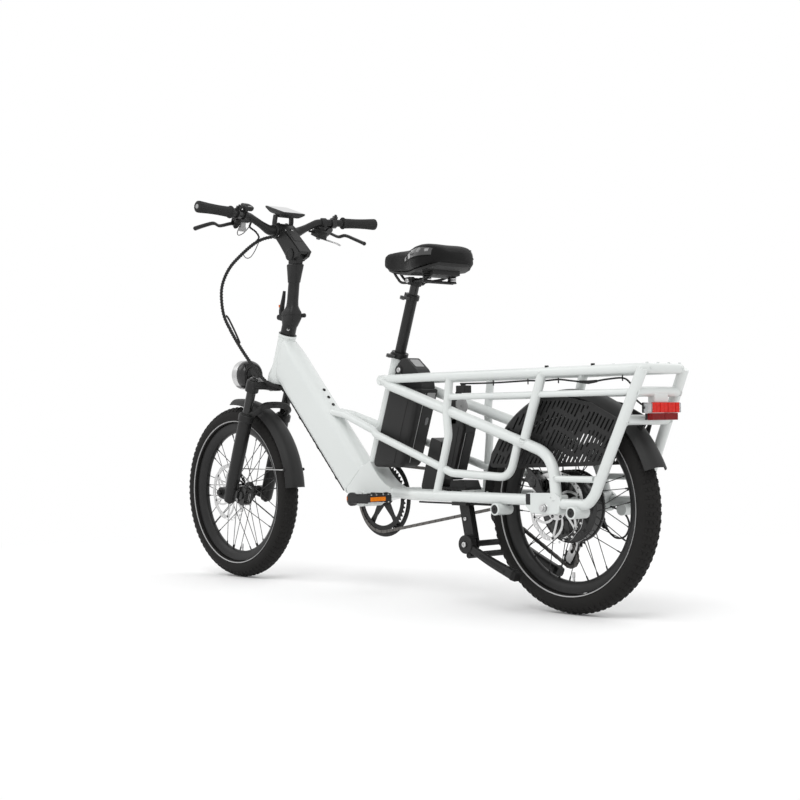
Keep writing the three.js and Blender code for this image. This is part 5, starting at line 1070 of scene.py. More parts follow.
def makeDerailleur():
    upper, lower = jockeys["upper"], jockeys["lower"]
    body = Vector((-24, 0, 228))
    run = (lower - upper).normalized()
    start, end = upper + run * 20, lower - run * 20
    slot = strapOutline((start.x, start.z, 5.5), (end.x, end.z, 5.5), 8)
    cage = [sidePlate(strapOutline((upper.x, upper.z, 13), (lower.x, lower.z, 11)), chainY + side * 4.6,
                      chainY + side * 6.2, [slot]) for side in (1, -1)]
    bolts = [lathe([(0, -7), (5, -7), (5, -8.6), (2, -8.6), (2, -7.4), (0, -7.4)],
                   point + sideways(chainY), steps=20)
             for point in (upper, lower)]
    make("derailleurCage", cage + bolts, steel, "frame", bevel=0.4)
    pins = [disc(point, 2.9, chainY - 6, chainY + 6) for point in (upper, lower)]
    pins.append(lathe([(0, -64), (11, -64), (13, -61), (13, -52.6), (0, -52.6)], upper, steps=32))
    arms = []
    outline = [(-4.5, -3), (4.5, -3), (4.5, 3), (-4.5, 3)]
    for rise in (-6, 5):
        arms.append(sweep([Vector((upper.x, -60, upper.z + rise)), Vector((body.x, -76, body.z + rise))],
                          outline, up=(0, 1, 0)))
    coil = [mix(Vector((upper.x, -60, upper.z)), Vector((body.x, -76, body.z)), 0.2 + 0.6 * k / 96)
            + Vector((3.2 * cos(k * 0.9), 3.2 * sin(k * 0.9), 0)) for k in range(97)]
    knuckle = lathe([(0, -82), (9, -82), (12, -79), (12, -68.5), (9, -66), (0, -66)], body, steps=36)
    tip = sidePlate(strapOutline((body.x, body.z, 9), (body.x - 14, body.z - 16, 5)), -79, -70)
    hang = sidePlate(strapOutline((body.x, body.z, 11), (-22, 262, 12)), -65, -66.8)
    barrel = lathe([(0, 0), (3.6, 0), (3.6, 9), (2.6, 10), (2.6, 15), (0, 15)], (body.x - 14, -74.5, body.z - 16),
                   (-0.75, 0, -0.66), 16)
    make("derailleur", pins + arms + [knuckle, tip, hang, barrel], black, "frame", ["derailleur"], bevel=0.8)
    make("derailleurSpring", [sweep(coil, circle(0.8, 6))], steel, "frame")


crank = {"long": 170, "lift": radians(4), "bossY": 66, "tipY": 91, "bossRadius": 19, "tipRadius": 13, "thick": 13,
         "guardInner": 97, "guardOuter": 112, "guardY": -53, "guardThick": 3}
crankReach = Vector((-cos(crank["lift"]), 0, sin(crank["lift"])))


def crankEnd(side, y):
    return bracket + sideways(side * y) + crankReach * side * crank["long"]


def makeCranks(values):
    shells = []
    for side in (1, -1):
        boss = bracket + sideways(side * values["bossY"])
        tip = crankEnd(side, values["tipY"])
        path = smoothed([boss, mix(boss, tip, 0.18) + sideways(side * 2), mix(boss, tip, 0.5),
                         mix(boss, tip, 0.85), tip], 6)
        sizes = [1.15 - 0.32 * k / (len(path) - 1) for k in range(len(path))]
        shells.append(sweep(path, roundRect(12, 25, 5, 4), up=(0, 0, 1), sizes=sizes))
        half = values["thick"] / 2
        shells.append(lathe([(0, -half), (values["bossRadius"], -half), (values["bossRadius"], half - 1.5), (16, half),
                             (10.5, half), (10.5, half - 2), (0, half - 2)],
                            boss, (0, side, 0), 48))
        shells.append(lathe([(0, -half), (values["tipRadius"], -half), (13.4, 0), (12.5, half), (7, half),
                             (7, half - 3), (0, half - 3)],
                            tip, (0, side, 0), 36))
        shells.append(tube([shift(tip, (0, side, 0), -4), crankEnd(side, 180)], 4.6, sides=16))
        shells.append(lathe([(0, 5), (9, 5), (9, 12), (0, 12)], tip, (0, side, 0), 6))
    shells.append(disc(bracket, 9, -60, 60, 28))
    inner, outer, half = values["guardInner"], values["guardOuter"], values["guardThick"] / 2
    guard = [(inner, -half), (outer - 1, -half), (outer, -0.6), (outer, 0.6), (outer - 1, half), (inner, half)]
    shells.append(lathe(guard, bracket + sideways(values["guardY"]), steps=96, loop=True))
    make("crankArms", shells, black, "cranks", ["crankset"], bevel=0.7)
    y = values["guardY"]
    outline = [(-15, 0), (-12, 26), (-6.5, 62), (-8.5, 84), (-15, 99), (15, 99), (8.5, 84), (6.5, 62),
               (12, 26), (15, 0)]
    aroundAxle("crankSpider", [plate(flatLoop(outline, 9, 4), 4, (0, y, 0))], 5, bracket, black, "cranks")
    bolts = [lathe([(0, -3), (5, -3), (5, 2), (4, 3), (0, 3)], (0, y, 87), (0, -1, 0), 16),
             disc((0, 0, 87), 4, y + 2, chainY, 12)]
    aroundAxle("crankBolts", bolts, 5, bracket, steel, "cranks")


def makePedal(name, side):
    tip = crankEnd(side, 0)
    at = tip + sideways(side * 149)
    body = f"{name}_pedal_body"
    outline = roundRect(98, 86, 13, 5)
    slotX = 29
    windows = [[(x + sx * slotX, z) for x, z in roundRect(22, 58, 5, 4)] for sx in (1, -1)]
    shells = [plate(outline, 17, at, (1, 0, 0), (0, 1, 0), windows)]
    shells.append(lathe([(5, -43), (11, -43), (11.5, -20), (12.5, 0), (11.5, 20), (11, 42), (5, 42)], at, (0, 1, 0),
                        32, loop=True))
    for sx in (1, -1):
        for k in range(9):
            shells.append(block(at + Vector((sx * slotX, -32 + 8 * k, 0)), (20, 1.4, 11)))
    for sy in (1, -1):
        shells.append(block(at + sideways(sy * 40), (78, 4, 25)))
    make(f"{name}Pedal", shells, plastic, body, [f"{name}_pedal"], bevel=1.1)
    studs = [(at + Vector((sx * x, sy * y, 0)) + Vector((0, 0, sz * 8.5)), (0, 0, sz), (1, 0, 0), 1)
             for sx in (1, -1) for sy in (1, -1) for sz in (1, -1) for x, y in ((43, 12), (43, 30), (15, 36))]
    stud = [lathe([(0, -1), (2, -1), (2, 2.4), (1.4, 3), (0, 3)], (0, 0, 0), (0, 0, 1), 8)]
    onPoints(f"{name}PedalStuds", stud, studs, steel, body)
    # the reflectors' faint amber glow is painted reflected light, not a lamp
    cells = [block(at + Vector((sx * 49.2, side * 12, -1)), (2.2, 52, 11)) for sx in (1, -1)]
    make(f"{name}PedalReflectors", cells, amber, body, bevel=0.8)


makeChain()
makeSprockets()
makeDerailleur()
makeCranks(crank)
for sideName, sideSign in sides.items():
    makePedal(sideName, sideSign)
print("drive train made")

# Fork, mudguards and lamp
fork = {"top": (1214, 70, 600), "foot": (1342, 70, 236), "stanchion": 14, "lower": 21, "collar": 24,
        "crownX": 1212, "crownZ": 578, "crownDeep": 22, "crownWide": 44}
legLong = (Vector(fork["foot"]) - Vector(fork["top"])).length
collarAlong = legLong * 0.282


def legAt(side, distance):
    top = Vector(fork["top"])
    return Vector((top.x, side * top.y, top.z)) - headUp * distance


def makeFork(values):
    crown, tops, lowers, seals = [], [], [], []
    for side in (1, -1):
        start = Vector((values["crownX"] - values["crownWide"] / 4, 0, values["crownZ"] + values["crownDeep"] / 2))
        path = smoothed([start, mix(start, legAt(side, 11), 0.35) + Vector((2, 0, 3)),
                         mix(start, legAt(side, 11), 0.75) + Vector((1, 0, 2)),
                         legAt(side, 11)], 6)
        sizes = [1.12 - 0.26 * k / (len(path) - 1) for k in range(len(path))]
        crown.append(sweep(path, roundRect(46, 25, 8, 5), up=(0, 0, 1), sizes=sizes))
        crown.append(lathe([(0, -29), (19, -29), (20.5, -27), (20.5, 5), (18.5, 8), (0, 8)],
                           legAt(side, 0), headUp, 40))
        tops.append(lathe([(0, 7), (13, 7), (13, 13), (11, 15), (0, 15)], legAt(side, 0), headUp, 32))
        tops.append(lathe([(0, 14), (6, 14), (6, 18), (0, 18)], legAt(side, 0), headUp, 6))
        seals.append(tube([legAt(side, 5), legAt(side, legLong * 0.5)], values["stanchion"], sides=36))
        taper = [(values["stanchion"] + 1.2, -collarAlong - 6), (19.5, -collarAlong - 8),
                 (values["lower"], -collarAlong - 22), (values["lower"], -collarAlong - 120), (19.5, -legLong + 40),
                 (18.5, -legLong + 8), (15, -legLong), (0, -legLong), (0, -collarAlong - 8)]
        lowers.append(lathe(taper, legAt(side, 0), headUp, 40))
        lowers.append(lathe([(14.6, 8), (22, 8), (values["collar"], 5), (values["collar"], -12),
                             (21.5, -15), (14.6, -15)],
                            legAt(side, collarAlong), headUp, 40, loop=True))
        foot = legAt(side, legLong - 21)
        lowers.append(sidePlate(strapOutline((foot.x, foot.z, 17), (wheelbase, tyreRadius, 17)),
                                side * 61, side * 80.5))
        lowers.append(lathe([(0, -3), (6, -3), (6, -6), (0, -6)], legAt(side, legLong), headUp, 6))
    crown.append(lathe([(0, -12), (29, -12), (30.5, -8), (30.5, -3), (28, -0.4), (0, -0.4)], headFoot, headUp, 48))
    crown.append(lathe([(0, 0), (14.3, 0), (14.3, headLong + 3), (0, headLong + 3)], headFoot, headUp, 32))
    crown.append(lathe([(15.5, 0.3), (27, 0.3), (27.5, 2), (24, 3), (15.5, 3)], headTop, headUp, 48, loop=True))
    make("forkCrown", crown, black, "fork", ["fork_crown"], bevel=0.9)
    make("forkCaps", tops, gloss, "fork", bevel=0.5)
    make("stanchions", seals, gloss, "fork")
    archTop = [legAt(1, collarAlong), (fork["top"][0] - 7, 57, 514), (fork["top"][0] - 13, 33, 531),
               (fork["top"][0] - 13, -33, 531),
               (fork["top"][0] - 7, -57, 514), legAt(-1, collarAlong)]
    lowers.append(sweep(smoothed(archTop, 6), roundRect(20, 13, 5, 4), up=(1, 0, 0)))
    for side in (1, -1):
        at = (wheelbase, side * 85, tyreRadius)
        lowers.append(lathe([(0, -5), (12, -5), (12, -2.6), (0, -2.6)], at, (0, side, 0), 32))
        lowers.append(lathe([(0, -2.6), (9, -2.6), (9, 5), (7.5, 6.4), (0, 6.4)], at, (0, side, 0), 6))
    lowers.append(disc(frontHub, 6, -86, 86, 24))
    make("forkLowers", lowers, black, "fork_leg_pair", ["fork_lowers"], bevel=0.8)
    wipers = [lathe([(14.3, 8), (19, 8), (18, 11), (14.3, 11)], legAt(side, collarAlong), headUp, 36, loop=True)
              for side in (1, -1)]
    make("forkWipers", wipers, rubber, "fork_leg_pair")


guards = {"half": 35, "thick": 2.4, "drop": 17, "frontRadius": 290, "rearRadius": 288, "wire": 1.7}


def guardStrip(centre, radius, start, end, values, flare=0.0):
    over, under = [], []
    for k in range(13):
        across = -1 + k / 6
        y = across * values["half"]
        rise = -values["drop"] * abs(across) ** 3
        over.append((y, rise))
        under.append((across * (values["half"] - values["thick"]), rise - values["thick"]))
    rolled = [(values["half"] + 0.9, -values["drop"] - 0.8), (values["half"] + 0.6, -values["drop"] - 2.6)]
    section = over + rolled + under[::-1] + [(-y, z) for y, z in rolled[::-1]]
    path, sizes = [], []
    for k in range(65):
        share = k / 64
        angle = start + (end - start) * share
        out = radius + flare * max(share - 0.86, 0) ** 2 * 300
        path.append(centre + polar(angle) * out)
        sizes.append(1 + flare * max(share - 0.88, 0))
    return sweep(path, section, up=(cos(start), 0, sin(start)), sizes=sizes)


def makeMudguards(values):
    strip = guardStrip(frontHub, values["frontRadius"], radians(88), radians(176), values)
    make("frontMudguard", [strip], plastic, "fork_leg_pair", ["front_fender"], angle=40)
    reach = values["frontRadius"] - values["drop"]
    angle = radians(176) - 0.2
    crossing = frontHub + polar(angle) * reach
    wires, clips = [], []
    for side in (1, -1):
        leg = legAt(side, legLong * 0.72) - sideways(side * 21.5)
        hook = crossing + sideways(side * 44)
        wires.append(tube([crossing + sideways(side * 32), hook, leg + sideways(-side * 2),
                           leg + sideways(side * 6)],
                          values["wire"], 8, 12))
        clips.append(lathe([(0, -1), (4.4, -1), (4.4, 3), (3, 4), (0, 4)], hook + sideways(-side * 8),
                           (0, side, 0), 12))
    bridge = sweep([Vector((1198, 0, 526)), Vector((1192, 0, 533)), Vector((1204, 0, 537))],
                   roundRect(22, 4, 1.5, 2), up=(1, 0, 0))
    make("mudguardStays", wires, steel, "fork_leg_pair")
    make("mudguardClips", clips + [bridge], black, "fork_leg_pair", bevel=0.4)
    strip = guardStrip(rearHub, values["rearRadius"], radians(6), radians(160), values, 0.8)
    lowerBar = Vector((-231, 0, 475))
    inward = (rearHub - lowerBar).normalized()
    mounts = [tube([lowerBar + inward * 12, rearHub - inward * (values["rearRadius"] - 2)], 6, sides=16),
              tube([(284, 0, 296), (284, 0, 270.2)], 6, sides=16),
              lathe([(0, -1), (9, -1), (9, 1.6), (0, 1.6)],
                    rearHub - inward * (values["rearRadius"] + 1), inward * -1, 24)]
    make("rearMudguard", [strip], plastic, "frame", ["rear_fender"], angle=40)
    make("mudguardMounts", mounts, black, "frame", bevel=0.5)


lampSizes = {"backX": 1304, "frontX": 1362, "z": 628, "radius": 45, "backRadius": 34, "glass": 40}


def makeHeadlight(values):
    at, long = (values["backX"], 0, values["z"]), values["frontX"] - values["backX"]
    radius, glass = values["radius"], values["glass"]
    bowl = [(0, 0), (20, 0.5), (24, 3), (values["backRadius"], 3), (38, 6), (41.5, 11), (44, 18), (radius - 0.5, 26),
            (radius - 0.5, 30), (radius - 2, 30.5), (radius - 2, long - 1), (glass, long - 1), (glass, long - 4),
            (0, long - 30)]
    fins = [lathe([(23 + 7 * k, 2), (25 + 7 * k, 2), (25 + 7 * k, -0.6 + 2 * k), (23 + 7 * k, -0.6 + 2 * k)],
                  at, (1, 0, 0), 64, loop=True) for k in range(2)]
    bezel = lathe([(radius - 2, 32), (radius - 0.4, 33), (radius, 36), (radius, long - 3), (radius - 2, long),
                   (glass, long), (glass, long - 3), (radius - 2, long - 4)], at, (1, 0, 0), 72, loop=True)
    make("headlightBezel", [bezel], steel, "fork")
    arm = sweep(smoothed([Vector((1219, 0, 590)), Vector((1238, 0, 597)), Vector((1262, 0, 606)),
                          Vector((1290, 0, 618)),
                          Vector((1316, 0, 628))], 5), roundRect(22, 7, 2, 3), up=(0, 0, 1))
    boltPair = [lathe([(0, 0), (5, 0), (5, 4), (0, 4)], (1296, side * 11, 621), (0, side, 0), 6) for side in (1, -1)]
    make("headlightBowl", [lathe(bowl, at, (1, 0, 0), 72), *fins, arm, *boltPair], gloss, "fork",
         ["headlight"], bevel=0.4)
    cup = [(5, long - 28), (20, long - 22), (34, long - 12), (glass - 0.5, long - 4), (glass - 1.5, long - 4),
           (33, long - 13), (20, long - 24), (5, long - 29.5)]
    bulb = [(0, long - 26), (6, long - 26), (5, long - 14), (0, long - 12)]
    make("headlightMirror", [lathe(cup, at, (1, 0, 0), 56, loop=True), lathe(bulb, at, (1, 0, 0), 24)], mirror, "fork")
    make("headlightLens", [lathe([(0, long - 5), (glass - 0.4, long - 5), (glass - 0.4, long - 3.2), (30, long - 0.4),
                                  (0, long + 0.6)],
                                 at, (1, 0, 0), 56)], lens, "fork")


brakes = {"front": (frontHub, frontHub + headUp * 20 - headAhead * 80 + sideways(rotors["front"]), headUp,
                    [(-26, 11), (26, 11), (24, 16), (-22, 16)], "fork_leg_pair"),
          "rear": (rearHub, Vector((61, rotors["rear"], 327)), Vector((cos(0.7), 0, sin(0.7))),
                   [(8, -14), (28, -6), (27, 15), (8, 16)], "frame")}


def makeCaliper(name, hub, at, long, bridge, body):
    out = at - hub
    out.y = 0
    out = (out - long * out.dot(long)).normalized()
    beside = at + sideways(8)
    shells, pads = [plate(bridge, 18, at, long, out)], []
    for side in (1, -1):
        shells.append(plate([(-29, -15), (24, -16), (29, -6), (27, 15), (-20, 16), (-29, 8)], 11.6,
                            at + sideways(side * 9.3), long, out))
        shells.append(lathe([(0, 0), (12.5, 0), (12.5, 5.5), (10, 7), (0, 7)], at + sideways(side * 14) - out * 3,
                            (0, side, 0), 32))
        pads.append(plate([(-16, -2), (16, -2), (14, 20), (-14, 20)], 1.2, at + sideways(side * 2.4), long, out))
    for end in (-17, 15):
        shells.append(lathe([(0, 0), (4.5, 0), (4.5, 4), (2.4, 4), (2.4, 2), (0, 2)],
                            beside + long * end + out * 16, out, 12))
    shells.append(lathe([(0, 0), (6, 0), (6, 8), (4, 10), (3, 18), (0, 18)], beside + long * 27 + out * 6, long, 16))
    if name == "front":
        shells.append(block(at + Vector((8, 18, 3)) - out * 12, (22, 18, 24), long, out))
    else:
        shells.append(sidePlate([(46, 338), (66, 341), (42, 297.2), (26, 297.2)], 70.5, 78))
    make(f"{name}Caliper", shells, gloss, body, [f"{name}_caliper"], bevel=1.0)
    make(f"{name}BrakePads", pads, steel, body)


makeFork(fork)
makeMudguards(guards)
makeHeadlight(lampSizes)
for brakeName, parts in brakes.items():
    makeCaliper(brakeName, *parts)
print("fork, mudguards, lamp and brakes made")

# Stem, handlebar and controls
def squareRing(centre, halfU, halfV, square=2.0, u=(1, 0, 0), v=(0, 1, 0), count=36):
    points = []
    for i in range(count):
        angle = (i + 0.5) * 2 * pi / count
        c, s = cos(angle), sin(angle)
        x, y = [abs(part) ** (2 / square) * (1 if part > 0 else -1) for part in (c, s)]
        points.append(Vector(centre) + Vector(u) * x * halfU + Vector(v) * y * halfV)
    return points


def stackRings(at, up, rows, ahead=(1, 0, 0), count=36):  # a row holds a rise, two half widths and how square it is
    return [squareRing(shift(at, up, rise), wide, deep, square, ahead, count=count)
            for rise, wide, deep, square in rows]


def stack(*places):
    return loft(stackRings(*places))


def boltHead(place, axis, radius=4.5, high=3.5, foot=1.0):
    return lathe([(0, -foot), (radius, -foot), (radius, high - 0.6), (radius - 0.6, high), (radius * 0.5, high),
                  (radius * 0.5, high * 0.4), (0, high * 0.4)], place, axis, 18)


stem = {"joint": Vector((1112, 0, 800)), "hingeY": -30, "pivotAt": 181, "tongueAt": 130, "tongueHalf": 12,
        "tongueFoot": 16, "pivotRadius": 22}
columnFoot = stem["joint"] + Vector((0, 0, 0.3))
latchPivot = Vector((1160, 0, 797))


def columnAt(distance):
    return shift(columnFoot, columnUp, distance)


stemPivot = columnAt(stem["pivotAt"])


def knuckles(spans, up):
    shells = []
    x, y, z = stem["joint"].x, stem["hingeY"], stem["joint"].z
    for start, end in spans:
        shells.append(tube([(x + start, y, z), (x + end, y, z)], 6.5, sides=24))
        shells.append(block((x + (start + end) / 2, y + 5, z + up * 3.4), (abs(end - start), 10, 6.2)))
    return shells


def makeStem(values):
    joint = values["joint"]
    side = sideways(1)
    low = stackRings(headTop, headUp, ((3.3, 22.6, 22.6, 2), (27, 22.6, 22.6, 2), (34, 24, 23.6, 2.4)), headAhead)
    base = [loft([*low, squareRing((joint.x + 1, 0, 785), 25, 24, 3.2), squareRing((joint.x, 0, 791), 26, 24, 4.5),
                  squareRing(joint, 26, 24, 4.5)])]
    base += knuckles([(9, 25), (-25, -9)], -1)
    for y in (1, -1):
        base.append(sidePlate(strapOutline((joint.x + 16, 789, 8), (latchPivot.x, latchPivot.z, 8), 8),
                              y * 8.8, y * 14))
    base.append(tube([latchPivot + side * 15.5, latchPivot - side * 15.5], 3.2, sides=16))
    facing = Vector((-0.74, 0.67, 0))
    bolts = []
    for rise, out, radius in ((31, 23.2, 5.6), (14, 22, 4.2)):
        at = shift(headTop, headUp, rise)
        base.append(lathe([(6.4, -4), (7.6, -4), (7.6, 0.8), (6.4, 0.8)], shift(at, facing, out), facing,
                          24, loop=True))
        bolts.append(boltHead(shift(at, facing, 22), facing, radius, 1.6, 3))
    make("stemBase", base, black, "fork", ["stem_base"], bevel=0.9)
    make("stemBolts", bolts, steel, "fork")
    foot = [squareRing(columnFoot, 26, 24, 4.5), squareRing(columnFoot + Vector((0, 0, 9)), 26, 24, 4.2)]
    shaft = stackRings(columnFoot, columnUp,
                       ((17, 22, 21, 3), (28, 18.6, 18.6, 2), (44, 17.2, 17.2, 2), (106, 17, 17, 2)))
    collar = ((98, 18.6, 18.4, 2), (100, 19.2, 19, 2), (112, 20, 19.4, 2.3), (135, 22, 20.6, 3), (150, 23, 21.6, 3.6),
              (153, 21, 20, 3.6))
    column = [loft(foot + shaft), stack(columnFoot, columnUp, collar), *knuckles([(-8.7, 8.7)], 1)]
    foot = columnAt(values["tongueAt"])
    column.append(sidePlate(strapOutline((foot.x, foot.z, values["tongueFoot"]),
                                         (stemPivot.x, stemPivot.z, values["pivotRadius"]), 12),
                            -values["tongueHalf"], values["tongueHalf"]))
    column.append(tube([stemPivot + side * 25, stemPivot - side * 25], 6, sides=20))
    cap = [(0, 24.3), (17, 24.3), (18.5, 25.2), (18.5, 26.6), (15, 27.6), (11, 27.6), (10.4, 26.6), (0, 26.6)]
    column += [lathe(cap, stemPivot, (0, y, 0), 40) for y in (1, -1)]
    make("stemColumn", column, black, "column", ["stem_column"], bevel=0.9)
    make("columnScrews", [boltHead(columnAt(rise) + Vector((17.6, 8, 0)), (0.9, 0.43, 0), 3.4, 2.6)
                          for rise in (112, 128)],
         gloss, "column")
    lever = smoothed([latchPivot + Vector((x, 0, z)) for x, z in ((-2, -4), (1, 14), (-3, 32), (-9, 52), (-14, 75))], 6)
    sizes = [1 - 0.5 * (k / (len(lever) - 1)) ** 1.6 for k in range(len(lever))]
    ring = lathe([(3.6, -8), (7.6, -8), (7.6, 8), (3.6, 8)], latchPivot, steps=28, loop=True)
    blade = sweep([point + Vector((0, 0, 4)) for point in lever], roundRect(16, 13, 4, 4), up=(1, 0, 0), sizes=sizes)
    make("stemLatch", [ring, blade], plastic, "latch_lever", ["stem_latch"], bevel=0.5)
    make("latchTab", [block(latchPivot + Vector((6.2, 0, 33)), (7, 9, 6), (1, 0, 0.12)),
                      block(latchPivot + Vector((9.4, 0, 36)), (3, 8, 5), (1, 0, 0.3))],
         orangeTab, "latch_lever", bevel=0.8)


riser = {"rear": Vector((1078, 0, 985)), "clamp": Vector((1150, 0, 1056)), "half": 24,
         "room": 12.6, "bore": 16.1}
riserUp = (riser["clamp"] - riser["rear"]).normalized()
riserBack = Vector((-riserUp.z, 0, riserUp.x))


def riserAt(along, off, y=0.0):
    return riser["rear"] + riserUp * along + riserBack * off + sideways(y)


def makeRiser(values):
    reach = (values["clamp"] - values["rear"]).length
    turns = [(reach + 19 * cos(a), 19 * sin(a)) for a in [pi / 2 - k * pi / 10 for k in range(11)]]
    cheek = [(-24, 24), (20, 24), (70, 22), *turns, (60, -21), (18, -26), (-4, -25), (-20, -8), (-27, 8)]
    cheek = flatLoop(cheek, 5, 4)
    shells = [plate(cheek, values["half"] - values["room"], riserAt(0, 0, y * (values["half"] + values["room"]) / 2),
                    riserUp, riserBack)
              for y in (1, -1)]
    shells.append(plate([(-23, 14), (-23, 23), (66, 22), (86, 18), (86, -19), (62, -20), (34, -22), (30, 13)],
                        2 * values["room"] + 0.4,
                        riserAt(0, 0), riserUp, riserBack))
    shells.append(lathe([(values["bore"], -26), (22, -26), (23, -24), (23, 24), (22, 26), (values["bore"], 26)],
                        values["clamp"], steps=48, loop=True))
    for y in (1, -1):
        for off in (1, -1):
            shells.append(boltHead(riserAt(reach + 17, off * 13, y * 15), riserUp, 4, 4, 3))
            shells.append(lathe([(0, -8), (6.4, -8), (6.4, 1), (0, 1)],
                                riserAt(reach + 16, off * 13, y * 15), riserUp, 20))
    make("stemRiser", shells, black, "cockpit", ["stem_riser"], bevel=1.1)
    cover = [plate([(-27, -22), (66, -20), (66, 20), (-27, 22)], 3, riserAt(0, 25.8), riserUp, (0, 1, 0)),
             plate([(22, -15), (58, -14), (58, 14), (22, 15)], 1, riserAt(0, 27.7), riserUp, (0, 1, 0)),
             plate([(62, -19), (72, -18), (72, 18), (62, 19)], 6, riserAt(0, 23.6), riserUp, (0, 1, 0))]
    make("riserCover", cover, plastic, "cockpit", bevel=0.7)
    make("riserBolts", [boltHead(riserAt(reach - 16, -2, y * 24), (0, y, 0), 5, 3) for y in (1, -1)]
         + [boltHead(riserAt(80, 19, y * 12), riserBack, 3.4, 4) for y in (1, -1)], steel, "cockpit")


bar = {"radius": 11, "centre": 15.9, "centreHalf": 36, "bend": 40,
       "line": [(1150, 52, 1056), (1146, 130, 1092), (1124, 206, 1094), (1112, 334, 1099)]}
grip = {"radius": 15.2, "flange": 18.5, "lobes": 20}


def barLine(side):
    return [Vector((x, side * y, z)) for x, y, z in bar["line"]]


def barRun(side):
    return (barLine(side)[2] - barLine(side)[1]).normalized()


def barAt(side, y):
    low, high = barLine(side)[1:3]
    return mix(low, high, (y - abs(low.y)) / (abs(high.y) - abs(low.y)))


def onBar(side, y, profile, steps=36):
    return lathe(profile, barAt(side, y), barRun(side), steps, loop=True)


def makeBar(values):
    half = []
    for side in (1, -1):
        line = barLine(side)
        half.append(rounded([Vector((1150, 0, 1056)), *line], values["bend"], 9))
    path = [*reversed(half[0]), *half[1][1:]]
    dense = []
    for here, after in zip(path, path[1:]):
        parts = max(1, round((after - here).length / 6)) if min(abs(here.y), abs(after.y)) < 100 else 1
        dense += [mix(here, after, k / parts) for k in range(parts)]
    dense.append(path[-1])
    sizes = []
    for point in dense:
        share = min(max((92 - abs(point.y)) / (92 - values["centreHalf"]), 0), 1)
        sizes.append(1 + (values["centre"] / values["radius"] - 1) * share * share * (3 - 2 * share))
    make("handlebar", [sweep(dense, circle(values["radius"], 32), sizes=sizes)], black, "cockpit", ["handlebar"])
    for name, side in sides.items():
        line = barLine(side)
        run = (line[3] - line[2]).normalized()
        start, long = shift(line[2], run, 5), (line[3] - line[2]).length - 2
        outline = []
        for k in range(grip["lobes"] * 6):
            angle = k * 2 * pi / (grip["lobes"] * 6)
            reach = grip["radius"] + (0.7 if k % 6 in (0, 1, 2) else -0.2) * (1 if sin(angle) < 0.4 else 0.35)
            outline.append((reach * cos(angle), reach * sin(angle)))
        path, sizes = [], []
        for k in range(25):
            share = k / 24
            path.append(shift(start, run, 5 + (long - 8) * share))
            swell = 0.12 * max(share - 0.72, 0) / 0.28 * (1 - 0.4 * max(share - 0.96, 0) / 0.04)
            sizes.append(1 - 0.07 * sin(pi * min(share * 1.35, 1)) + swell)
        shells = [sweep(path, outline, sizes=sizes),
                  lathe([(11.2, 0), (grip["flange"] - 1, 0), (grip["flange"], 1.2), (grip["flange"], 3.6),
                         (grip["radius"], 5.6), (11.2, 5.6)],
                        start, run, 40, loop=True),
                  lathe([(0, long - 5), (15.6, long - 5), (14.6, long - 1.5), (11, long + 0.4), (7, long + 0.4),
                         (7, long - 1), (0, long - 1)],
                        start, run, 40)]
        make(f"{name}Grip", shells, rubber, "cockpit", [f"{name}_grip"], angle=50)
        make(f"{name}BarPlug", [lathe([(0, -1.2), (6.6, -1.2), (6.6, 0.4), (5, 1.2), (0, 1.2)],
                                      shift(start, run, long), run, 24)],
             greyPlastic, "cockpit")


leverUp = Vector((0.68, 0, 0.733))


def makeBrakeControls():
    for name, side in sides.items():
        out = sideways(side)
        root, pivot = barAt(side, 176), Vector((1158, side * 172, 1066))
        reach = (pivot - root).normalized()
        ahead = perpendicular(leverUp, reach)[0]
        shells = [onBar(side, 182, [(11.2, -8), (15.4, -8), (16.5, -6.6), (16.5, 6.6), (15.4, 8), (11.2, 8)])]
        shells.append(tube([shift(root, reach, 11), shift(root, reach, 16), shift(root, reach, 24)], 10, sides=24,
                           sizes=[1.1, 1, 0.95]))
        for up in (1, -1):
            middle = shift(pivot, leverUp, up * 8.4)
            strap = strapOutline((-17, 0, 11), (0, 0, 8.6), 10)
            shells.append(plate(strap, 5.2, middle, ahead, leverUp.cross(ahead)))
        shells.append(tube([shift(pivot, leverUp, -12.4), shift(pivot, leverUp, 12.4)], 3.2, sides=16))
        tank = [root + reach * 17 - out * 4, root + reach * 20 - out * 22, root + reach * 21 - out * 42]
        shells.append(tube(tank, 8.6, sides=24, sizes=[1, 1, 0.86]))
        shells.append(tube([tank[2] + out * 4, tank[2] - out * 11], 5.4, sides=6))
        shells.append(tube([tank[2] - out * 10, tank[2] - out * 18], 3.6, sides=16, sizes=[1, 0.8]))
        upward = Vector((-0.5, 0, 0.87))
        shells.append(block(shift(barAt(side, 182), upward, 18), (13, 13, 8), barRun(side), upward))
        shells.append(boltHead(shift(barAt(side, 182), upward, 21), upward, 4.4, 6.5, 1))
        make(f"{name}BrakePerch", shells, gloss, "cockpit", [f"{name}_brake_perch"], bevel=0.8)
        knee, bow, tip = [Vector((x, side * y, z)) for x, y, z in ((1160, 225, 1057), (1155, 250, 1062),
                                                                   (1146, 320, 1041))]
        blade = smoothed([pivot, pivot + out * 16, knee, bow, mix(bow, tip, 0.5) + leverUp * 1.5, tip], 6)
        sizes = [0.82 + 0.3 * abs(k / (len(blade) - 1) - 0.35) for k in range(len(blade))]
        lever = [lathe([(3.6, -5), (7, -5), (7.6, -3), (7.6, 3), (7, 5), (3.6, 5)], pivot, leverUp, 28, loop=True),
                 sweep(blade[2:], roundRect(8.4, 12, 3, 4), up=leverUp, sizes=sizes[2:]),
                 lathe([(0, -6.4), (3.5, -5.6), (6, -2.6), (6.6, 0), (6, 2.6), (3.5, 5.6), (0, 6.4)], tip, out, 20)]
        make(f"{name}BrakeLever", lever, black, f"{name}_lever", [f"{name}_brake_lever"], angle=40)


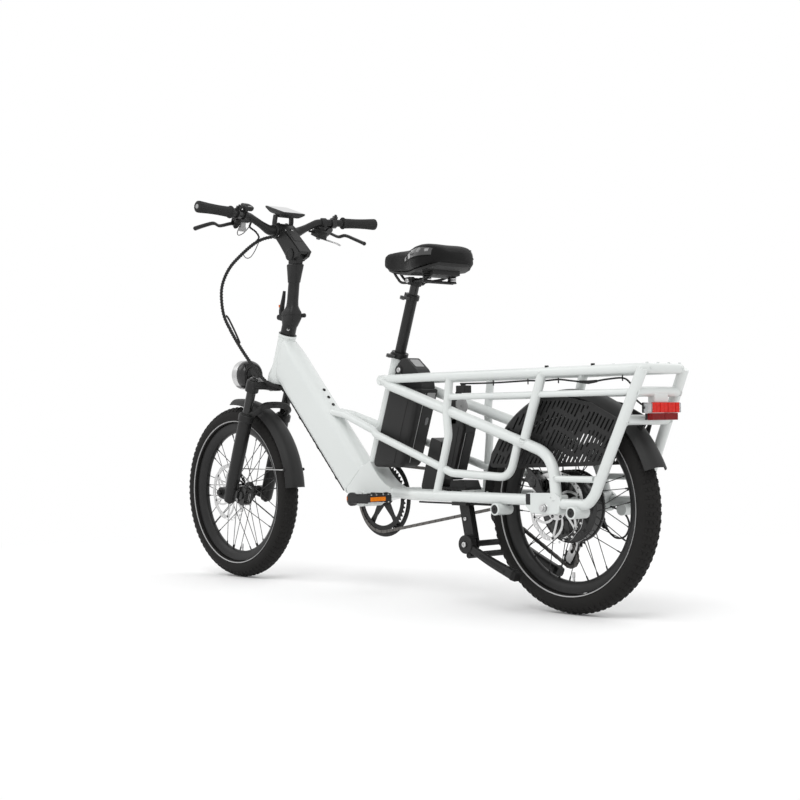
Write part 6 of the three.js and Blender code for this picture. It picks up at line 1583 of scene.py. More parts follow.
pad = {"place": Vector((1122, 153, 1113)), "lean": 0.5}
shifter = {"place": Vector((1150, -142, 1062)), "up": leaning(0.385), "reach": Vector((-74, -42, -30))}
shifterAhead = Vector((shifter["up"].z, 0, -shifter["up"].x))


def makeControls():
    at, up, ahead = pad["place"], leaning(pad["lean"]), polar(pad["lean"])
    side = sideways(1)
    shells = [onBar(1, 153, [(11.2, -6), (14.4, -6), (15, -5), (15, 5), (14.4, 6), (11.2, 6)]),
              tube([barAt(1, 153) + up * 10, at], 8, sides=20),
              stack(at, up, ((-7, 14, 13, 3.4), (-3, 17.4, 16.4, 3.6), (4, 18, 17, 3.8),
                             (6.6, 16.4, 15.4, 3.8)), ahead)]
    shells.append(lathe([(6.6, 3), (8.4, 3), (8.4, 7.4), (7.6, 8), (6.6, 8)], at, up, 32, loop=True))
    make("controlPad", shells, plastic, "cockpit", ["control_pad"], bevel=0.5)
    buttons = [block(at + up * 7 + ahead * 11.2 * s, (5, 12, 2.4), ahead, up) for s in (1, -1)]
    tab = [plate([(-3, -26), (3.4, -26), (5, -8), (4, 14), (-4, 16), (-6, 2)], 17, (1149, 150, 1076),
                 (1, 0, 0), (0, 0, 1)),
           block((1151, 150, 1052), (9, 22, 13), (1, 0, 0.3), (-0.3, 0, 1)),
           tube([(1141, 150, 1088), (1149, 150, 1072)], 6, sides=16)]
    make("padLever", buttons + tab, greyPlastic, "cockpit", bevel=1.6)
    make("padButton", [lathe([(0, 3.8), (6, 3.8), (6, 7.7), (5, 8.6), (0, 8.9)], at, up, 28)], plastic, "button",
         ["pad_button"], bevel=0.3)
    at, up = shifter["place"], shifter["up"]
    across = up.cross(shifterAhead)
    pod = [onBar(-1, 150, [(11.2, -8), (14.4, -8), (15, -7), (15, 7), (14.4, 8), (11.2, 8)]),
           tube([barAt(-1, 150), at], 9, sides=20),
           plate(strapOutline((-13, 0, 17), (13, 0, 16.6), 14), 17, shift(at, up, -4), shifterAhead, across),
           plate(strapOutline((-12, 0, 13), (12, 0, 12.6), 14), 26, at, shifterAhead, across),
           tube([at - side * 14 + shifterAhead * 8, at + side * 24 + shifterAhead * 10], 5.2, sides=20, sizes=[1, 0.8]),
           tube([at + side * 22 + shifterAhead * 10, at + side * 33 + shifterAhead * 11], 3.4, sides=16)]
    hub = shift(at, up, -14.9)
    pod.append(tube([shift(at, up, -12), shift(hub, up, -5)], 3, sides=16))
    pod.append(lathe([(0, -5.4), (6, -5.4), (6, -2.2), (3, -2.2), (0, -2.2)], hub, up, 20))
    make("shifter", pod, plastic, "cockpit", ["shifter"], bevel=1.2)
    reach = shifter["reach"] - up * shifter["reach"].dot(up)
    reach.normalize()
    wide = up.cross(reach)
    lever = [plate(strapOutline((0, 0, 8), (62, 0, 5.2), 10), 2.6, hub, reach, wide, [circle(3.4, 16)]),
             sweep([hub + reach * 58, hub + reach * 70 - up * 1, hub + reach * 77 - up * 3.5],
                   roundRect(13, 3, 1.2, 3), up=up)]
    make("shiftPaddle", lever, steel, "paddle", ["shift_paddle"], bevel=0.6)


display = {"place": Vector((1139, 0, 1112)), "lean": 0.325}


def makeDisplay(values):
    at, ahead, up = values["place"], polar(values["lean"]), leaning(values["lean"])
    side = sideways(1)
    rows = ((-8.5, 38, 31, 5), (-7, 41, 34, 6), (3, 51, 43.4, 8), (6, 51.5, 44, 9), (8, 50.5, 43, 9))
    shells = [stack(at, up, rows, ahead, 48)]
    for y in (1, -1):
        shells.append(lathe([(16.1, 26.8), (20.4, 26.8), (21, 28), (21, 34.4), (20.4, 35.4), (16.1, 35.4)],
                            (1150, 0, 1056), (0, y, 0), 40, loop=True))
        arm = [Vector((1151, y * 31, 1075)), Vector((1148, y * 31, 1088)), Vector((1146, y * 29, 1104))]
        shells.append(sweep(smoothed(arm, 4), roundRect(8, 17, 2.5, 3), up=(1, 0, 0)))
        shells.append(boltHead((1170, y * 31, 1058), (1, 0, 0), 3.4, 3, 3))
    shells.append(block((1146, 0, 1101), (20, 50, 5), ahead, up))
    make("display", shells, plastic, "cockpit", ["display"], bevel=0.8)
    make("displayScreen", [plate(roundRect(92, 78, 5, 4), 1.2, shift(at, up, 8.3), ahead, side)], screen,
         "cockpit", bevel=0.3)


makeStem(stem)
makeRiser(riser)
makeBar(bar)
makeBrakeControls()
makeControls()
makeDisplay(display)
print("stem, handlebar and controls made")

# Seat post and saddle
post = {"outer": 15.3, "outerLong": 360, "inner": 12.6, "wall": 13, "innerLong": 300, "exposed": 165,
        "shown": 26, "clamp": 19.5, "clampHigh": 15, "marks": 8}
camLevers = [("seat", seatAt(-8), mainTube["collarRadius"], "seat_lever", "frame"),
             ("post", seatAt(157.5), post["clamp"], "post_lever", "outer_post")]


def makePost(values):
    outer, wall, clamp, high = values["outer"], values["wall"], values["clamp"], values["clampHigh"]
    top, low = values["exposed"], values["exposed"] - values["outerLong"]
    shaft = lathe([(wall, low), (outer - 0.6, low), (outer, low + 1), (outer, top), (wall, top)], seatTop,
                  seatUp, 48, loop=True)
    marks = [block(seatAt(12 + 11 * i) - seatAhead * (outer - 0.55), (1.4, 5, 0.8 + 1.8 * (i % 2)), seatAhead, seatUp)
             for i in range(values["marks"])]
    ring = lathe([(outer + 0.1, top - high + 0.4), (clamp - 1, top - high + 0.4), (clamp, top - high + 1.4),
                  (clamp, top - 1), (clamp - 1.5, top + 0.5), (wall, top + 0.5)], seatTop, seatUp, 48, loop=True)
    ears = [block(seatAt(top - high / 2) + seatAhead * clamp + sideways(side * 4.2), (15, 5, high - 1),
                  seatAhead, seatUp)
            for side in (1, -1)]
    make("seatpostOuter", [shaft, ring, *ears, *marks], black, "outer_post", ["seatpost_outer"], bevel=0.6)
    upper = top + values["shown"]
    make("seatpostInner", [tube([seatAt(upper - values["innerLong"]), seatAt(upper)], values["inner"],
                                sides=40)], gloss,
         "saddle_post", ["seatpost_inner"])
    for name, at, radius, body, host in camLevers:
        eye = at + Vector((radius + 6, 0, 0))
        pivot = eye + sideways(12.8)
        knee, tip = pivot + Vector((-12, 0, 0)), pivot + Vector((-46, 0, -6))
        knee.y, tip.y = 30, 31
        lever = smoothed([pivot + sideways(3), knee, mix(knee, tip, 0.5) + sideways(2), tip], 6)
        sizes = [1 - 0.25 * k / (len(lever) - 1) for k in range(len(lever))]
        shells = [tube([shift(pivot, seatUp, -5), shift(pivot, seatUp, 5)], 6.4, sides=28),
                  sweep(lever, roundRect(6, 11, 2, 4), up=seatUp, sizes=sizes)]
        make(f"{name}ClampLever", shells, gloss, body, [f"{name}_clamp_lever"], bevel=0.5)
        nut = [lathe([(0, 0), (7, 0), (7, 4), (5.4, 8), (0, 8)], eye + sideways(-8), (0, -1, 0), 24),
               tube([eye + sideways(-9), eye + sideways(6)], 2.4, sides=12)]
        make(f"{name}ClampNut", nut, steel, host, bevel=0.4)


saddle = {"stations": [(406, 34, 926, 908), (413, 66, 938, 898), (427, 90, 947, 891), (452, 97, 951, 886),
                       (484, 88, 949, 884), (520, 66, 945, 884), (560, 45, 944, 886), (602, 33, 945, 890),
                       (644, 27, 943, 898), (664, 20, 938, 905), (674, 10, 931, 912)],
          "dome": 0.42, "panelEnd": 560}


def saddleSection(along):
    places = smoothed([Vector((x, half, top)) for x, half, top, low in saddle["stations"]], 10)
    lows = smoothed([Vector((x, low, 0)) for x, half, top, low in saddle["stations"]], 10)
    k = min(range(len(places)), key=lambda i: abs(places[i].x - along))
    return places[k].y, places[k].z, lows[k].y


def saddlePoint(along, turn, off=0.0):  # turn runs from 0 at the left rim over the top to pi at the right rim
    half, top, low = saddleSection(along)
    c, s = cos(turn), sin(turn)
    across = half * abs(c) ** saddle["dome"] * (1 if c > 0 else -1)
    high = max(top - low, 1)
    dish = 2.2 * (1 - abs(across) / max(half, 1)) * (1 if along < 640 else 0)
    rise = low + high * (0.16 + 0.84 * abs(s) ** (saddle["dome"] + 0.1)) - dish
    out = Vector((0, c * high, s * half)).normalized()
    return Vector((along, across, rise)) + out * off


def saddleStations():
    xs = [stop[0] for stop in saddle["stations"]]
    return [xs[0] + 0.01, 408, 410.5, 413, 417, 422, 428, 436, 446, *range(458, 640, 12), 644, 652, 659, 665, 669,
            672, xs[-1] - 0.01]


def makeSaddle(values):
    rings = []
    for along in saddleStations():
        half, _, low = saddleSection(along)
        over = [saddlePoint(along, pi * k / 30) for k in range(31)]
        under = [Vector((along, -half * 0.93, low + 1.5)), Vector((along, -half * 0.82, low)),
                 Vector((along, half * 0.82, low)),
                 Vector((along, half * 0.93, low + 1.5))]
        rings.append(over + under)
    cover = make("saddleCover", [loft(rings)], vinyl, "saddle_post", ["saddle"], angle=60)
    panels, pipes = [], []
    for side in (1, -1):
        grid = []
        xs = [along for along in saddleStations() if 416 < along < values["panelEnd"]]
        for along in xs:
            share = (along - xs[0]) / (xs[-1] - xs[0])
            low, high = 0.1, 0.36 + 0.34 * (1 - share) ** 0.5 - 0.1 * share
            turns = [low + (high - low) * k / 8 for k in range(9)]
            angles = [turn if side > 0 else pi - turn for turn in turns]
            grid.append([saddlePoint(along, angle, 1.1) for angle in angles]
                        + [saddlePoint(along, angle, -3) for angle in reversed(angles)])
        panels.append(loft(grid))
        edge = [ring[8] for ring in grid]
        pipes.append(sweep([*[ring[0] for ring in grid], *grid[-1][1:8], *reversed(edge)], circle(1.3, 8)))
    make("saddlePanels", panels, patent, "saddle_post", angle=60)
    make("saddlePiping", pipes, vinyl, "saddle_post")


def makeSaddleBase():
    rings = []
    for x, half, _, low in saddle["stations"][1:-1]:
        wide = max(half - 13, 4)
        rings.append([Vector((x, y, z)) for y, z in ((wide, low - 0.3), (wide + 3, low - 3), (wide - 1, low - 8),
                                                     (wide * 0.6, low - 10), (-wide * 0.6, low - 10),
                                                     (-wide + 1, low - 8), (-wide - 3, low - 3), (-wide, low - 0.3))])
    shells = [loft(rings)]
    for side in (1, -1):
        rail = [(636, side * 11, 890), (620, side * 12, 872), (596, side * 14, 858), (520, side * 22, 858),
                (482, side * 30, 862), (458, side * 44, 876)]
        shells.append(tube(smoothed([Vector(point) for point in rail], 6), 3.6, sides=14))
        for seat in ([(0, 0), (13, 0), (13, 3), (0, 3)], [(0, 27), (12, 27), (12, 34), (0, 34)]):
            shells.append(lathe(seat, (466, side * 46, 848), (0, 0, 1), 32))
    clamp = seatAt(203)
    shells.append(lathe([(0, -29), (8, -29), (11, -26), (11, -16), (9, -15), (9, 15), (11, 16), (11, 26), (8, 29),
                         (0, 29)], clamp, steps=36))
    shells += [block(clamp + Vector((0, side * 22, 2)), (26, 11, 16)) for side in (1, -1)]
    shells.append(lathe([(13.2, 191.3), (17, 191.3), (17.4, 193), (17, 207), (12, 210), (13.2, 205)], seatTop, seatUp,
                        40, loop=True))
    shells.append(tube([(466, -50, 850), (466, 50, 850)], 4.2, sides=16))
    shells.append(loft([[Vector((x, y, z)) for y, z in ((h, 884), (h, t), (-h, t), (-h, 884))]
                        for x, h, t in ((438, 50, 868), (470, 44, 862), (520, 26, 872))]))
    make("saddleBase", shells, plastic, "saddle_post", ["saddle_base"], bevel=0.8)
    coils = []
    for side in (1, -1):
        coil = [Vector((466 + 10.5 * cos(k * 0.5), side * 46 + 10.5 * sin(k * 0.5), 850 + 27 * k / 62))
                for k in range(63)]
        coils.append(sweep(coil, circle(1.9, 8)))
    make("saddleSprings", coils, black, "saddle_post")
    nuts = [boltHead(clamp + sideways(side * 29), (0, side, 0), 6, 5, 1) for side in (1, -1)]
    make("saddleNuts", nuts, steel, "saddle_post")


makePost(post)
makeSaddle(saddle)
makeSaddleBase()
print("seat post and saddle made")

# Batteries, each in its dock
seatBack = Vector((-cos(seatLean), 0, -sin(seatLean)))


def behindSeat(behind, z, y=0.0):  # a point this far behind the seat tube's line, at a level
    middle = shift(seatTop, seatBack, behind)
    return shift(middle, seatUp, (z - middle.z) / seatUp.z) + sideways(y)


frontPack = {"behind": 84.5, "long": 122, "wide": 76, "corner": 13, "low": 352, "high": 566, "capHalf": 24,
             "lock": (607, 619), "cap": [(624, 560), (622, 609), (611, 635), (594, 650), (578, 652), (537, 619),
                                         (519, 592), (512, 560)],
             "dockHalf": 22, "dockDeep": 10.4, "dockBehind": 25.5, "dockLevels": (385, 560)}


def makeFrontPack(values):
    rings = []
    for z, inset in ((values["low"], 13), (values["low"] + 2, 8), (values["low"] + 6, 3.5), (values["low"] + 12, 1),
                     (values["low"] + 20, 0), (values["high"] - 4, 0), (values["high"], 4)):
        middle = behindSeat(values["behind"], z)
        outline = roundRect(values["long"] - 2 * inset, values["wide"] - 2 * inset, values["corner"] - inset * 0.6, 6)
        rings.append([middle + Vector((x / cos(seatLean), y, 0)) for x, y in outline])
    shells = [loft(rings)]
    rear = values["behind"] + values["long"] / 2
    along = (behindSeat(0, 0) - behindSeat(0, 1)) * -1
    middleZ = (values["low"] + values["high"]) / 2
    shells.append(block(behindSeat(rear, middleZ, -9), (39, 2.8, 196), (0, 1, 0), along))
    for side in (1, -1):
        shells.append(block(behindSeat(values["behind"] - 6, middleZ + 4, side * values["wide"] / 2), (66, 1.8, 186),
                            seatBack, along))
    make("frontPack", shells, plastic, "frame", ["front_battery"], bevel=1)
    # a pale grey strip along the rear face: a painted highlight standing in for the light caught on the groove's edge
    grooveHighlight = [block(behindSeat(rear + 0.3, middleZ, 13.4), (1.6, 1.2, 198), (0, 1, 0), along)]
    make("frontPackSeam", grooveHighlight, greyPlastic, "frame")
    window = [plate(strapOutline((-6, 0, 5.5), (6, 0, 5.5), 8), 1.2, behindSeat(rear + 1.7, 478, -13),
                    along, (0, 1, 0))]
    make("frontPackWindow", window, screen, "frame", bevel=0.4)
    cap = [sidePlate(flatLoop(values["cap"], 14), -values["capHalf"], values["capHalf"])]
    x, z = values["lock"]
    cap.append(lathe([(8.2, 22), (13.5, 22), (13.5, 25.6), (12, 26.6), (8.2, 26.6)], (x, 0, z), steps=40, loop=True))
    make("frontPackCap", cap, plastic, "frame", bevel=3.2)
    lock = [lathe([(0, 22), (7.6, 22), (7.6, 26), (6.4, 27), (0, 27)], (x, 0, z), steps=32)]
    make("frontPackLock", lock, steel, "frame")
    # the keyway is a thin black block on the lock face: painted shade standing in for the dark slot
    make("frontPackKeyway", [block((x, 26.8, z), (1.4, 1.2, 6))], black, "frame")
    slope = (Vector((578, 0, 652)) - Vector((537, 0, 619))).normalized()
    away = Vector((-slope.z, 0, slope.x))
    make("frontPackLabel", [plate(roundRect(32, 32, 3, 3), 0.8, Vector((559, 0, 636.7)) + away * 0.3, slope, (0, 1, 0)),
                            plate(roundRect(20, 30, 2, 3), 0.8, behindSeat(rear + 1.5, 545, -9), along, (0, 1, 0))],
         greyPlastic, "frame")
    low, high = values["dockLevels"]
    dock = [block(behindSeat(values["dockBehind"], (low + high) / 2),
                  (values["dockDeep"], 2 * values["dockHalf"], (high - low) / seatUp.z), seatBack, along)]
    make("frontDock", dock, plastic, "frame", ["front_battery_dock"], bevel=1.6)
    facing = polar(seatLean)
    heads = [boltHead(shift(seatAt(distance), facing, 20), facing, 4, 3) for distance in (-70, -150)]
    make("dockBolts", heads, steel, "frame")


rearPack = {"outline": [(438, 321.3), (408, 482), (384, 490), (360, 476), (354, 458), (400, 321.3)], "half": 24,
            "controller": [(472, 435), (515, 298), (461, 298), (432, 422)], "controllerHalf": 32,
            "seat": [(345, 302), (410, 302), (404, 321), (354, 321)], "seatHalf": 27, "base": (430, 0, 299),
            "baseSize": (170, 58, 6.6), "grips": (12, 24), "gripRadius": 17, "gripBore": 12.5, "gripZ": 283}


def makeRearPack(values):
    half = values["half"]
    shells = [sidePlate(flatLoop(values["outline"], 16), 7 - half, half - 7),
              sidePlate(flatLoop([(434, 324), (405, 478), (384, 486), (363, 473), (358, 458), (403, 324)],
                                 8), -half, half),
              sidePlate(flatLoop([(384, 470), (407, 470), (402, 546), (386, 546)], 5), 2, half)]
    for side in (1, -1):
        shells.append(sidePlate(flatLoop([(426, 345), (400, 464), (374, 462), (408, 345)], 6), side * (half - 0.5),
                                side * (half + 0.9)))
    face = (Vector((400, 0, 321.3)) - Vector((354, 0, 458))).normalized()
    shells.append(block((376.6, -4, 390), (116, 30, 3), face, (-face.z, 0, face.x)))
    make("rearPack", shells, plastic, "frame", ["rear_battery"], bevel=2.4)
    make("rearPackSeam", [block((376.7, 14.5, 390), (118, 1.4, 1.4), face, (-face.z, 0, face.x))], greyPlastic, "frame")
    handle = [block((379, 0, 561), (34, 26, 20)), tube([(378, 2, 568), (378, 2, 577)], 7, sides=20),
              block((390, 8, 548), (12, 14, 14))]
    make("rearPackHandle", handle, plastic, "frame", bevel=2)
    plateShell = [sidePlate(strapOutline((366, 530, 13), (362, 515, 17), 12), half - 6, half + 1),
                  lathe([(0, half + 0.5), (6, half + 0.5), (6, half + 2.5), (0, half + 2.5)], (362, 0, 516), steps=24),
                  block((386, half - 3, 522), (20, 5, 18))]
    make("rearPackLock", plateShell, greyPlastic, "frame", bevel=1)
    # the keyway is a thin black block on the lock plate: painted shade standing in for the dark slot
    make("rearPackKeyway", [block((362, half + 2.4, 516), (1.4, 1.2, 6))], black, "frame")
    (x, _, z), (long, wide, thick) = values["base"], values["baseSize"]
    dock = [block((x, 0, z), (long, wide, thick)), sidePlate(values["seat"], -values["seatHalf"], values["seatHalf"])]
    low, high = values["grips"]
    bore, reach = values["gripBore"], values["gripRadius"]
    for side in (1, -1):
        sleeve = [(bore, side * low), (reach, side * low), (reach, side * high), (bore, side * high)]
        dock.append(lathe(sleeve, (x, 0, values["gripZ"]), steps=40, loop=True))
    make("rearDock", dock, plastic, "frame", ["rear_battery_dock"], bevel=1.2)
    make("dockScrews", [boltHead((x + at, side * 22, z + 3), (0, 0, 1), 4, 3) for at in (-72, 76) for side in (1, -1)],
         steel, "frame")
    face = (Vector((461, 0, 298)) - Vector((432, 0, 422))).normalized()
    case = [sidePlate(flatLoop(values["controller"], 7), -values["controllerHalf"], values["controllerHalf"])]
    for i in range(9):
        case.append(block(mix((454.5, -24 + 6 * i, 322), (436, -24 + 6 * i, 404), 0.5) - Vector((0.9, 0, 0)),
                          (84, 2.2, 3), face, (-face.z, 0, face.x)))
    make("controller", case, black, "frame", bevel=0.8)


# Slotted skirts beside the rear wheel
skirt = {"y": 57.5, "thick": 2.6, "outline": [(105, 359), (229, 358), (222, 392), (177, 451), (133, 491),
                                              (54, 534), (-34, 532), (-113, 517), (-205, 474),
                                              (-171, 374), (-122, 367)],
         "pitch": 14.2, "width": 4.8, "lean": -0.66, "edge": 8, "rows": (403, 448, 492), "gap": 9, "swing": 13,
         "swingLong": 118, "bosses": ((68.2, 500), (60, 412))}


def edgeRoom(outline, x, z):  # how far inside the outline a point lies, below zero when it is outside
    nearest, inside = 1e9, False
    for (x1, z1), (x2, z2) in zip(outline, [*outline[1:], outline[0]]):
        share = min(max(((x - x1) * (x2 - x1) + (z - z1) * (z2 - z1)) / ((x2 - x1) ** 2 + (z2 - z1) ** 2), 0), 1)
        nearest = min(nearest, hypot(x - x1 - share * (x2 - x1), z - z1 - share * (z2 - z1)))
        if (z1 > z) != (z2 > z) and x < x1 + (z - z1) * (x2 - x1) / (z2 - z1):
            inside = not inside
    return nearest if inside else -nearest


def skirtSlots(values, outline):
    slots = []
    across = Vector((values["lean"], 1)).normalized()
    half = values["width"] / 2
    for i in range(-30, 34):
        runs, start = [], None
        for step in range(110):
            z = 352 + step * 2
            x = 20 + i * values["pitch"] + values["lean"] * (z - 450)
            wave = 2 * abs((x / values["swingLong"]) % 1 - 0.5) - 0.5
            barred = any(abs(z - row - 2 * values["swing"] * wave) < values["gap"] / 2 for row in values["rows"])
            barred = barred or any(hypot(x - bx, z - bz) < 13 for bx, bz in values["bosses"])
            clear = not barred and edgeRoom(outline, x, z) > values["edge"]
            if clear and start is None:
                start = Vector((x, z))
            if not clear and start is not None:
                runs.append((start, Vector((x, z)) - across * 2.1))
                start = None
        for low, high in runs:
            if (high - low).length < 7:
                continue
            low, high = low + across * half, high - across * half
            turn = atan2(across.y, across.x)
            slots.append([(end.x + half * cos(turn + base + k * pi / 4), end.y + half * sin(turn + base + k * pi / 4))
                          for end, base in ((low, pi / 2), (high, -pi / 2)) for k in range(5)])
    return slots


def makeSkirts(values):
    outline = flatLoop(values["outline"], 16)
    slots = skirtSlots(values, outline)
    for name, side in sides.items():
        near, far = side * (values["y"] - values["thick"] / 2), side * (values["y"] + values["thick"] / 2)
        make(f"{name}Skirt", [sidePlate(outline, near, far, slots)], plastic, "frame", [f"{name}_wheel_skirt"])
        bosses = [lathe([(0, side * 56.5), (6, side * 56.5), (6, side * 76), (0, side * 76)], (x, 0, z), steps=24)
                  for x, z in values["bosses"]]
        make(f"{name}SkirtBosses", bosses, plastic, "frame")
        heads = [boltHead((x, side * 56.4, z), (0, -side, 0), 4.4, 2.4) for x, z in values["bosses"]]
        make(f"{name}SkirtBolts", heads, steel, "frame")


makeFrontPack(frontPack)
makeRearPack(rearPack)
makeSkirts(skirt)
print("batteries and skirts made")

# Tail light and the small fasteners of the rack
tail = {"back": -264, "front": -286, "left": 56, "right": -63, "low": 491, "high": 515, "red": (-57, 43),
        "reflector": (474, 490.4), "reflectorEnds": (-50, 46)}


def makeTailLight(values):
    back, front, low, high, left, right = [values[key] for key in ("back", "front", "low", "high", "left", "right")]
    middle = (low + high) / 2
    start, end = values["reflectorEnds"]

    def spread(first, last, fromX, toX, base, top):
        return block(((fromX + toX) / 2, (first + last) / 2, (base + top) / 2),
                     (abs(toX - fromX), last - first, top - base))

    case = [spread(right, left, back, back - 4, low, high), spread(start + 1, end - 1, back, back - 9, 474.6, 490),
            tube([(back - 6, left - 4, middle), (back - 6, left + 4, middle)], 3, sides=16)]
    make("tailLightCase", case, plastic, "frame", ["tail_light"], bevel=1)
    make("tailLightBracket", [block((back, -4, 527.5), (20, 50, 25))], paint, "frame", bevel=1.4)
    base, top = values["red"]
    ends = [(right, base - 0.3), (top + 0.3, left)]
    make("tailLightClearEnds", [spread(*span, back - 4, front, low, high) for span in ends], lens, "frame", bevel=3)
    make("tailLightInner", [spread(first + 2, last - 2, back - 3, front + 5, low + 3, high - 3)
                            for first, last in ends],
         paleInner, "frame", bevel=1)
    count = 7
    wide = (top - base) / count
    red = [spread(base + i * wide + 0.4, base + (i + 1) * wide - 0.4, back - 4, front + i % 2, low, high)
           for i in range(count)]
    make("tailLightRed", red, redLens, "frame", bevel=2)
    low, high = values["reflector"]
    halves = [(start, -1), (-0.4, end)]
    make("tailReflector", [spread(*span, back - 8, front, low, high) for span in halves], darkRed, "frame", bevel=1.2)


def makeRackBolts():
    over, back = rack["railTop"] + rack["rail"] - 0.5, rack["rearX"] - rack["rail"] + 0.5
    heads = [boltHead((x, side * rack["half"], over), (0, 0, 1), 5, 4.5) for x in (12, -135) for side in (1, -1)]
    make("rackBolts", heads, black, "frame")
    small = [boltHead((rack["rearX"], y, over), (0, 0, 1), 3.4, 3) for y in (60, 20, -20, -60)]
    small += [boltHead((-198, side * rack["half"], over), (0, 0, 1), 4, 1.6) for side in (1, -1)]
    small += [boltHead((back, y, rack["railTop"]), (-1, 0, 0), 3.2, 1.6) for y in (58, -58)]
    make("rackPlugs", small, paint, "frame")
    face = [boltHead(downAt(at, mainTube["depth"] / 2 - 0.5), downFace, 5, 3) for at in (232, 262, 292)]
    make("downTubeBolts", face, black, "frame")


makeTailLight(tail)
makeRackBolts()

# Two-legged stand and its bracket
stand = {"pivot": (281, 162), "plate": (302, 0, 265.3), "plateSize": (52, 196, 9), "armFoot": (302, 258),
         "armRadius": 17, "armInner": 60, "armOuter": 78.6, "legInner": 79, "legOuter": 99, "ringRadius": 24,
         "bore": 8.4, "pinRadius": 8, "pinHalf": 102, "leg": [(276, 89, 157), (205, 86, 124), (131, 79.6, 94)],
         "foot": (124, 79, 92)}


def makeStand(values):
    px, pz = values["pivot"]
    ax, az = values["armFoot"]
    inner, outer, ring, bore = values["armInner"], values["armOuter"], values["ringRadius"], values["bore"]
    shells = [block(values["plate"], values["plateSize"])]
    for side in (1, -1):
        outline = strapOutline((ax, az, values["armRadius"]), (px, pz, values["armRadius"] - 0.5), 16)
        cut = [(x, min(z, 269)) for x, z in outline]
        shells.append(sidePlate(cut, side * inner, side * (inner + 6)))
        shells.append(sidePlate(cut, side * (outer - 6), side * outer))
        spine = [(ax - 14, 262), (ax + 14, 262), (px + 13, pz + 16), (px - 13, pz + 16)]
        shells.append(sidePlate(spine, side * (inner + 5), side * (outer - 5)))
    shells.append(tube([(306, -66, 227), (306, -41.2, 227)], 2.9, sides=20))
    shells.append(tube([(px, -values["pinHalf"] + 2, pz), (px, values["pinHalf"] - 2, pz)],
                       values["pinRadius"], sides=32))
    make("standBracket", shells, black, "frame", ["kickstand_bracket"], bevel=1.6)
    heads = [boltHead((px, side * (values["pinHalf"] - 2), pz), (0, side, 0), 7, 3.5) for side in (1, -1)]
    heads += [boltHead((ax - 4, side * outer, 226), (0, side, 0), 5, 3) for side in (1, -1)]
    make("standBolts", heads, steel, "frame")
    legs = []
    for side in (1, -1):
        near, far = side * values["legInner"], side * values["legOuter"]
        rim = [(bore, near), (ring - 1.4, near), (ring, near + side * 1.4), (ring, far - side * 1.4), (ring - 1.4, far),
               (bore, far)]
        legs.append(lathe(rim, (px, 0, pz), steps=48, loop=True))
        path = smoothed([(x, side * y, z) for x, y, z in values["leg"]], 6)
        run = (path[-1] - path[0]).normalized()
        upward = perpendicular(run, (0, 0, 1))[0]
        legs.append(sweep(path, roundRect(15, 19, 4.5, 4), up=upward,
                          sizes=[1 + 0.35 * k / (len(path) - 1) for k in range(len(path))]))
        legs.append(sweep([shift(point, (0, side, 0), 9) for point in path[4:11]], roundRect(5, 7, 2, 3), up=upward))
        foot = Vector((values["foot"][0], side * values["foot"][1], values["foot"][2]))
        for k in range(5):
            middle = foot + run * (3 * k - 4)
            legs.append(plate(roundRect(28 - k, 27, 7, 5), 1.9, middle, upward, run.cross(upward)))
        legs.append(sweep([foot - run * 8, foot + run * 9], roundRect(22, 23, 6, 5), up=upward))
    legs.append(tube([(277, -89.5, 134), (277, 89.5, 134)], 8, sides=28))
    make("standLegs", legs, black, "stand_legs", ["kickstand_legs"], bevel=0.9)


makeStand(stand)
print("rear light and stand made")

# Cables and hoses
bundle = {"route": [(1177, 12, 1043), (1211, 30, 1037), (1248, 40, 1023), (1300, 45, 997), (1356, 48, 963),
                    (1394, 48, 921), (1408, 46, 879), (1400, 44, 820), (1371, 42, 773), (1314, 42, 710),
                    (1246, 46, 652), (1176, 46, 600)],
          "core": 4.5, "wire": 1.4, "pitch": 9.5, "splits": (4, 8)}


def runLong(path):
    return sum((after - here).length for here, after in zip(path, path[1:]))


def evenly(path, gap):
    whole, dense, walked = runLong(path), [path[0]], 0.0
    count = max(2, round(whole / gap))
    goal = 1
    for here, after in zip(path, path[1:]):
        part = (after - here).length
        while goal < count and walked + part >= goal * whole / count:
            dense.append(mix(here, after, (goal * whole / count - walked) / part))
            goal += 1
        walked += part
    return [*dense, path[-1]]


def wound(path, radius, wire, pitch):  # a wire wound round a path
    points, along = [], 0.0
    normal = perpendicular(path[1] - path[0])[0]
    for i, here in enumerate(path):
        tangent = (path[min(i + 1, len(path) - 1)] - path[max(i - 1, 0)]).normalized()
        normal = (normal - tangent * normal.dot(tangent)).normalized()
        angle = along * 2 * pi / pitch
        points.append(here + (normal * cos(angle) + tangent.cross(normal) * sin(angle)) * radius)
        if i < len(path) - 1:
            along += (path[i + 1] - here).length
    return sweep(points, circle(wire, 6))


def cordPiece(name, points, radius, look, body, nodes=(), wire=0.0, ends=None, sides=14):
    path = evenly([Vector(point) for point in points], 4)
    shells = [sweep(path, circle(radius, sides))]
    if wire:
        shells.append(wound(evenly(path, bundle["pitch"] / 12), radius, wire, bundle["pitch"]))
    made = build(name, shells)
    if ends:
        made.data.materials.append(look.material)
        if nodes:
            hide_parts(*nodes)
        tuple(inFrame(path[0]))
        tuple(inFrame(path[-1]))
        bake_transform(made)
    else:
        fit(made, look, body, nodes)
    tuple(inFrame(path[0]))
    runLong(path) * mm
    [tuple(inFrame(point)) for point in path]
    return made


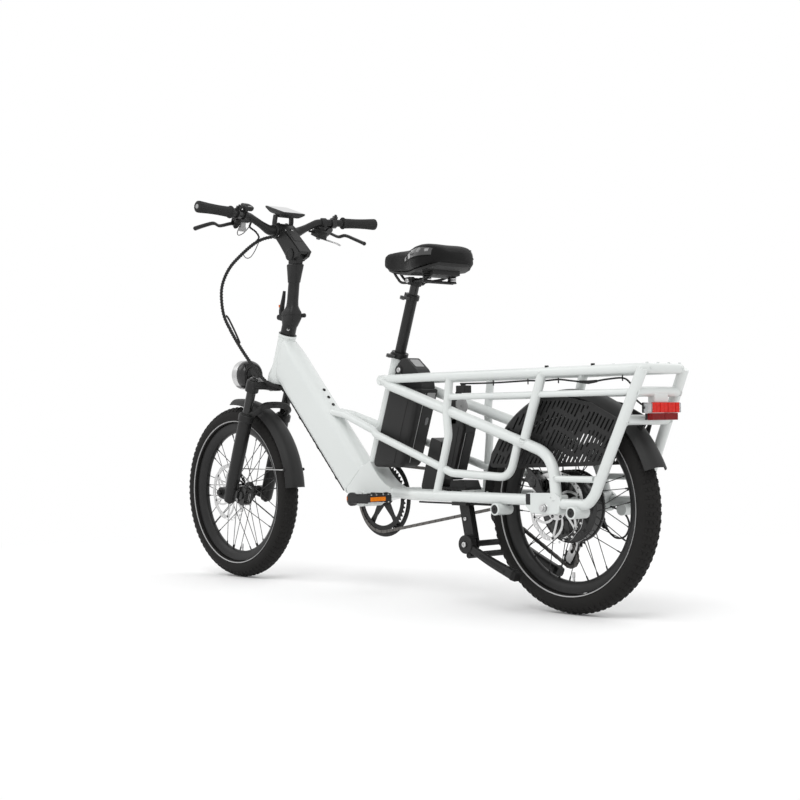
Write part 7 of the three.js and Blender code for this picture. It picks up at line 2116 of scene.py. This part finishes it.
def makeBundle(values):
    steps = 10
    under = mainTube["depth"] / 2 + 7
    path = smoothed([*values["route"], downAt(423, -under, 12), downAt(398.3, -under, 12)], steps)
    first, second = [at * steps for at in values["splits"]]
    cordPiece("cockpitBundle", reversed(path[:first + 1]), values["core"], rubber, None, wire=values["wire"],
              ends=("column", "cockpit"))
    cordPiece("columnBundle", reversed(path[first:second + 1]), values["core"], rubber, None, wire=values["wire"],
              ends=("fork", "column"))
    cordPiece("frameBundle", reversed(path[second:]), values["core"], rubber, None, ["cable_bundle"],
              wire=values["wire"], ends=("frame", "fork"))
    lead = Vector((1, -6, 5))
    cordPiece("frameConnector", smoothed([path[second - 8] + lead, path[second - 5] + lead * 1.8,
                                          path[second + 4] + lead * 1.6, path[second + 8] + lead], 6), 3,
              plastic, "fork")


makeBundle(bundle)


def makeHoses():
    leftHose = smoothed([(1150, 117, 1077), (1176, 104, 1069), (1198, 86, 1066), (1206, 60, 1056), (1212, 44, 1040),
                         (1240, 40, 1027)], 8)
    rightHose = smoothed([(1150, -117, 1077), (1178, -96, 1066), (1192, -60, 1050), (1192, -20, 1040),
                          (1183, 10, 1040)], 8)
    cordPiece("leftHose", leftHose, 2.6, rubber, "cockpit", wire=0.8)
    cordPiece("rightHose", rightHose, 2.6, rubber, "cockpit", wire=0.8)
    cordPiece("padLead", smoothed([(1149, 161, 1060), (1176, 150, 1044), (1184, 138, 1038), (1178, 122, 1048),
                                   (1166, 108, 1070)], 8),
              1.3, rubber, "cockpit", sides=8)
    cordPiece("switchLead", smoothed([(1216, 40, 1030), (1232, 46, 1000), (1250, 49, 984), (1272, 49, 984),
                                      (1294, 46, 1000)], 8),
              1.3, rubber, "cockpit", sides=8)
    under = -mainTube["depth"] / 2 - 3.8
    ripple = [1.5 * sin(k * pi / 38.6) if k % 2 else 0 for k in range(38)]
    run = [downAt(398 - 10 * k, under - rise, 12) for k, rise in enumerate(ripple)]
    cordPiece("downTubeCable", [*run, downAt(12, under, 12)], 3.4, rubber, "frame", ["downtube_cable"])
    clips = [lathe([(3.6, -4), (5.4, -4), (5.4, 4), (3.6, 4)], downAt(at, under, 12), downUp, 20, loop=True)
             for at in (60, 180, 300, 380)]
    make("cableClips", clips, plastic, "frame")
    lead = smoothed([(-270, 50, 505), (-246, 54, 522), (-242, 58, 545), (-231, 58, 562), (-211, 60, 573),
                     (-158, 59, 571), (-105, 58, 566), (-52, 59, 571), (-11, 60, 575), (45, 59, 573), (90, 59, 575),
                     (210, 59, 573), (330, 59, 574)], 8)
    cordPiece("tailLead", lead, 2.2, rubber, "frame", sides=10)
    plugs = [tube([(-132, 58.6, 568), (-105, 58, 566), (-78, 58.6, 568)], 4.6, sides=16, sizes=[0.7, 1, 0.7])]
    plugs += [tube([(x, 59.5, 566), (x, 60, 580)], 1.6, sides=8) for x in (-211, -11, 90, 210)]
    make("tailLeadClips", plugs, plastic, "frame")
    shiftCable = smoothed([(-49, -74.5, 201), (-72, -75, 186), (-98, -77, 190), (-111, -79, 213), (-104, -81, 236),
                           (-84, -82, 252), (-50, -82, 262)], 8)
    cordPiece("shiftCable", shiftCable, 2.4, rubber, "frame", sides=10)
    rearHose = smoothed([(78, 68, 344), (96, 70, 330), (104, 74, 305), (118, 78, 276), (150, 80, 266)], 8)
    cordPiece("rearBrakeHose", rearHose, 2.4, rubber, "frame", sides=10)
    railRun = smoothed([(150, 80, 265), (220, 80, 264.5), (300, 80.5, 264.8), (400, 80, 264.5), (470, 79, 264.5)], 8)
    cordPiece("railCable", railRun, 2.4, rubber, "frame", sides=10)


makeHoses()
print("cables made")

bpy.context.view_layer.update()
